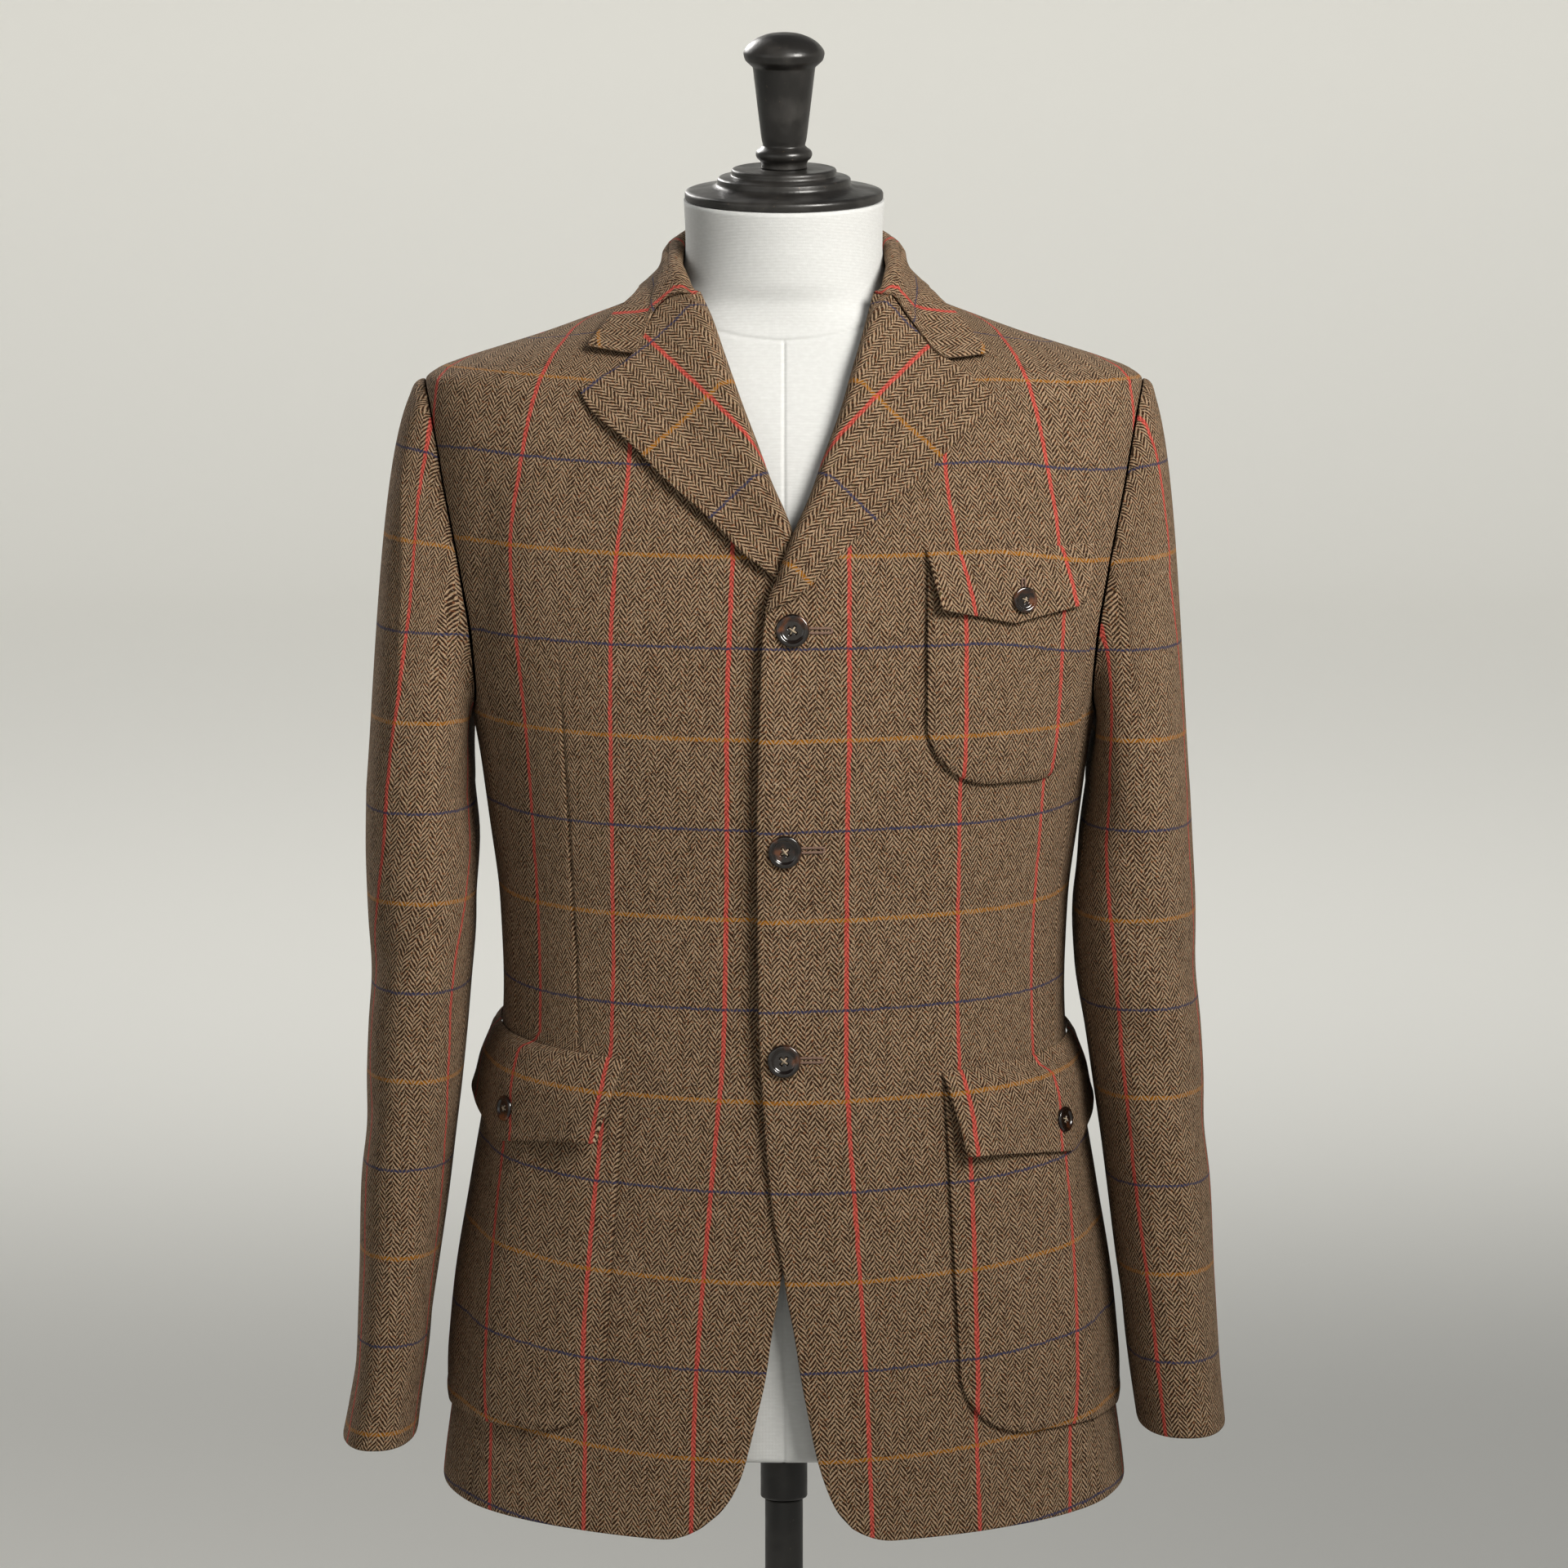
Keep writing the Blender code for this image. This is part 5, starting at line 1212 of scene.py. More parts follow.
def rolled_place(side: Side, place: Array, away: Array, width: Array) -> Array:
    """Point of a lapel's section: it wraps round the front's edge, crests and then lies flat.

    Args:
        side: the wearer's side.
        place: x and height where it would lie flat.
        away: distance from the roll line.
        width: width of the lapel there.

    Returns:
        Points on the wearer's left.
    """
    wrap = np.clip(1 - away / ROLL_WRAP, 0.0, 1.0)
    crest = ROLL_CREST * np.clip(width / 0.020, 0.0, 1.0) * np.exp(-((away - ROLL_WRAP) / 0.020) ** 2)
    if side is Side.RIGHT:
        crest = crest * smooth_step(place[..., 1], *TUCKED_CREST)
    lie = (LIE + 0.0008) * (0.30 + 0.70 * smooth_step(width, 0.002, 0.022))
    raised = smooth_step(away / np.maximum(width, 0.001), 0.45, 1.0) * smooth_step(width, 0.010, 0.030)
    lie = lie + LAPEL_LIFT[side] * raised * (1 - smooth_step(place[..., 1], 1.415, 1.440))
    out = (lie + crest) * (1 - 0.95 * wrap**2)
    overhang = ROLL_OVERHANG * (0.2 + 0.8 * smooth_step(width, 0.002, 0.030))
    x = place[..., 0] - overhang * np.sqrt(np.clip(1 - (1 - wrap) ** 2, 0.0, 1.0))
    height = place[..., 1]
    lift = WORN.lap(x, height) if side is Side.LEFT else 0.0 * x
    return WORN.out(WORN.angle_from_x(x, height), height, out + lift)


@dataclass(frozen=True)
class LapelCut:
    """Outline of a lapel, and the place and turn of its check.

    gorge runs from the roll line outwards along the collar seam and the notch, outline from the lower end
    up to the tip. cross is where a red and an orange stripe meet, and red_way the red stripe's direction
    there, out and up.
    """

    gorge: tuple[tuple[float, float], ...]
    outline: tuple[tuple[float, float], ...]
    roll_start: float
    cross: tuple[float, float]
    red_way: tuple[float, float]

    def roll(self, side: Side, v: Array) -> Array:
        """x and height along the roll line."""
        height = self.roll_start + (WORN.neck_front - self.roll_start) * v
        return np.stack([FREE_EDGES[side].read("x", height), height], axis=-1)


LAPEL_CUTS = {
    Side.LEFT: LapelCut(
        gorge=((0.0570, 1.5030), (0.0720, 1.4860), (0.0985, 1.4625), (0.1270, 1.4413)),
        outline=((-0.0075, 1.3188), (-0.0002, 1.3215), (0.0130, 1.3290), (0.0242, 1.3410),
                 (0.0576, 1.3740), (0.0785, 1.3937), (0.1036, 1.4180), (0.1164, 1.4305),
                 (0.1270, 1.4413)),
        roll_start=1.3170, cross=(0.0548, 1.4406), red_way=(0.690, 0.724)),
    Side.RIGHT: LapelCut(
        gorge=((0.0530, 1.5030), (0.0740, 1.4910), (0.0907, 1.4654), (0.1215, 1.4460)),
        outline=((-0.0020, 1.3330), (0.0060, 1.3385), (0.0226, 1.3506), (0.0424, 1.3705),
                 (0.0691, 1.3937), (0.0893, 1.4137), (0.1165, 1.4370), (0.1215, 1.4460)),
        roll_start=1.3490, cross=(0.0437, 1.4420), red_way=(0.690, 0.724)),
}


@dataclass
class Lapel(ClothPiece):
    """Lapel from the roll line to its outer edge, lower end to gorge."""

    def flat_place(self, u: Array, v: Array) -> tuple[Array, Array]:
        """x and height of each point laid flat, and the lapel's width there.

        The patch between the roll line, the outline, the lower end and the gorge is a Coons patch.
        """
        cut, side = LAPEL_CUTS[self.side], self.side
        outline, gorge = np.array(cut.outline), np.array(cut.gorge)
        u = u**LAPEL_CROWDING
        flat_u, flat_v = u[..., None], v[..., None]
        first, last = 0.0 * v, 0.0 * v + 1
        low = cut.roll(side, first) + (along(outline, first) - cut.roll(side, first)) * flat_u
        high = along(gorge, u)
        sides = cut.roll(side, v) * (1 - flat_u) + along(outline, v) * flat_u
        ends = low * (1 - flat_v) + high * flat_v
        corners = ((cut.roll(side, first) * (1 - flat_v) + cut.roll(side, last) * flat_v) * (1 - flat_u)
                   + (along(outline, first) * (1 - flat_v) + along(outline, last) * flat_v) * flat_u)
        place = sides + ends - corners - np.stack([0.0 * v, SEAM * v], axis=-1)
        return place, np.linalg.norm(along(outline, v) - cut.roll(side, v), axis=-1)

    def surface(self, u: Array, v: Array) -> Array:
        """The lapel as it is rolled over the front."""
        place, width = self.flat_place(u, v)
        return rolled_place(self.side, place, width * u**LAPEL_CROWDING, width)

    def grain(self, u: Array, v: Array) -> Array:
        """The cloth is turned about the place where a red and an orange stripe cross."""
        cut = LAPEL_CUTS[self.side]
        place, _ = self.flat_place(u, v)
        angle = WORN.angle_from_x(place[..., 0], place[..., 1])
        flat = np.stack([MAP.arc(angle, place[..., 1]), MAP.rise(angle, place[..., 1], ORANGE_LEVEL)], -1)
        walked = run_lengths(self.surface(u, v), 0)
        from_edge = flat - flat[-1:]
        straight = np.linalg.norm(from_edge, axis=-1)
        stretch = np.where(straight > 1e-4, (walked[-1:] - walked) / np.maximum(straight, 1e-4), 1.0)
        flat = flat[-1:] + from_edge * stretch[..., None]
        x, z = np.array(cut.cross)
        middle = WORN.angle_from_x(x, z)
        out = flat[..., 0] - MAP.arc(middle, z)
        rise = flat[..., 1] - MAP.rise(middle, z, ORANGE_LEVEL)
        way, up = cut.red_way
        return np.stack([out * up - rise * way, out * way + rise * up], axis=-1)

    def extra_columns(self) -> Array:
        """Close columns round the fold."""
        return np.linspace(0.0, 0.30, 34)

    def sewn_share(self, u: Array) -> Array:
        """The end is sewn to the collar as far as the notch."""
        return 1 - smooth_step(u, 0.69, 0.73)


# ---------------------------------------------------------------- collar

@dataclass
class Collar(ClothPiece):
    """Collar from the wearer's right gorge round the back neck to the left gorge.

    Across, it runs from the neck seam up the stand, round the fold and down the fall to its free edge.
    """

    fold: Table = Table(("turn", "x", "y", "height"), (
        (0.00, 0.0000, 0.0710, 1.5480), (0.20, 0.0290, 0.0645, 1.5455), (0.40, 0.0530, 0.0420, 1.5380),
        (0.60, 0.0653, 0.0080, 1.5290), (0.75, 0.0655, -0.0220, 1.5220), (0.88, 0.0610, -0.0430, 1.5150),
        (1.00, 0.0560, -0.0590, 1.5050)))
    free: Table = Table(("turn", "angle", "height"), (
        (0.00, -1.5708, 1.5020), (0.20, -1.0500, 1.5000), (0.40, -0.5200, 1.4970),
        (0.60, 0.0000, 1.5000), (0.73, 0.2000, 1.4972), (0.81, 0.3040, 1.4911),
        (0.88, 0.3650, 1.4845), (0.94, 0.4100, 1.4770), (1.00, 0.4550, 1.4675)))
    fold_radius: float = 0.0028
    swell: tuple[float, float] = (0.0030, -0.0035)
    tips: tuple[tuple[float, float], tuple[float, float]] = ((0.1217, 1.4641), (0.1168, 1.4682))
    gaps: tuple[tuple[float, float], tuple[float, float]] = ((0.0002, -0.0002), (0.0002, -0.0002))
    tight: tuple[tuple[float, float], ...] = ((0.0004, -0.0012), (0.0006, -0.0010), (0.0, 0.0))
    red_at: float = 0.137
    level: float = 0.0295

    def end(self, side: Side, u: Array) -> Array:
        """Front end: round the fold, along the gorge to the notch, then to the collar's tip."""
        index = 0 if side is Side.LEFT else 1
        gorge = np.array(LAPEL_CUTS[side].gorge)
        line = np.vstack([gorge[:3] + self.gaps[index] + np.array(self.tight), self.tips[index]])
        width = np.linalg.norm(np.diff(line, axis=0), axis=1).sum()
        away = np.where(u < 0.5, ROLL_WRAP * u * 2, ROLL_WRAP + (width - ROLL_WRAP) * (u - 0.5) * 2)
        return rolled_place(side, along(line, away / width), away, width + 0.0 * u)

    def section(self, u: Array, turn: Array) -> tuple[Array, Array, Array, Array]:
        """Stand and fold, top of the fall, free edge, and the way out of the body, before the end's fit."""
        fold = np.stack([self.fold.read(name, turn) for name in ("x", "y", "height")], axis=-1)
        edge = WORN.out(self.free.read("angle", turn), self.free.read("height", turn), LIE + 0.0006)
        outward = unit(fold * (1, 1, 0))
        upward = np.array([0.0, 0.0, 1.0])
        radius = self.fold_radius
        seam_angle = np.arctan2(-fold[..., 1], fold[..., 0])
        behind = np.clip(-seam_angle / (math.pi / 2), 0.0, 1.0)
        seam_height = WORN.neck_side + (WORN.neck_back - WORN.neck_side) * behind + 0.0016
        seam = WORN.out(seam_angle, seam_height, -CLOTH * 0.9)
        stand_share = np.clip(u / 0.25, 0.0, 1.0)[..., None]
        stand = seam + (fold - (outward + upward) * radius - seam) * stand_share
        bend = np.clip((u - 0.25) / 0.25, 0.0, 1.0)[..., None] * math.pi
        folded = fold - upward * radius + radius * (upward * np.sin(bend) - outward * np.cos(bend))
        roll = np.where((u < 0.25)[..., None], stand, folded)
        return roll, fold + (outward - upward) * radius, edge, outward

    def half(self, side: Side, u: Array, turn: Array) -> Array:
        """Half of the collar: stand, fold and fall over u, centre back to front over turn.

        Towards the front each section is moved by what its end still lacks, so that it meets the lapel.
        """
        roll, fall_top, edge, outward = self.section(u, turn)
        end_roll, end_top, end_edge, _ = self.section(u, 0.0 * turn + 1)
        share = np.clip((u - 0.5) / 0.5, 0.0, 1.0)[..., None]
        last = self.end(side, u)
        last_top, last_edge = self.end(side, 0.0 * u + 0.5), self.end(side, 0.0 * u + 1)
        bowed = np.where((u < 0.5)[..., None], 0.0, last - last_top * (1 - share) - last_edge * share)
        front = smooth_step(turn, 0.50, 1.0)[..., None]
        closing = smooth_step(turn, 0.70, 1.0)[..., None]
        edge = edge + (last_edge - end_edge) * front
        fall_top = fall_top + (last_top - end_top) * closing
        bulge = self.swell[0] + (self.swell[1] - self.swell[0]) * smooth_step(turn, 0.1, 0.5)
        fall = fall_top * (1 - share) + edge * share + bowed * front
        fall = fall + outward * np.sin(math.pi * share) * bulge[..., None] * (1 - front)
        fall = self.clear(fall, LIE + 0.0005)
        roll = roll + (last - end_roll) * closing
        return np.where((u < 0.5)[..., None], roll, fall) * (side.value, 1, 1)

    @staticmethod
    def clear(points: Array, out: float) -> Array:
        """Points moved outwards until they are a distance off the body."""
        for _ in range(4):
            angle = np.arctan2(-points[..., 1], points[..., 0])
            normal = WORN.normal(angle, points[..., 2])
            gap = ((points - WORN.point(angle, points[..., 2])) * normal).sum(axis=-1)
            points = points + normal * np.clip(out - gap, 0.0, None)[..., None]
        return points

    def surface(self, u: Array, v: Array) -> Array:
        """Both halves, joined at the centre back."""
        turn = np.abs(2 * v - 1)
        left, right = self.half(Side.LEFT, u, turn), self.half(Side.RIGHT, u, turn)
        return np.where((v > 0.5)[..., None], left, right)

    def grain(self, u: Array, v: Array) -> Array:
        """Across runs along the collar from its red stripe, up from the fold to the free edge.

        Both are walked on the surface: along each row from a line near the centre back, which makes the
        stripe slant back from the fold to the free edge, and down the fall.
        """
        points = self.surface(u, v)
        middle, behind = (int(np.argmin(np.abs(v[0] - share))) for share in (0.5, 0.6))
        crest = int(np.argmin(np.abs(u[:, 0] - 0.375)))
        walked = run_lengths(points, 1)
        walked = walked - walked[:, middle:middle + 1]
        down = run_lengths(points, 0)
        return np.stack([np.abs(walked) - walked[:, behind:behind + 1] - self.red_at,
                         self.level + down - down[crest:crest + 1]], axis=-1)

    def sewn_share(self, u: Array) -> Array:
        """Both ends are sewn to the lapels as far as the notch."""
        return 1 - smooth_step(u, 0.825, 0.865)

    def grid(self) -> tuple[Array, Array]:
        """Close columns round the fold and at the free edge."""
        across = np.unique(np.concatenate([
            np.linspace(0.0, 0.25, 12), np.linspace(0.25, 0.52, 26), np.linspace(0.52, 0.96, 40),
            1 - 0.04 * np.array([1.0, 0.75, 0.5, 0.3, 0.15, 0.06, 0.0])]))
        return np.meshgrid(across, crowded(self.rows, 0.010), indexing="ij")


# ---------------------------------------------------------------- patch pockets and flaps

def close_ends(u: Array) -> Array:
    """Column places drawn together towards both ends."""
    return u - 0.6 * np.sin(2 * math.pi * u) / (2 * math.pi)


def rounded_end(share: Array, corner: float) -> Array:
    """How far a lower edge is drawn up at a rounded corner: 0 in the middle, 1 at the end."""
    near = np.clip(1 - np.minimum(share, 1 - share) / corner, 0.0, 1.0)
    return 1 - np.sqrt(np.clip(1 - near**2, 0.0, 1.0))


@dataclass
class PatchPocket(ClothPiece):
    """Patch pocket with rounded lower corners, standing off the front between its sewn edges.

    Its swell grows over swell_width from the edges and is held in by mouth_hold from mouth up.
    """

    x_top: float = 0.0
    x_bottom: float = 0.0
    width: float = 0.178
    top: float = 1.0
    slope: float = 0.010
    bottom: float = 0.8
    corner: float = 0.042
    puff: float = 0.0040
    swell_width: float = 0.14
    mouth: float = 0.85
    mouth_hold: float = 0.6

    def place(self, u: Array, v: Array) -> tuple[Array, Array]:
        """Angle and height of each point."""
        u = close_ends(u)
        low = self.bottom + rounded_end(u, self.corner / self.width) * self.corner * 0.95
        height = low + (self.top + self.slope * u - low) * v
        share = (height - self.bottom) / (self.top - self.bottom)
        x = self.x_bottom + (self.x_top - self.x_bottom) * share
        return WORN.angle_at_arc(x, u * self.width, height), height

    def surface(self, u: Array, v: Array) -> Array:
        """The front's surface plus the pocket's wall and its swell."""
        angle, height = self.place(u, v)
        spread = close_ends(u)
        across = np.clip(np.minimum(spread, 1 - spread) / self.swell_width, 0.0, 1.0)
        upward = np.clip(v / self.swell_width, 0.0, 1.0)
        swell = self.puff * (np.sin(across * math.pi / 2) * np.sin(upward * math.pi / 2)) ** 0.7
        swell = swell * (1 - self.mouth_hold * smooth_step(v, self.mouth, 1.0))
        return WORN.out(angle, height, LIE + swell + body_relief(self.side, angle, height))

    def grain(self, u: Array, v: Array) -> Array:
        """Matched to the front that it is sewn on."""
        return body_grain(self.side, *self.place(u, v))


@dataclass
class Flap(ClothPiece):
    """Pocket flap: sewn along its top, free below, with a shallow point in the middle.

    It steps over the pocket's mouth in two smooth steps, each a share and the drop at which it ends.
    """

    edges: Edges = FLAP_EDGES
    x: float = 0.0945
    width: float = 0.182
    top: float = 1.0
    slope: float = 0.01
    ends: float = 0.05
    point: float = 0.057
    slant: tuple[float, float] = (0.010, 0.010)
    front_lift: float = 0.004
    far_lift: float = 0.002
    pocket_puff: float = 0.004
    skew: float = 0.0
    curve: float = 1.3
    far_shift: tuple[float, float] = (0.0, 0.0)
    over_steps: tuple[tuple[float, float], ...] = ((0.30, 0.008), (0.70, 0.032))
    lift_widths: tuple[float, float] = (0.18, 0.22)

    def place(self, u: Array, v: Array) -> tuple[Array, Array, Array]:
        """Angle, height and drop below the sewn edge of each point."""
        u = close_ends(u)
        middle = np.clip(1 - np.abs(u - 0.5) / 0.5, 0.0, 1.0) ** self.curve
        drop = (self.ends + (self.point - self.ends) * middle) * (1 - v)
        height = self.top + self.slope * u - drop + rounded_end(u, 0.025) * 0.0015 * (1 - v)
        x = self.x + (1 - v) * (self.slant[0] * (1 - u) - self.slant[1] * u)
        return WORN.angle_at_arc(x, u * self.width, height), height, drop

    def surface(self, u: Array, v: Array) -> Array:
        """The front's surface, stepping over the pocket's mouth and lifting at the free corners."""
        angle, height, drop = self.place(u, v)
        spread = close_ends(u)
        over = sum(share * smooth_step(drop, 0.0, end) for share, end in self.over_steps)
        over = over * (LIE + FLAP_CLEAR + self.pocket_puff)
        splay = (1 - v) ** 1.5 * (self.front_lift * np.exp(-((spread / self.lift_widths[0]) ** 2))
                                  + self.far_lift * np.exp(-(((1 - spread) / self.lift_widths[1]) ** 2)))
        rest = REST * (1.3 + 0.7 * smooth_step(drop, 0.0, 0.006))
        out = CLOTH + rest + over + splay + body_relief(self.side, angle, height)
        return WORN.out(angle, height, out)

    def grain(self, u: Array, v: Array) -> Array:
        """Matched to the front; skew leans the stripes away from the edge on their way down.

        far_shift moves the stripes of the far half: at the sewn edge and at the free one.
        """
        angle, height, _ = self.place(u, v)
        far = (self.far_shift[0] * v + self.far_shift[1] * (1 - v)) * smooth_step(u, 0.15, 0.65)
        return body_grain(self.side, angle, height) - np.stack([self.skew * (1 - v) + far, 0.0 * v], axis=-1)


# ---------------------------------------------------------------- turned and swept pieces

def closed_rings(name: str, rings: Array, finish: bpy.types.Material) -> bpy.types.Object:
    """Closed mesh through rings of points whose first and last rings shrink to a pole each.

    Args:
        name: the object's name.
        rings: (rings, points in a ring, 3).
        finish: its material.

    Returns:
        The object, riding on the part's body.
    """
    count, steps = rings.shape[0], rings.shape[1]
    middle = rings[1:-1].reshape(-1, 3)
    points = np.concatenate([rings[:1, 0], middle, rings[-1:, 0]])
    number = 1 + np.arange((count - 2) * steps).reshape(count - 2, steps)
    after = np.roll(number, -1, axis=1)
    cells = np.stack([number[:-1], after[:-1], after[1:], number[1:]], axis=-1).reshape(-1, 4)
    first = np.stack([np.zeros(steps, dtype=int), after[0], number[0]], axis=-1)
    last = np.stack([np.full(steps, len(points) - 1), number[-1], after[-1]], axis=-1)
    fans = np.concatenate([first, last])
    if faces_inwards(points, cells):
        cells, fans = cells[:, ::-1], fans[:, ::-1]
    mesh = bpy.data.meshes.new(name)
    mesh.from_pydata(points.tolist(), [], cells.tolist() + fans.tolist())
    mesh.shade_smooth()
    mesh.materials.append(finish)
    made = linked(name, mesh)
    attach(made, BODY)
    LOG.info("%s: %d points", name, len(points))
    return made


def turned_rings(profile: Array, steps: int) -> Array:
    """Rings of a profile of (radius, height) turned about the Z axis."""
    angle = np.linspace(0.0, 2 * math.pi, steps, endpoint=False)
    radius, height = profile[:, :1], profile[:, 1:]
    return np.stack([radius * np.cos(angle), radius * np.sin(angle), height + 0.0 * angle], axis=-1)


def tube_rings(line: Array, radius: Array, up: Array, steps: int = 10) -> Array:
    """Rings round a line, with a pole at both ends.

    Args:
        line: points of the middle line.
        radius: radius at each of them.
        up: direction that no step of the line follows.
        steps: points in a ring.

    Returns:
        Rings for closed_rings.
    """
    way = unit(np.gradient(line, axis=0))
    side = unit(np.cross(way, up))
    top = np.cross(side, way)
    angle = np.linspace(0.0, 2 * math.pi, steps, endpoint=False)
    ring = (side[:, None] * np.cos(angle)[None, :, None] + top[:, None] * np.sin(angle)[None, :, None])
    rings = line[:, None] + ring * radius[:, None, None]
    pole = np.ones((1, steps, 1))
    return np.concatenate([line[:1, None] * pole, rings, line[-1:, None] * pole])


def frame_at(point: Array, facing: Array) -> Callable[[Array], Array]:
    """Places local points so that local +Z faces a given way and local +Y stays as upright as it can."""
    upright = np.array([0.0, 0.0, 1.0])
    local_y = unit(upright - facing * facing[2])
    local_x = np.cross(local_y, facing)
    turn = np.stack([local_x, local_y, facing])
    return lambda local: local @ turn + point


# ---------------------------------------------------------------- buttons and buttonholes

@dataclass(frozen=True)
class Button:
    """Four-hole horn button with a sunk middle and a rounded rim, held by its thread.

    ground is how far the cloth under it stands off the body surface, and shank how far the button stands
    off the cloth. The sizes below shank are shares of the radius, ground_level one of the thickness.
    """

    node: str
    side: Side
    x: float
    height: float
    radius: float
    ground: float
    turn: float = 0.0
    shank: float = 0.0009
    thick: float = 0.34
    ground_level: float = 0.60
    hole_place: float = 0.235
    hole_edge: tuple[float, float] = (0.055, 0.115)
    hole_depth: float = 0.15
    strand: float = 0.055
    stem: float = 0.16

    def place(self) -> tuple[Array, Array]:
        """Point of the button's back and the way it faces."""
        angle = WORN.angle_from_x(np.float64(self.x), np.float64(self.height))
        level = np.float64(self.height)
        mirror = (self.side.value, 1, 1)
        point = WORN.out(angle, level, self.ground + self.shank) * mirror
        return point, WORN.normal(angle, level) * mirror

    def profile(self) -> Array:
        """Radius and height from the middle of the face over the rim to the middle of the back."""
        knots = np.array([(0.0, 0.62), (0.30, 0.60), (0.56, 0.62), (0.66, 0.74), (0.74, 0.94), (0.83, 1.0),
                          (0.92, 0.95), (0.975, 0.78), (1.0, 0.50), (0.975, 0.30), (0.88, 0.12),
                          (0.60, 0.0), (0.0, 0.0)])
        return along(knots * (self.radius, self.radius * self.thick), np.linspace(0.0, 1.0, 72))

    def build(self, horn: bpy.types.Material, thread: bpy.types.Material) -> None:
        """Make the button and the thread in its holes.

        Each hole is a round dimple in the face, with level ground and a rounded lip.
        """
        point, facing = self.place()
        put = frame_at(point, facing)
        rings = turned_rings(self.profile(), 80)
        spin = math.radians(45 + self.turn)
        spots = self.radius * self.hole_place * np.array(
            [(math.cos(spin + k * math.pi / 2), math.sin(spin + k * math.pi / 2)) for k in range(4)])
        front = np.arange(rings.shape[0])[:, None] < 32
        away = np.linalg.norm(rings[..., None, :2] - spots, axis=-1).min(axis=-1)
        lip, edge = (self.radius * share for share in self.hole_edge)
        sink = self.radius * self.hole_depth * (1 - smooth_step(away, lip, edge))
        rings = rings - np.array([0.0, 0.0, 1.0]) * (sink * front)[..., None]
        made = closed_rings(f"{self.node}_horn", put(rings), horn)
        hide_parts(self.node)
        face = self.radius * self.thick * self.ground_level
        for number, (start, end) in enumerate(((0, 2), (1, 3))):
            share = np.linspace(0.0, 1.0, 15)[:, None]
            flat = spots[start] * (1 - share) + spots[end] * share
            bow = face + self.radius * ((0.11 + 0.07 * number) * np.sin(math.pi * share) - 0.07)
            strand = put(np.concatenate([flat, bow], axis=1))
            size = np.full(15, self.radius * self.strand)
            closed_rings(f"{self.node}_thread_{number + 1}", tube_rings(strand, size, facing), thread)
        stem = put(np.array([(0.0, 0.0, -self.shank - 0.0004), (0.0, 0.0, 0.0), (0.0, 0.0, 0.0004)]))
        size = np.full(3, self.radius * self.stem)
        closed_rings(f"{self.node}_stem", tube_rings(stem, size, np.array([1.0, 0.0, 0.0])), thread)


@dataclass(frozen=True)
class Buttonhole:
    """Slit bound with close stitches, lying on the cloth from one place to another.

    ground is how far the cloth under it stands off the body surface.
    """

    name: str
    side: Side
    start: tuple[float, float]
    end: tuple[float, float]
    ground: float
    half_width: float = 0.00135
    bead: float = 0.00095
    pitch: float = 0.00085

    def build(self, thread: bpy.types.Material) -> None:
        """Make the bound ring: a bead round the slit whose size ripples from stitch to stitch."""
        start, end = np.array(self.start), np.array(self.end)
        length = float(np.linalg.norm(end - start))
        way = (end - start) / length
        out = np.array([-way[1], way[0]])
        total = 2 * length + 2 * math.pi * self.half_width
        walked = np.linspace(0.0, total, 260)
        bend = math.pi * self.half_width
        first = np.clip(walked / length, 0, 1)
        turn_a = np.clip((walked - length) / bend, 0, 1) * math.pi
        back = np.clip((walked - length - bend) / length, 0, 1)
        turn_b = np.clip((walked - 2 * length - bend) / bend, 0, 1) * math.pi
        lengthwise = (first - back) * length + self.half_width * (np.sin(turn_a) - np.sin(turn_b))
        sideways = self.half_width * np.where(walked < length + bend, np.cos(turn_a), -np.cos(turn_b))
        flat = start + way * lengthwise[:, None] + out * sideways[:, None]
        x, height = flat[:, 0], flat[:, 1]
        angle = WORN.angle_from_x(x, height)
        lap = WORN.lap(x, height) if self.name.startswith("front") else 0.0 * x
        line = WORN.out(angle, height, self.ground + lap + self.bead * 0.35) * (self.side.value, 1, 1)
        ripple = self.bead * (0.86 + 0.14 * np.cos(2 * math.pi * walked / self.pitch))
        facing = WORN.normal(angle[:1], height[:1])[0] * (self.side.value, 1, 1)
        made = closed_rings(self.name, tube_rings(line, ripple, facing, 8), thread)


# ---------------------------------------------------------------- dress form and stand

NECK_TOP = 1.5570
NECK_PLACE = (0.0, -0.0040, NECK_TOP)
NECK_LEAN = math.radians(6)


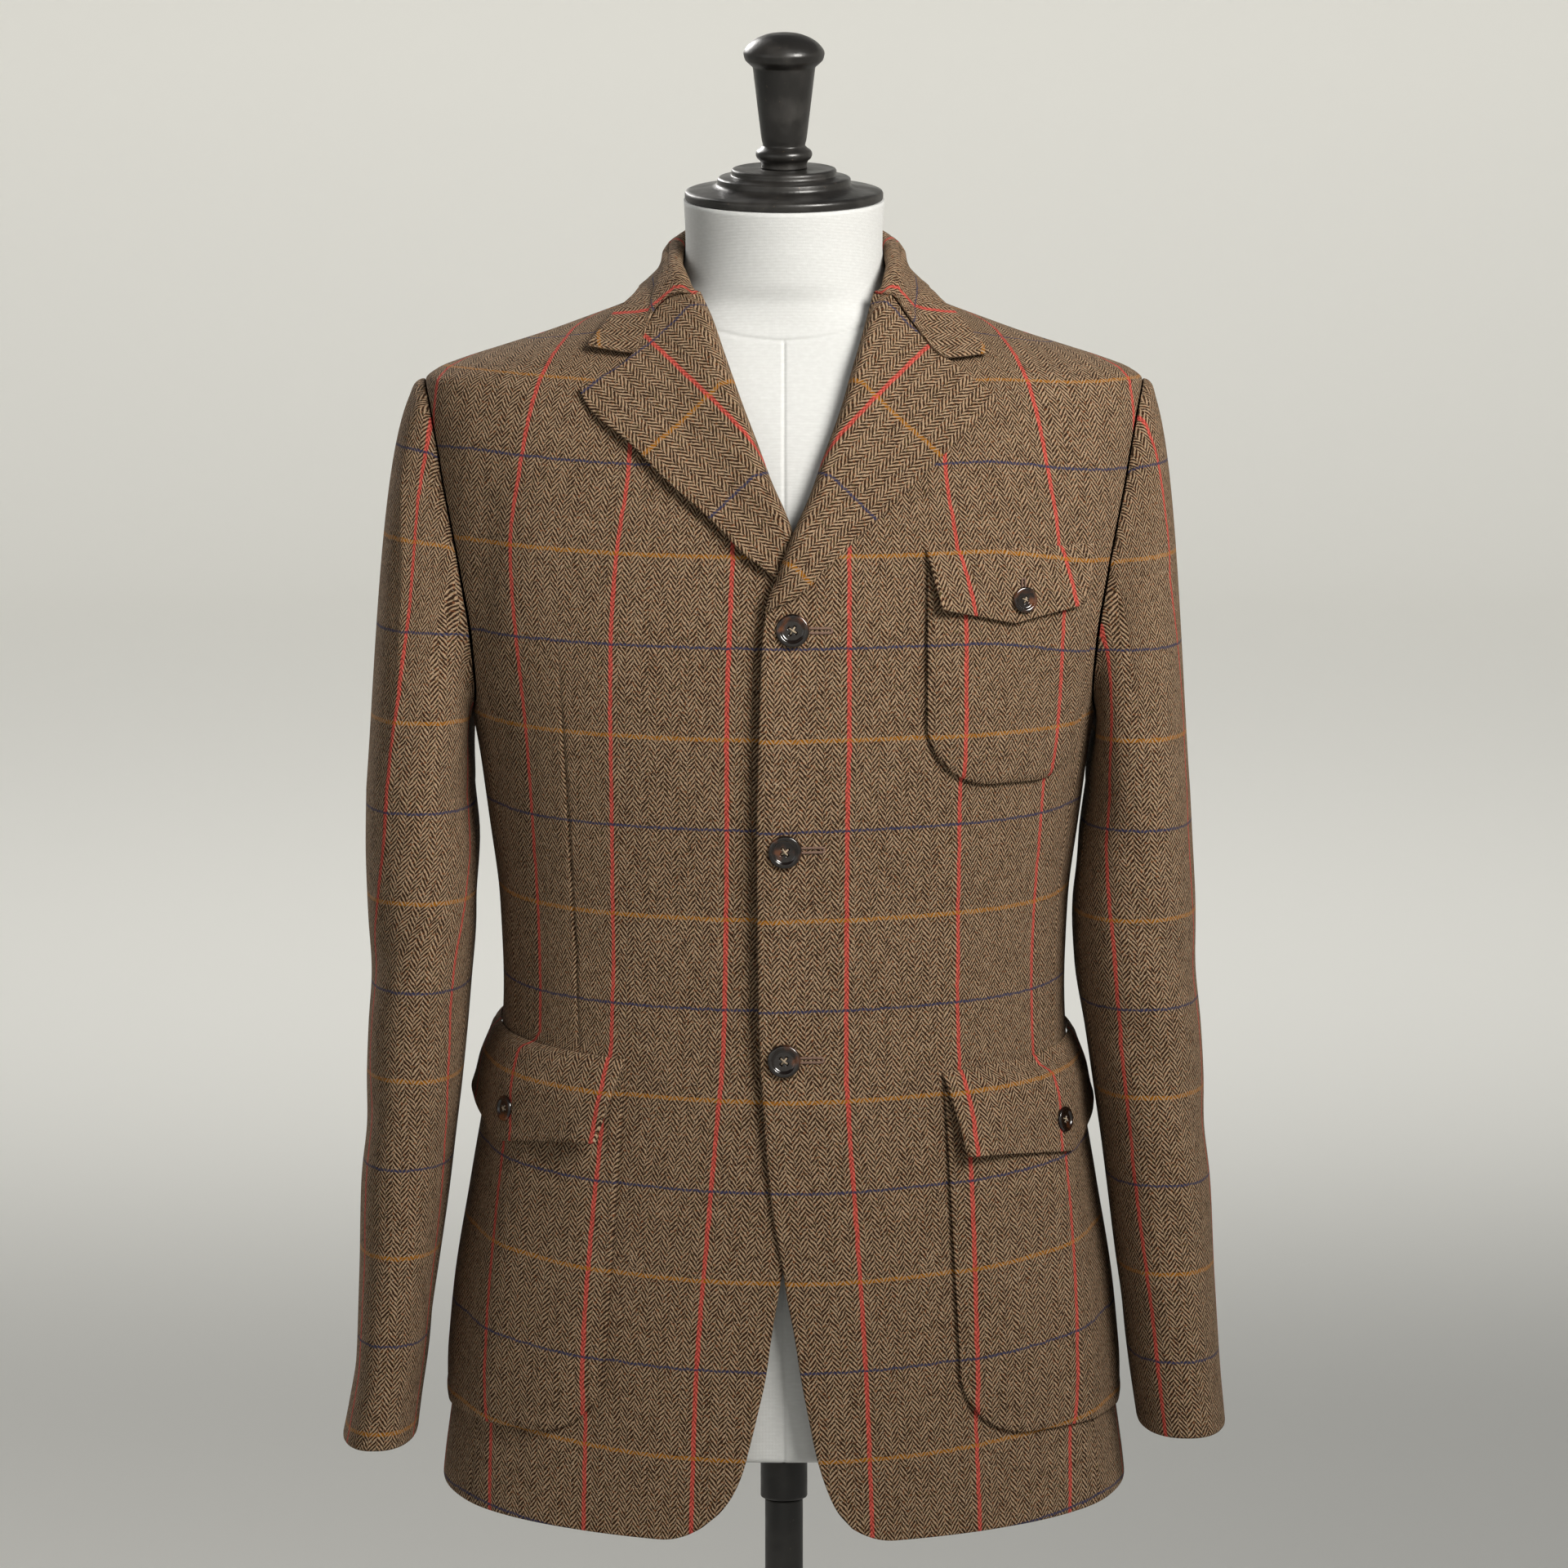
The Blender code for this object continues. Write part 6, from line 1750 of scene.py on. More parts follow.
@dataclass(frozen=True)
class DressForm:
    """Limbless padded form covered in linen, with a seam down its front and one round its neck."""

    sections: Table = Table(("height", "half_width", "front", "back", "middle"), (
        (0.8020, 0.1850, 0.114, 0.110, 0.000), (0.9000, 0.1810, 0.114, 0.107, 0.000),
        (0.9600, 0.1710, 0.113, 0.103, 0.000), (1.0200, 0.1620, 0.111, 0.098, 0.000),
        (1.0800, 0.1585, 0.108, 0.094, 0.000), (1.1300, 0.1600, 0.108, 0.095, 0.000),
        (1.1800, 0.1665, 0.111, 0.100, 0.000), (1.2430, 0.1755, 0.114, 0.107, 0.000),
        (1.3000, 0.1830, 0.112, 0.112, 0.000), (1.3500, 0.1880, 0.105, 0.112, 0.000),
        (1.4000, 0.1910, 0.094, 0.106, 0.000), (1.4300, 0.1905, 0.083, 0.095, 0.000),
        (1.4460, 0.1850, 0.075, 0.086, 0.000), (1.4560, 0.1700, 0.069, 0.081, 0.000),
        (1.4660, 0.1440, 0.064, 0.076, 0.000), (1.4760, 0.1160, 0.060, 0.071, 0.000),
        (1.4860, 0.0900, 0.057, 0.067, 0.000), (1.4960, 0.0715, 0.056, 0.064, 0.000),
        (1.5100, 0.0620, 0.059, 0.062, 0.000), (1.5300, 0.0596, 0.060, 0.060, -0.001),
        (1.5570, 0.0606, 0.060, 0.060, -0.004)))
    roundness: float = 2.2
    foot_round: float = 0.0030
    groove: float = 0.0009
    groove_width: float = 0.0011
    neck_groove: float = 0.0010
    neck_groove_width: float = 0.0012

    def rings(self) -> Array:
        """Rings from the middle of the underside to the middle of the neck's top.

        Two seams press a narrow groove: one in the plane of the middle, one round the base of the neck.
        """
        foot = self.sections.column("height")[0]
        quarter = np.linspace(0.0, math.pi / 2, 6)[1:]
        rise = foot + self.foot_round * (1 - np.cos(quarter))
        height = np.concatenate([[foot, foot], rise, np.linspace(foot + 0.006, 1.455, 52),
                                 np.linspace(1.457, 1.502, 64), np.linspace(1.505, NECK_TOP, 20),
                                 [NECK_TOP, NECK_TOP]])
        inset = np.concatenate([[1.0, 0.0], np.zeros(len(height) - 4), [0.0, 1.0]])
        trim = np.zeros(len(height))
        trim[1] = self.foot_round
        trim[2:7] = self.foot_round * (1 - np.sin(quarter))
        even = np.linspace(0.0, 2 * math.pi, 140, endpoint=False)
        close = np.linspace(-0.05, 0.05, 17)
        angle = np.unique(np.round(np.concatenate([even, close + math.pi / 2, close + 1.5 * math.pi]), 7))
        height, angle = np.meshgrid(height, angle, indexing="ij")
        width, front, back, middle = (self.sections.read(name, height)
                                      for name in ("half_width", "front", "back", "middle"))
        depth = np.where(np.sin(angle) > 0, back, front)
        power = self.roundness + (2.0 - self.roundness) * smooth_step(height, 1.46, 1.51)
        radius = oval_radius(angle, width, depth, power)
        across = radius * np.cos(angle)
        neck_seam = 1.4748 + 3.4 * across**2 + 0.020 * smooth_step(np.sin(angle), -0.6, 0.8)
        groove = self.groove * np.exp(-(across / self.groove_width) ** 2) * (height < neck_seam)
        groove = groove + self.neck_groove * np.exp(-((height - neck_seam) / self.neck_groove_width) ** 2)
        radius = (radius - groove - trim[:, None]) * (1 - inset[:, None])
        y = middle + radius * np.sin(angle)
        lean = math.tan(NECK_LEAN) * smooth_step(height, 1.515, NECK_TOP)
        return np.stack([radius * np.cos(angle), y, height + (y - middle) * lean], axis=-1)

    def build(self, linen: bpy.types.Material) -> None:
        """Make the covered form."""
        made = closed_rings("form_torso_linen", self.rings(), linen)
        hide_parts("form_torso")


@dataclass(frozen=True)
class TurnedPiece:
    """Piece turned from a profile of (radius, height), standing at a place and leaning forward."""

    node: str
    slot: str
    profile: tuple[tuple[float, float], ...]
    place: Place = (0.0, 0.0, 0.0)
    lean: float = 0.0
    points: int = 64
    steps: int = 96

    def build(self, finish: bpy.types.Material) -> None:
        """Make the piece."""
        profile = np.array(self.profile)
        walked = run_lengths(profile, 0)
        share = np.unique(np.concatenate([np.linspace(0.0, 1.0, self.points), walked / walked[-1]]))
        rings = turned_rings(along(profile, share), self.steps)
        cosine, sine = math.cos(self.lean), math.sin(self.lean)
        x, y, z = rings[..., 0], rings[..., 1], rings[..., 2]
        rings = np.stack([x, y * cosine - z * sine, y * sine + z * cosine], axis=-1) + self.place
        made = closed_rings(f"{self.node}_turned", rings, finish)
        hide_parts(self.node)


HARDWARE = (
    TurnedPiece("neck_cap", "black_lacquer", (
        (0.0, 0.0190), (0.0300, 0.0190), (0.0312, 0.0186), (0.0318, 0.0176), (0.0318, 0.0152),
        (0.0330, 0.0146), (0.0392, 0.0136), (0.0402, 0.0128), (0.0406, 0.0100), (0.0412, 0.0090),
        (0.0440, 0.0078), (0.0570, 0.0060), (0.0592, 0.0053), (0.0600, 0.0040), (0.0600, 0.0014),
        (0.0597, 0.0006), (0.0590, 0.0003), (0.0, 0.0003)), NECK_PLACE, NECK_LEAN),
    TurnedPiece("finial", "black_lacquer", (
        (0.0, 0.1010), (0.0080, 0.1002), (0.0160, 0.0975), (0.0220, 0.0930), (0.0245, 0.0885),
        (0.0235, 0.0845), (0.0205, 0.0815), (0.0190, 0.0800), (0.0182, 0.0740), (0.0165, 0.0600),
        (0.0148, 0.0460), (0.0135, 0.0360), (0.0128, 0.0330), (0.0140, 0.0315), (0.0165, 0.0295),
        (0.0171, 0.0276), (0.0165, 0.0255), (0.0145, 0.0235), (0.0138, 0.0215), (0.0140, 0.0194),
        (0.0, 0.0194)), NECK_PLACE, NECK_LEAN),
    TurnedPiece("pole_collar", "black_enamel", (
        (0.0, 0.8015), (0.0139, 0.8015), (0.0145, 0.8009), (0.0145, 0.7556), (0.0142, 0.7549),
        (0.0135, 0.7545), (0.0, 0.7545)), points=24),
    TurnedPiece("pole", "black_enamel", (
        (0.0, 0.7540), (0.01175, 0.7540), (0.01175, 0.0345), (0.0, 0.0345)), points=24),
    TurnedPiece("stand_base", "black_enamel", (
        (0.0, 0.0340), (0.0275, 0.0340), (0.0292, 0.0334), (0.0300, 0.0318), (0.0306, 0.0270),
        (0.0322, 0.0222), (0.0350, 0.0200), (0.0900, 0.0165), (0.1890, 0.0101), (0.1950, 0.0095),
        (0.1985, 0.0082), (0.2000, 0.0060), (0.2000, 0.0022), (0.1994, 0.0006), (0.1980, 0.0),
        (0.0, 0.0)), points=90, steps=128),
)


# ---------------------------------------------------------------- finishes

Colour = tuple[float, float, float]
Socket = bpy.types.NodeSocket
Value = Socket | float


class Nodes:
    """Small builder over a material's node tree."""

    def __init__(self, name: str) -> None:
        """Start a material with a principled shader.

        Args:
            name: the material's name.
        """
        self.material = bpy.data.materials.new(name)
        self.material.use_nodes = True
        self.tree = self.material.node_tree
        self.shader = self.tree.nodes["Principled BSDF"]

    def feed(self, socket: Socket, value: Value | Colour) -> None:
        """Link a socket into another, or set its value."""
        if isinstance(value, bpy.types.NodeSocket):
            self.tree.links.new(value, socket)
        elif isinstance(value, tuple) and len(value) == 3 and socket.type == "RGBA":
            socket.default_value = (*value, 1.0)
        else:
            socket.default_value = value

    def math(self, kind: str, *values: Value) -> Socket:
        """One arithmetic node."""
        node = self.tree.nodes.new("ShaderNodeMath")
        node.operation = kind
        for socket, value in zip(node.inputs, values):
            self.feed(socket, value)
        return node.outputs[0]

    def plus(self, first: Value, second: Value) -> Socket:
        """Sum of two values."""
        return self.math("ADD", first, second)

    def less(self, first: Value, second: Value) -> Socket:
        """First value less the second."""
        return self.math("SUBTRACT", first, second)

    def times(self, first: Value, second: Value) -> Socket:
        """Product of two values."""
        return self.math("MULTIPLY", first, second)

    def step(self, value: Value, start: float, end: float) -> Socket:
        """Smooth rise from 0 at start to 1 at end."""
        node = self.tree.nodes.new("ShaderNodeMapRange")
        node.interpolation_type = "SMOOTHSTEP"
        for name, given in (("Value", value), ("From Min", start), ("From Max", end)):
            self.feed(node.inputs[name], given)
        return node.outputs["Result"]

    def mix(self, share: Value, first: Value | Colour, second: Value | Colour) -> Socket:
        """Colour between two colours."""
        node = self.tree.nodes.new("ShaderNodeMix")
        node.data_type = "RGBA"
        self.feed(node.inputs[0], share)
        self.feed(node.inputs[6], first)
        self.feed(node.inputs[7], second)
        return node.outputs[2]

    def noise(self, place: Socket, scale: float, detail: float = 2.0, rough: float = 0.5) -> Socket:
        """Noise value of about 0.5 at a place."""
        node = self.tree.nodes.new("ShaderNodeTexNoise")
        self.feed(node.inputs["Vector"], place)
        self.feed(node.inputs["Scale"], scale)
        self.feed(node.inputs["Detail"], detail)
        self.feed(node.inputs["Roughness"], rough)
        return node.outputs["Fac"]

    def stir(self, place: Socket, scale: float, detail: float = 2.0, rough: float = 0.5) -> Socket:
        """Noise value of about 0 at a place."""
        return self.less(self.noise(place, scale, detail, rough), 0.5)

    def chance(self, place: Socket) -> Socket:
        """Chance value of 0 to 1 for each cell that a vector names."""
        node = self.tree.nodes.new("ShaderNodeTexWhiteNoise")
        self.feed(node.inputs["Vector"], place)
        return node.outputs["Value"]

    def joined(self, x: Value, y: Value, z: Value = 0.0) -> Socket:
        """Vector of three values."""
        node = self.tree.nodes.new("ShaderNodeCombineXYZ")
        for socket, value in zip(node.inputs, (x, y, z)):
            self.feed(socket, value)
        return node.outputs[0]

    def parts(self, vector: Socket) -> tuple[Socket, Socket, Socket]:
        """The three values of a vector."""
        node = self.tree.nodes.new("ShaderNodeSeparateXYZ")
        self.feed(node.inputs[0], vector)
        return node.outputs[0], node.outputs[1], node.outputs[2]

    def object_place(self) -> Socket:
        """Object coordinates."""
        return self.tree.nodes.new("ShaderNodeTexCoord").outputs["Object"]

    def uv(self, layer: str) -> Socket:
        """Coordinates of a named UV map."""
        node = self.tree.nodes.new("ShaderNodeUVMap")
        node.uv_map = layer
        return node.outputs[0]

    def bump(self, height: Value, depth: float) -> Socket:
        """Normal tilted by a height in metres."""
        node = self.tree.nodes.new("ShaderNodeBump")
        self.feed(node.inputs["Height"], height)
        node.inputs["Distance"].default_value = depth
        node.inputs["Strength"].default_value = 1.0
        return node.outputs["Normal"]

    def finish(self, **values: Value | Colour) -> bpy.types.Material:
        """Set the shader's inputs by name, with underscores for spaces."""
        for name, value in values.items():
            self.feed(self.shader.inputs[name.replace("_", " ")], value)
        return self.material


@dataclass(frozen=True)
class HerringboneTweed:
    """Woollen herringbone of dark and pale yarn with red, orange and navy windowpane stripes.

    Sizes are millimetres of cloth; colours are linear.
    """

    column: float = 4.9
    pitch: float = 3.1
    steepness: float = 1.2
    yarn: float = 1.3
    dark: Colour = (0.027, 0.0125, 0.006)
    pale: Colour = (0.375, 0.258, 0.162)
    rust: Colour = (0.230, 0.075, 0.025)
    olive: Colour = (0.110, 0.090, 0.030)
    cream: Colour = (0.560, 0.460, 0.340)
    red: Colour = (0.620, 0.105, 0.080)
    red_low: Colour = (0.300, 0.032, 0.024)
    orange: Colour = (0.290, 0.105, 0.004)
    navy: Colour = (0.022, 0.028, 0.085)
    navy_low: Colour = (0.050, 0.040, 0.048)

    def build(self) -> bpy.types.Material:
        """Make the material on the UV map called cloth.

        The zigzag is the height plus the distance into a column, taken modulo the pitch; each column is
        half a pitch out of step with the next. Every ridge of the twill has its own chance shade, and
        fibres blur it. A stripe shows where its own yarn lies on top of the twill.

        Returns:
            The material.
        """
        n = Nodes("tweed")
        place = n.uv("cloth")
        x, y, _ = n.parts(place)
        wander = n.stir(place, 110.0, 3.0)
        sway = n.stir(n.joined(y, x), 140.0, 3.0)
        across = n.plus(n.times(x, 1000.0), n.times(wander, 2.0))
        upward = n.plus(n.times(y, 1000.0), n.times(sway, 2.2))
        fold = n.math("PINGPONG", across, self.column)
        number = n.math("FLOOR", n.math("DIVIDE", across, self.column))
        odd = n.times(n.math("FLOORED_MODULO", number, 2.0), 0.5)
        climb = n.times(fold, self.steepness)
        phase = n.plus(n.math("DIVIDE", n.plus(upward, climb), self.pitch), odd)
        wave = n.math("SINE", n.times(phase, 2 * math.pi))
        ridge = n.chance(n.joined(number, n.math("FLOOR", n.plus(phase, 0.25)),
                                  n.math("FLOOR", n.math("DIVIDE", fold, self.yarn))))
        fibre = n.stir(place, 2300.0, 3.0, 0.7)
        mottle = n.stir(place, 520.0, 2.0)
        cloud = n.stir(place, 95.0, 3.0)
        lively = n.times(wave, 1.25)
        for value, weight in ((fibre, 3.0), (mottle, 2.8), (cloud, 0.9), (n.less(ridge, 0.5), 0.9)):
            lively = n.plus(lively, n.times(value, weight))
        warp_up = n.step(lively, -0.40, 1.00)
        cloth = n.mix(warp_up, self.dark, self.pale)
        for colour, scale, start, share in ((self.rust, 760.0, 0.60, 0.55), (self.olive, 690.0, 0.62, 0.45),
                                            (self.cream, 1100.0, 0.655, 0.60)):
            spot = n.noise(n.joined(n.plus(x, scale), n.times(y, 0.7)), scale, 1.0)
            cloth = n.mix(n.times(n.step(spot, start, start + 0.07), share), cloth, colour)
        weft_up = n.less(1.0, n.step(lively, -0.3, 0.9))
        cloth = self.stripe(n, cloth, across, RED_REPEAT * 1000, 0.0, 1.35, 0.95,
                            n.step(lively, -0.8, 0.7), self.red, self.red_low)
        cloth = self.stripe(n, cloth, upward, ORANGE_REPEAT * 1000, 0.0, 1.20, 0.90, weft_up,
                            self.orange, None)
        cloth = self.stripe(n, cloth, upward, ORANGE_REPEAT * 1000, ORANGE_REPEAT * 500, 0.75, 0.80, weft_up,
                            self.navy, self.navy_low)
        relief = n.plus(n.times(wave, 0.6), n.times(fibre, 2.2))
        return n.finish(Base_Color=cloth, Roughness=0.95, Specular_IOR_Level=0.10, Sheen_Weight=0.05,
                        Sheen_Roughness=0.50, Sheen_Tint=(0.75, 0.62, 0.50), Normal=n.bump(relief, 0.00030))

    @staticmethod
    def stripe(n: Nodes, cloth: Socket, along_it: Socket, repeat: float, start: float, half: float,
               strength: float, on_top: Socket, colour: Colour, under: Optional[Colour]) -> Socket:
        """Lay one kind of stripe over the cloth.

        Args:
            n: the node builder.
            cloth: colour so far.
            along_it: place across the stripe, in millimetres.
            repeat: distance from stripe to stripe.
            start: place of the first one.
            half: half its width.
            strength: how fully it covers the cloth.
            on_top: where its yarn lies on top.
            colour: its colour there.
            under: its colour where it dips below, or None where the ground covers it.

        Returns:
            The colour with the stripe.
        """
        moved = n.plus(along_it, repeat * 400 - start)
        away = n.math("PINGPONG", moved, repeat / 2)
        band = n.less(1.0, n.step(away, half - 0.25, half + 0.25))
        if under is not None:
            cloth = n.mix(n.times(band, 0.75), cloth, under)
        return n.mix(n.times(n.times(band, on_top), strength), cloth, colour)


def horn_finish() -> bpy.types.Material:
    """Dark brown horn with paler clouds and a soft polish."""
    n = Nodes("horn")
    place = n.object_place()
    cloud = n.step(n.noise(place, 75.0, 2.0), 0.50, 0.68)
    colour = n.mix(cloud, (0.006, 0.003, 0.002), (0.120, 0.038, 0.012))
    return n.finish(Base_Color=colour, Roughness=0.16, Specular_IOR_Level=0.50, Coat_Weight=0.50,
                    Coat_Roughness=0.05)


def thread_finish(name: str, colour: Colour) -> bpy.types.Material:
    """Twisted cotton thread."""
    n = Nodes(name)
    grain = n.stir(n.object_place(), 2600.0, 2.0)
    shade = n.mix(n.step(grain, -0.2, 0.2), tuple(0.6 * c for c in colour), colour)
    return n.finish(Base_Color=shade, Roughness=0.85, Normal=n.bump(grain, 0.0002))


def linen_finish() -> bpy.types.Material:
    """Tightly drawn off-white linen: fine threads both ways and a few slubs."""
    n = Nodes("linen")
    place = n.object_place()
    x, y, z = n.parts(place)
    turn = n.math("ARCTAN2", y, x)
    upright = n.math("SINE", n.times(turn, 1100.0))
    level = n.math("SINE", n.times(z, 9500.0))
    slub = n.noise(n.joined(n.times(turn, 3.0), n.times(z, 90.0)), 6.0, 4.0)
    weave = n.plus(n.times(upright, 0.25), n.times(level, 0.25))
    height = n.plus(weave, n.times(n.noise(place, 1800.0), 0.8))
    colour = n.mix(n.step(slub, 0.35, 0.75), (0.560, 0.566, 0.558), (0.600, 0.608, 0.600))
    return n.finish(Base_Color=colour, Roughness=0.88, Sheen_Weight=0.15, Normal=n.bump(height, 0.00012))


def worn_black(name: str, colour: Colour, rough: float, wear: Colour) -> bpy.types.Material:
    """Black paint with dull patches and small rubbed spots where the metal shows.

    Args:
        name: the material's name.
        colour: the paint.
        rough: its roughness.
        wear: colour of the rubbed spots.

    Returns:
        The material.
    """
    n = Nodes(name)
    place = n.object_place()
    dull = n.noise(place, 55.0, 4.0)
    spots = n.step(n.noise(place, 420.0, 3.0, 0.6), 0.69, 0.74)
    shade = n.mix(n.step(dull, 0.4, 0.7), colour, tuple(2.2 * c for c in colour))
    shade = n.mix(n.times(spots, 0.6), shade, wear)
    gloss = n.plus(rough, n.times(n.step(dull, 0.35, 0.7), 0.16))
    return n.finish(Base_Color=shade, Roughness=gloss, Normal=n.bump(n.noise(place, 240.0, 3.0), 0.00015))


def lit_finish(name: str, colour: Colour, glow: float) -> bpy.types.Material:
    """Matt paint of one colour, lit from behind."""
    return Nodes(name).finish(Base_Color=colour, Roughness=0.95, Specular_IOR_Level=0.1,
                              Emission_Color=colour, Emission_Strength=glow)


# ---------------------------------------------------------------- pieces of the jacket

ROLLED = Edge(reach=0.0010, drop=0.0003)
UNDER_SLEEVE = (160.0, 250.0)
SLEEVE_GAP = 0.3
DART = {
    Side.LEFT: (),
    Side.RIGHT: (Crease(0.1372, 1.2800, 0.1280, 1.0500, 0.0010, -0.0016),),
}


def cloth_pieces() -> list[ClothPiece]:
    """All cut pieces of the jacket, each with the size of its cut."""
    made: list[ClothPiece] = []
    for side in Side:
        word = side.word
        made += [
            FrontPanel(f"front_{word}", side, 76, 180, (0.235, 0.830), 0.157,
                       edges=(PLAIN_FOLD, SEWN_SEAM, HEMMED, SEWN_SEAM), dart=DART[side]),
            SidePanel(f"side_{word}", side, 32, 124, (0.160, 0.500), 0.059),
            BackPanel(f"back_{word}", side, 54, 164, (0.250, 0.790), 0.147),
            SleevePiece(f"sleeve_{word}_top", side, 96, 144, (0.280, 0.650), 0.139,
                        rests_on=(f"front_{word}", f"back_{word}"),
                        first_turn=UNDER_SLEEVE[1] - 360 + SLEEVE_GAP,
                        last_turn=UNDER_SLEEVE[0] - SLEEVE_GAP),
            SleevePiece(f"sleeve_{word}_under", side, 36, 112, (0.130, 0.480), 0.046,
                        rests_on=(f"side_{word}", f"back_{word}"),
                        first_turn=UNDER_SLEEVE[0] + SLEEVE_GAP, last_turn=UNDER_SLEEVE[1] - SLEEVE_GAP),
            Lapel(f"lapel_{word}", side, 44, 100, (0.105, 0.200), 0.0112, held=Hold.FOLDED,
                  rests_on=(f"front_{word}",), edges=(ROLLED, PLAIN_FOLD, LAPEL_FOOT, PLAIN_FOLD)),
        ]
    made += [
        Collar("collar", Side.LEFT, 60, 150, (0.095, 0.425), 0.026, held=Hold.FOLDED,
               edges=(ROLLED, PLAIN_FOLD, HEMMED, HEMMED)),
        PatchPocket("pocket_chest", Side.LEFT, 50, 52, (0.112, 0.127), 0.0137, held=Hold.LAID,
                    rests_on=("front_left",), edges=(PATCH_EDGE, PATCH_EDGE, PATCH_EDGE, HEMMED),
                    x_top=0.0845, x_bottom=0.0845, width=0.111, top=1.3405, slope=-0.010, bottom=1.2135,
                    corner=0.040, puff=0.0030),
        PatchPocket("pocket_left", Side.LEFT, 62, 76, (0.190, 0.217), 0.0403, held=Hold.LAID,
                    rests_on=("front_left",), edges=(SOFT_EDGE, PATCH_EDGE, PATCH_EDGE, HEMMED),
                    x_top=0.0950, x_bottom=0.1075, top=1.0300, bottom=0.8185),
        PatchPocket("pocket_right", Side.RIGHT, 62, 76, (0.190, 0.221), 0.0412, held=Hold.LAID,
                    rests_on=("front_right",), edges=(CRISP_EDGE, PATCH_EDGE, PATCH_EDGE, HEMMED),
                    x_top=0.0950, x_bottom=0.1105, top=1.0350, bottom=0.8190),
        Flap("flap_chest", Side.LEFT, 56, 26, (0.112, 0.0445), 0.0042, rests_on=("front_left",),
             x=0.0840, width=0.112, top=1.3535, slope=0.001, ends=0.036, point=0.0445, slant=(0.009, 0.018),
             front_lift=0.0040, far_lift=0.0020, pocket_puff=0.0030, skew=0.0055, curve=1.15),
        Flap("flap_left", Side.LEFT, 72, 32, (0.187, 0.064), 0.0105, rests_on=("front_left",),
             top=1.0400, slope=0.014, point=0.0640, slant=(0.010, 0.010), front_lift=0.0065,
             far_lift=0.0030, far_shift=(-0.004, -0.015)),
        Flap("flap_right", Side.RIGHT, 72, 32, (0.187, 0.065), 0.0105, rests_on=("front_right",),
             top=1.0480, slope=0.012, point=0.0650, slant=(0.012, 0.012), front_lift=0.0085,
             far_lift=0.0050, far_shift=(-0.004, -0.020)),
    ]
    return made


OVER_FLAP = 2 * CLOTH + 2 * REST + FLAP_CLEAR
FRONT_BUTTON = 0.0100
FLAP_BUTTON = 0.0078


def buttons() -> tuple[list[Button], list[Buttonhole]]:
    """Buttons and their bound holes."""
    front = [(0.0050, 1.3070, 12.0), (0.0005, 1.1770, -8.0), (0.0000, 1.0500, 5.0)]
    made, holes = [], []
    for number, (x, height, turn) in enumerate(front, start=1):
        lap = float(WORN.lap(np.float64(x), np.float64(height)))
        made.append(Button(f"button_front_{number}", Side.LEFT, x, height, FRONT_BUTTON, lap, turn))
        holes.append(Buttonhole(f"front_hole_{number}", Side.LEFT, (x + 0.0015, height), (x + 0.0218, height),
                                0.0))
    flaps = (("button_chest", Side.LEFT, 0.1385, 1.3230, 0.0030),
             ("button_pocket_left", Side.LEFT, 0.1600, 1.0035, 0.0040),
             ("button_pocket_right", Side.RIGHT, 0.1590, 1.0105, 0.0040))
    for name, side, x, height, puff in flaps:
        ground = OVER_FLAP + puff
        made.append(Button(name, side, x, height, FLAP_BUTTON, ground, 20.0))
        holes.append(Buttonhole(name.replace("button", "hole"), side, (x, height + 0.0010),
                                (x, height + 0.0115), ground, 0.0009, 0.0007))
    return made, holes


# ---------------------------------------------------------------- studio

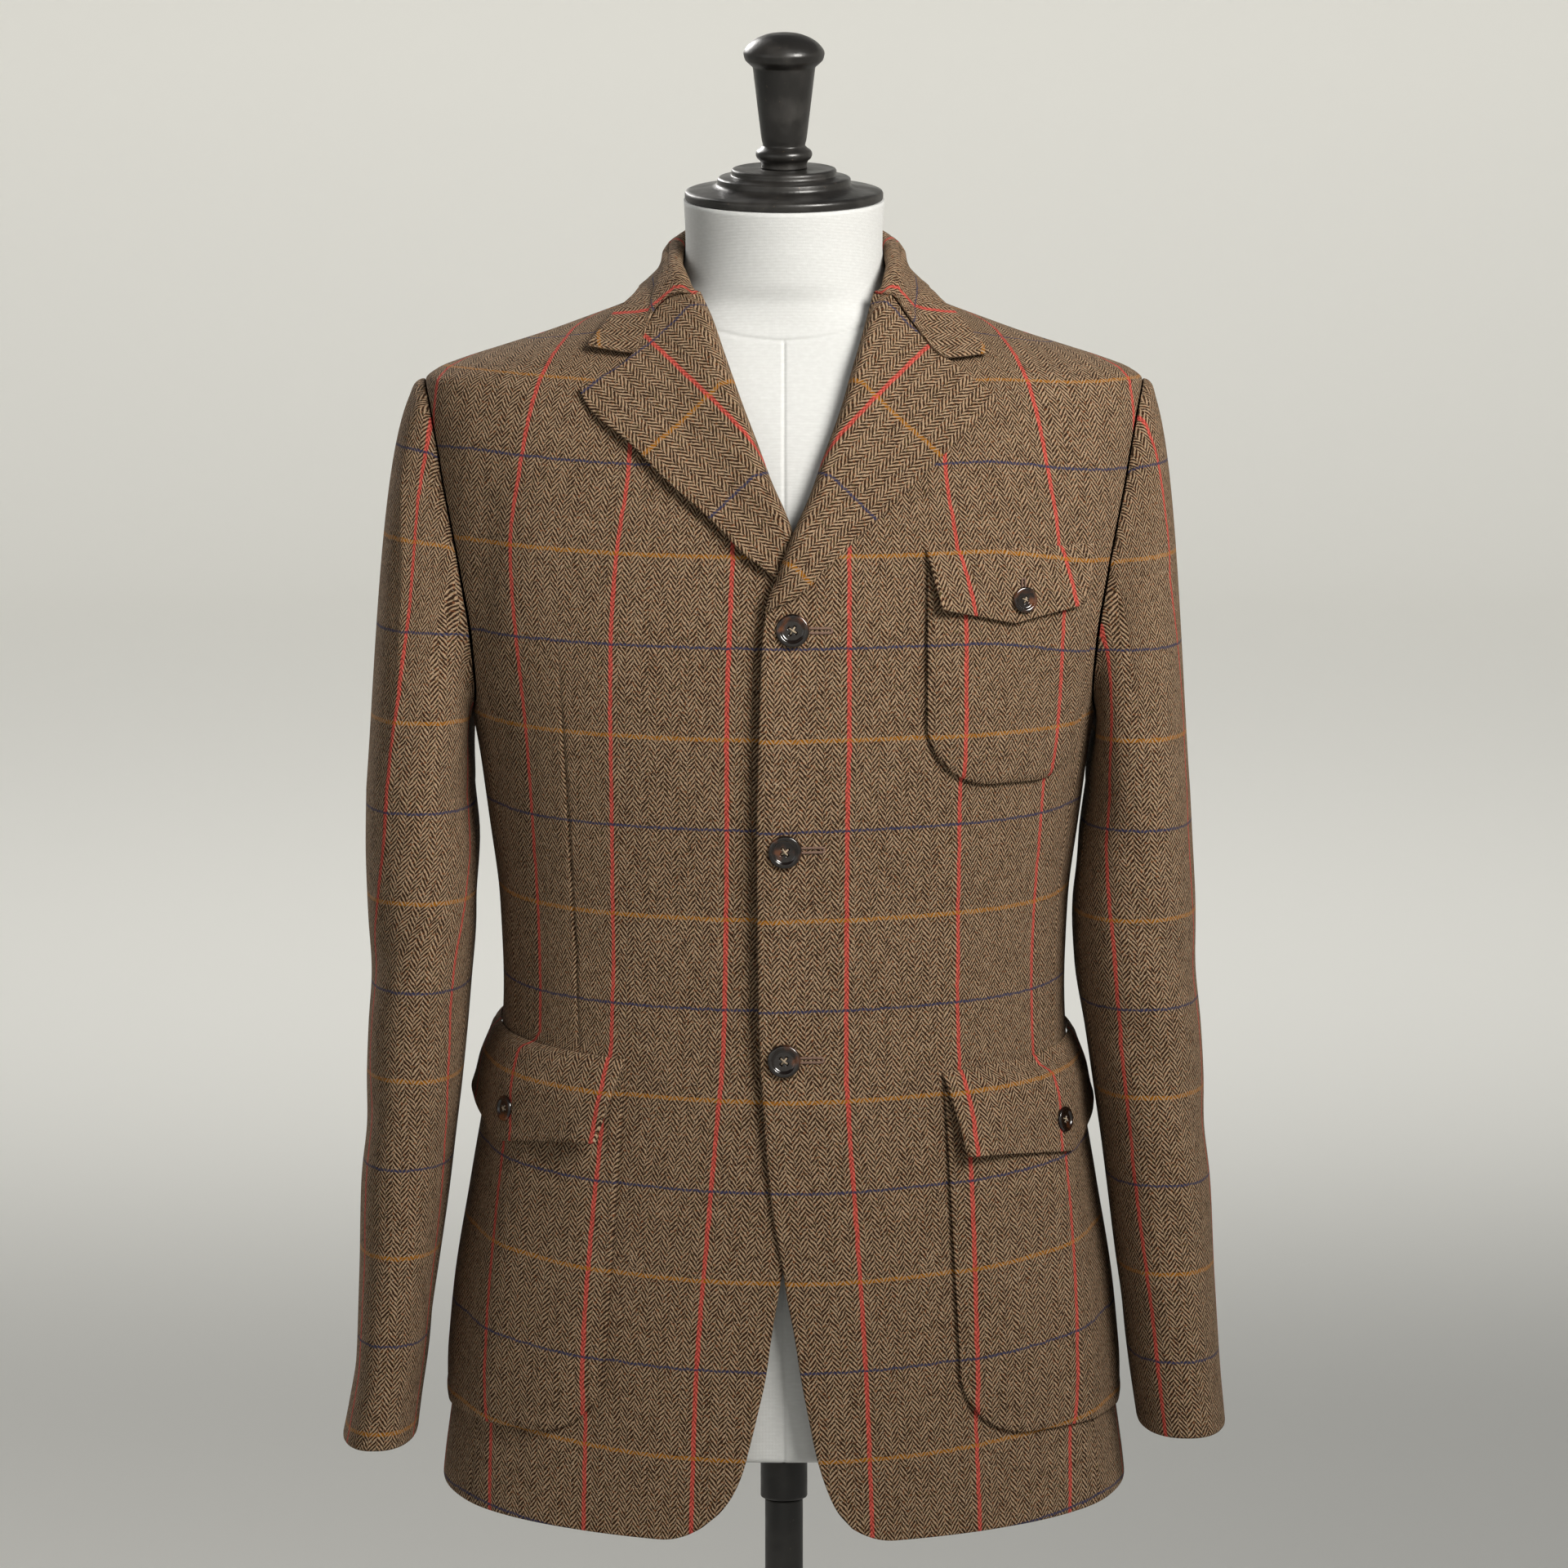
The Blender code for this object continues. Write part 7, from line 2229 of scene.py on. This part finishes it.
@dataclass(frozen=True)
class Studio:
    """Camera, soft lights and a pale bowl-shaped floor.

    A row of lights is name, place, aim, size, power, spread and colour.
    """

    camera_place: Place = (0.0, -3.869, 1.689)
    lens: float = 146.25
    look_down: float = 7.2
    floor_radii: tuple[float, float] = (0.5, 2.0)
    wall_radius: float = 15.0
    wall_height: float = 9.0
    bend: float = 1.5
    lights: tuple[tuple[str, Place, Place, float, float, float, Colour], ...] = (
        ("key", (1.5, -1.9, 2.85), (0.02, 0.0, 1.66), 1.10, 14.5, 56.0, (1.0, 0.97, 0.92)),
        ("fill", (-3.0, -2.6, 2.4), (0.0, 0.0, 1.4), 2.2, 3.5, 100.0, (0.95, 0.97, 1.0)),
        ("back", (-1.6, 2.9, 3.0), (0.0, 0.0, 1.50), 1.20, 11.0, 60.0, (1.0, 0.98, 0.95)),
        ("wall_behind", (0.0, 3.0, 5.5), (0.0, 15.0, 1.5), 3.0, 215.0, 120.0, (1.0, 0.99, 0.96)),
        ("wall_before", (0.0, -3.0, 5.5), (0.0, -15.0, 1.5), 3.0, 215.0, 120.0, (1.0, 0.99, 0.96)))

    def camera(self) -> None:
        """Camera a little above the finial, looking down on the chest."""
        data = bpy.data.cameras.new("camera")
        data.lens = self.lens
        data.sensor_width = 36.0
        data.dof.use_dof = False
        made = linked("camera", data)
        made.location = self.camera_place
        made.rotation_euler = (math.radians(90 - self.look_down), 0.0, 0.0)
        bpy.context.scene.camera = made

    def light(self, name: str, place: Place, aim: Place, size: float, power: float, spread: float,
              colour: Colour) -> None:
        """Square light.

        Args:
            name: the light's name.
            place: where it hangs.
            aim: what it points at.
            size: length of its side.
            power: its power in watts.
            spread: angle of its beam in degrees.
            colour: its colour.
        """
        data = bpy.data.lights.new(name, "AREA")
        data.size = size
        data.energy = power
        data.spread = math.radians(spread)
        data.color = colour
        made = linked(name, data)
        made.location = place
        made.rotation_euler = (Vector(aim) - Vector(place)).to_track_quat("-Z", "Y").to_euler()
        made.visible_camera = False

    def floor(self) -> None:
        """Floor that curves up into a wall all round, with one round face in its middle."""
        bend = np.linspace(0.0, math.pi / 2, 20)
        radius = np.concatenate([self.floor_radii, self.wall_radius - self.bend + self.bend * np.sin(bend),
                                 [self.wall_radius]])
        height = np.concatenate([[0.0, 0.0], self.bend - self.bend * np.cos(bend), [self.wall_height]])
        rings = turned_rings(np.stack([radius, height], axis=-1), 96)
        count, steps = rings.shape[:2]
        number = np.arange(count * steps).reshape(count, steps)
        after = np.roll(number, -1, axis=1)
        cells = np.stack([number[:-1], number[1:], after[1:], after[:-1]], axis=-1).reshape(-1, 4)
        mesh = bpy.data.meshes.new("floor")
        mesh.from_pydata(rings.reshape(-1, 3).tolist(), [], [number[0].tolist()] + cells.tolist())
        mesh.shade_smooth()
        mesh.materials.append(lit_finish("studio_floor", (0.80, 0.79, 0.75), 0.20))
        linked("floor", mesh)

    def build(self) -> None:
        """Set up the whole studio."""
        scene = bpy.context.scene
        scene.view_settings.view_transform = "Standard"
        world = bpy.data.worlds.new("studio")
        world.use_nodes = True
        sky = world.node_tree.nodes["Background"]
        sky.inputs["Color"].default_value = (0.90, 0.95, 1.0, 1.0)
        sky.inputs["Strength"].default_value = 0.09
        scene.world = world
        for row in self.lights:
            self.light(*row)
        self.camera()
        self.floor()


# ---------------------------------------------------------------- assembly

def main() -> None:
    """Build every piece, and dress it."""
    logging.basicConfig(level=logging.INFO, format="%(name)s: %(message)s")
    tweed = HerringboneTweed().build()
    for piece in cloth_pieces():
        piece.build(tweed)
    horn = horn_finish()
    pale = thread_finish("pale_thread", (0.42, 0.33, 0.23))
    brown = thread_finish("brown_thread", (0.210, 0.125, 0.090))
    row, holes = buttons()
    for button in row:
        button.build(horn, pale)
    for hole in holes:
        hole.build(brown)
    DressForm().build(linen_finish())
    lacquer = worn_black("lacquer", (0.012, 0.011, 0.010), 0.30, (0.16, 0.11, 0.07))
    enamel = worn_black("enamel", (0.014, 0.013, 0.012), 0.38, (0.13, 0.11, 0.09))
    for turned in HARDWARE:
        turned.build(lacquer if turned.slot == "black_lacquer" else enamel)
    Studio().build()


if __name__ == "__main__":
    main()
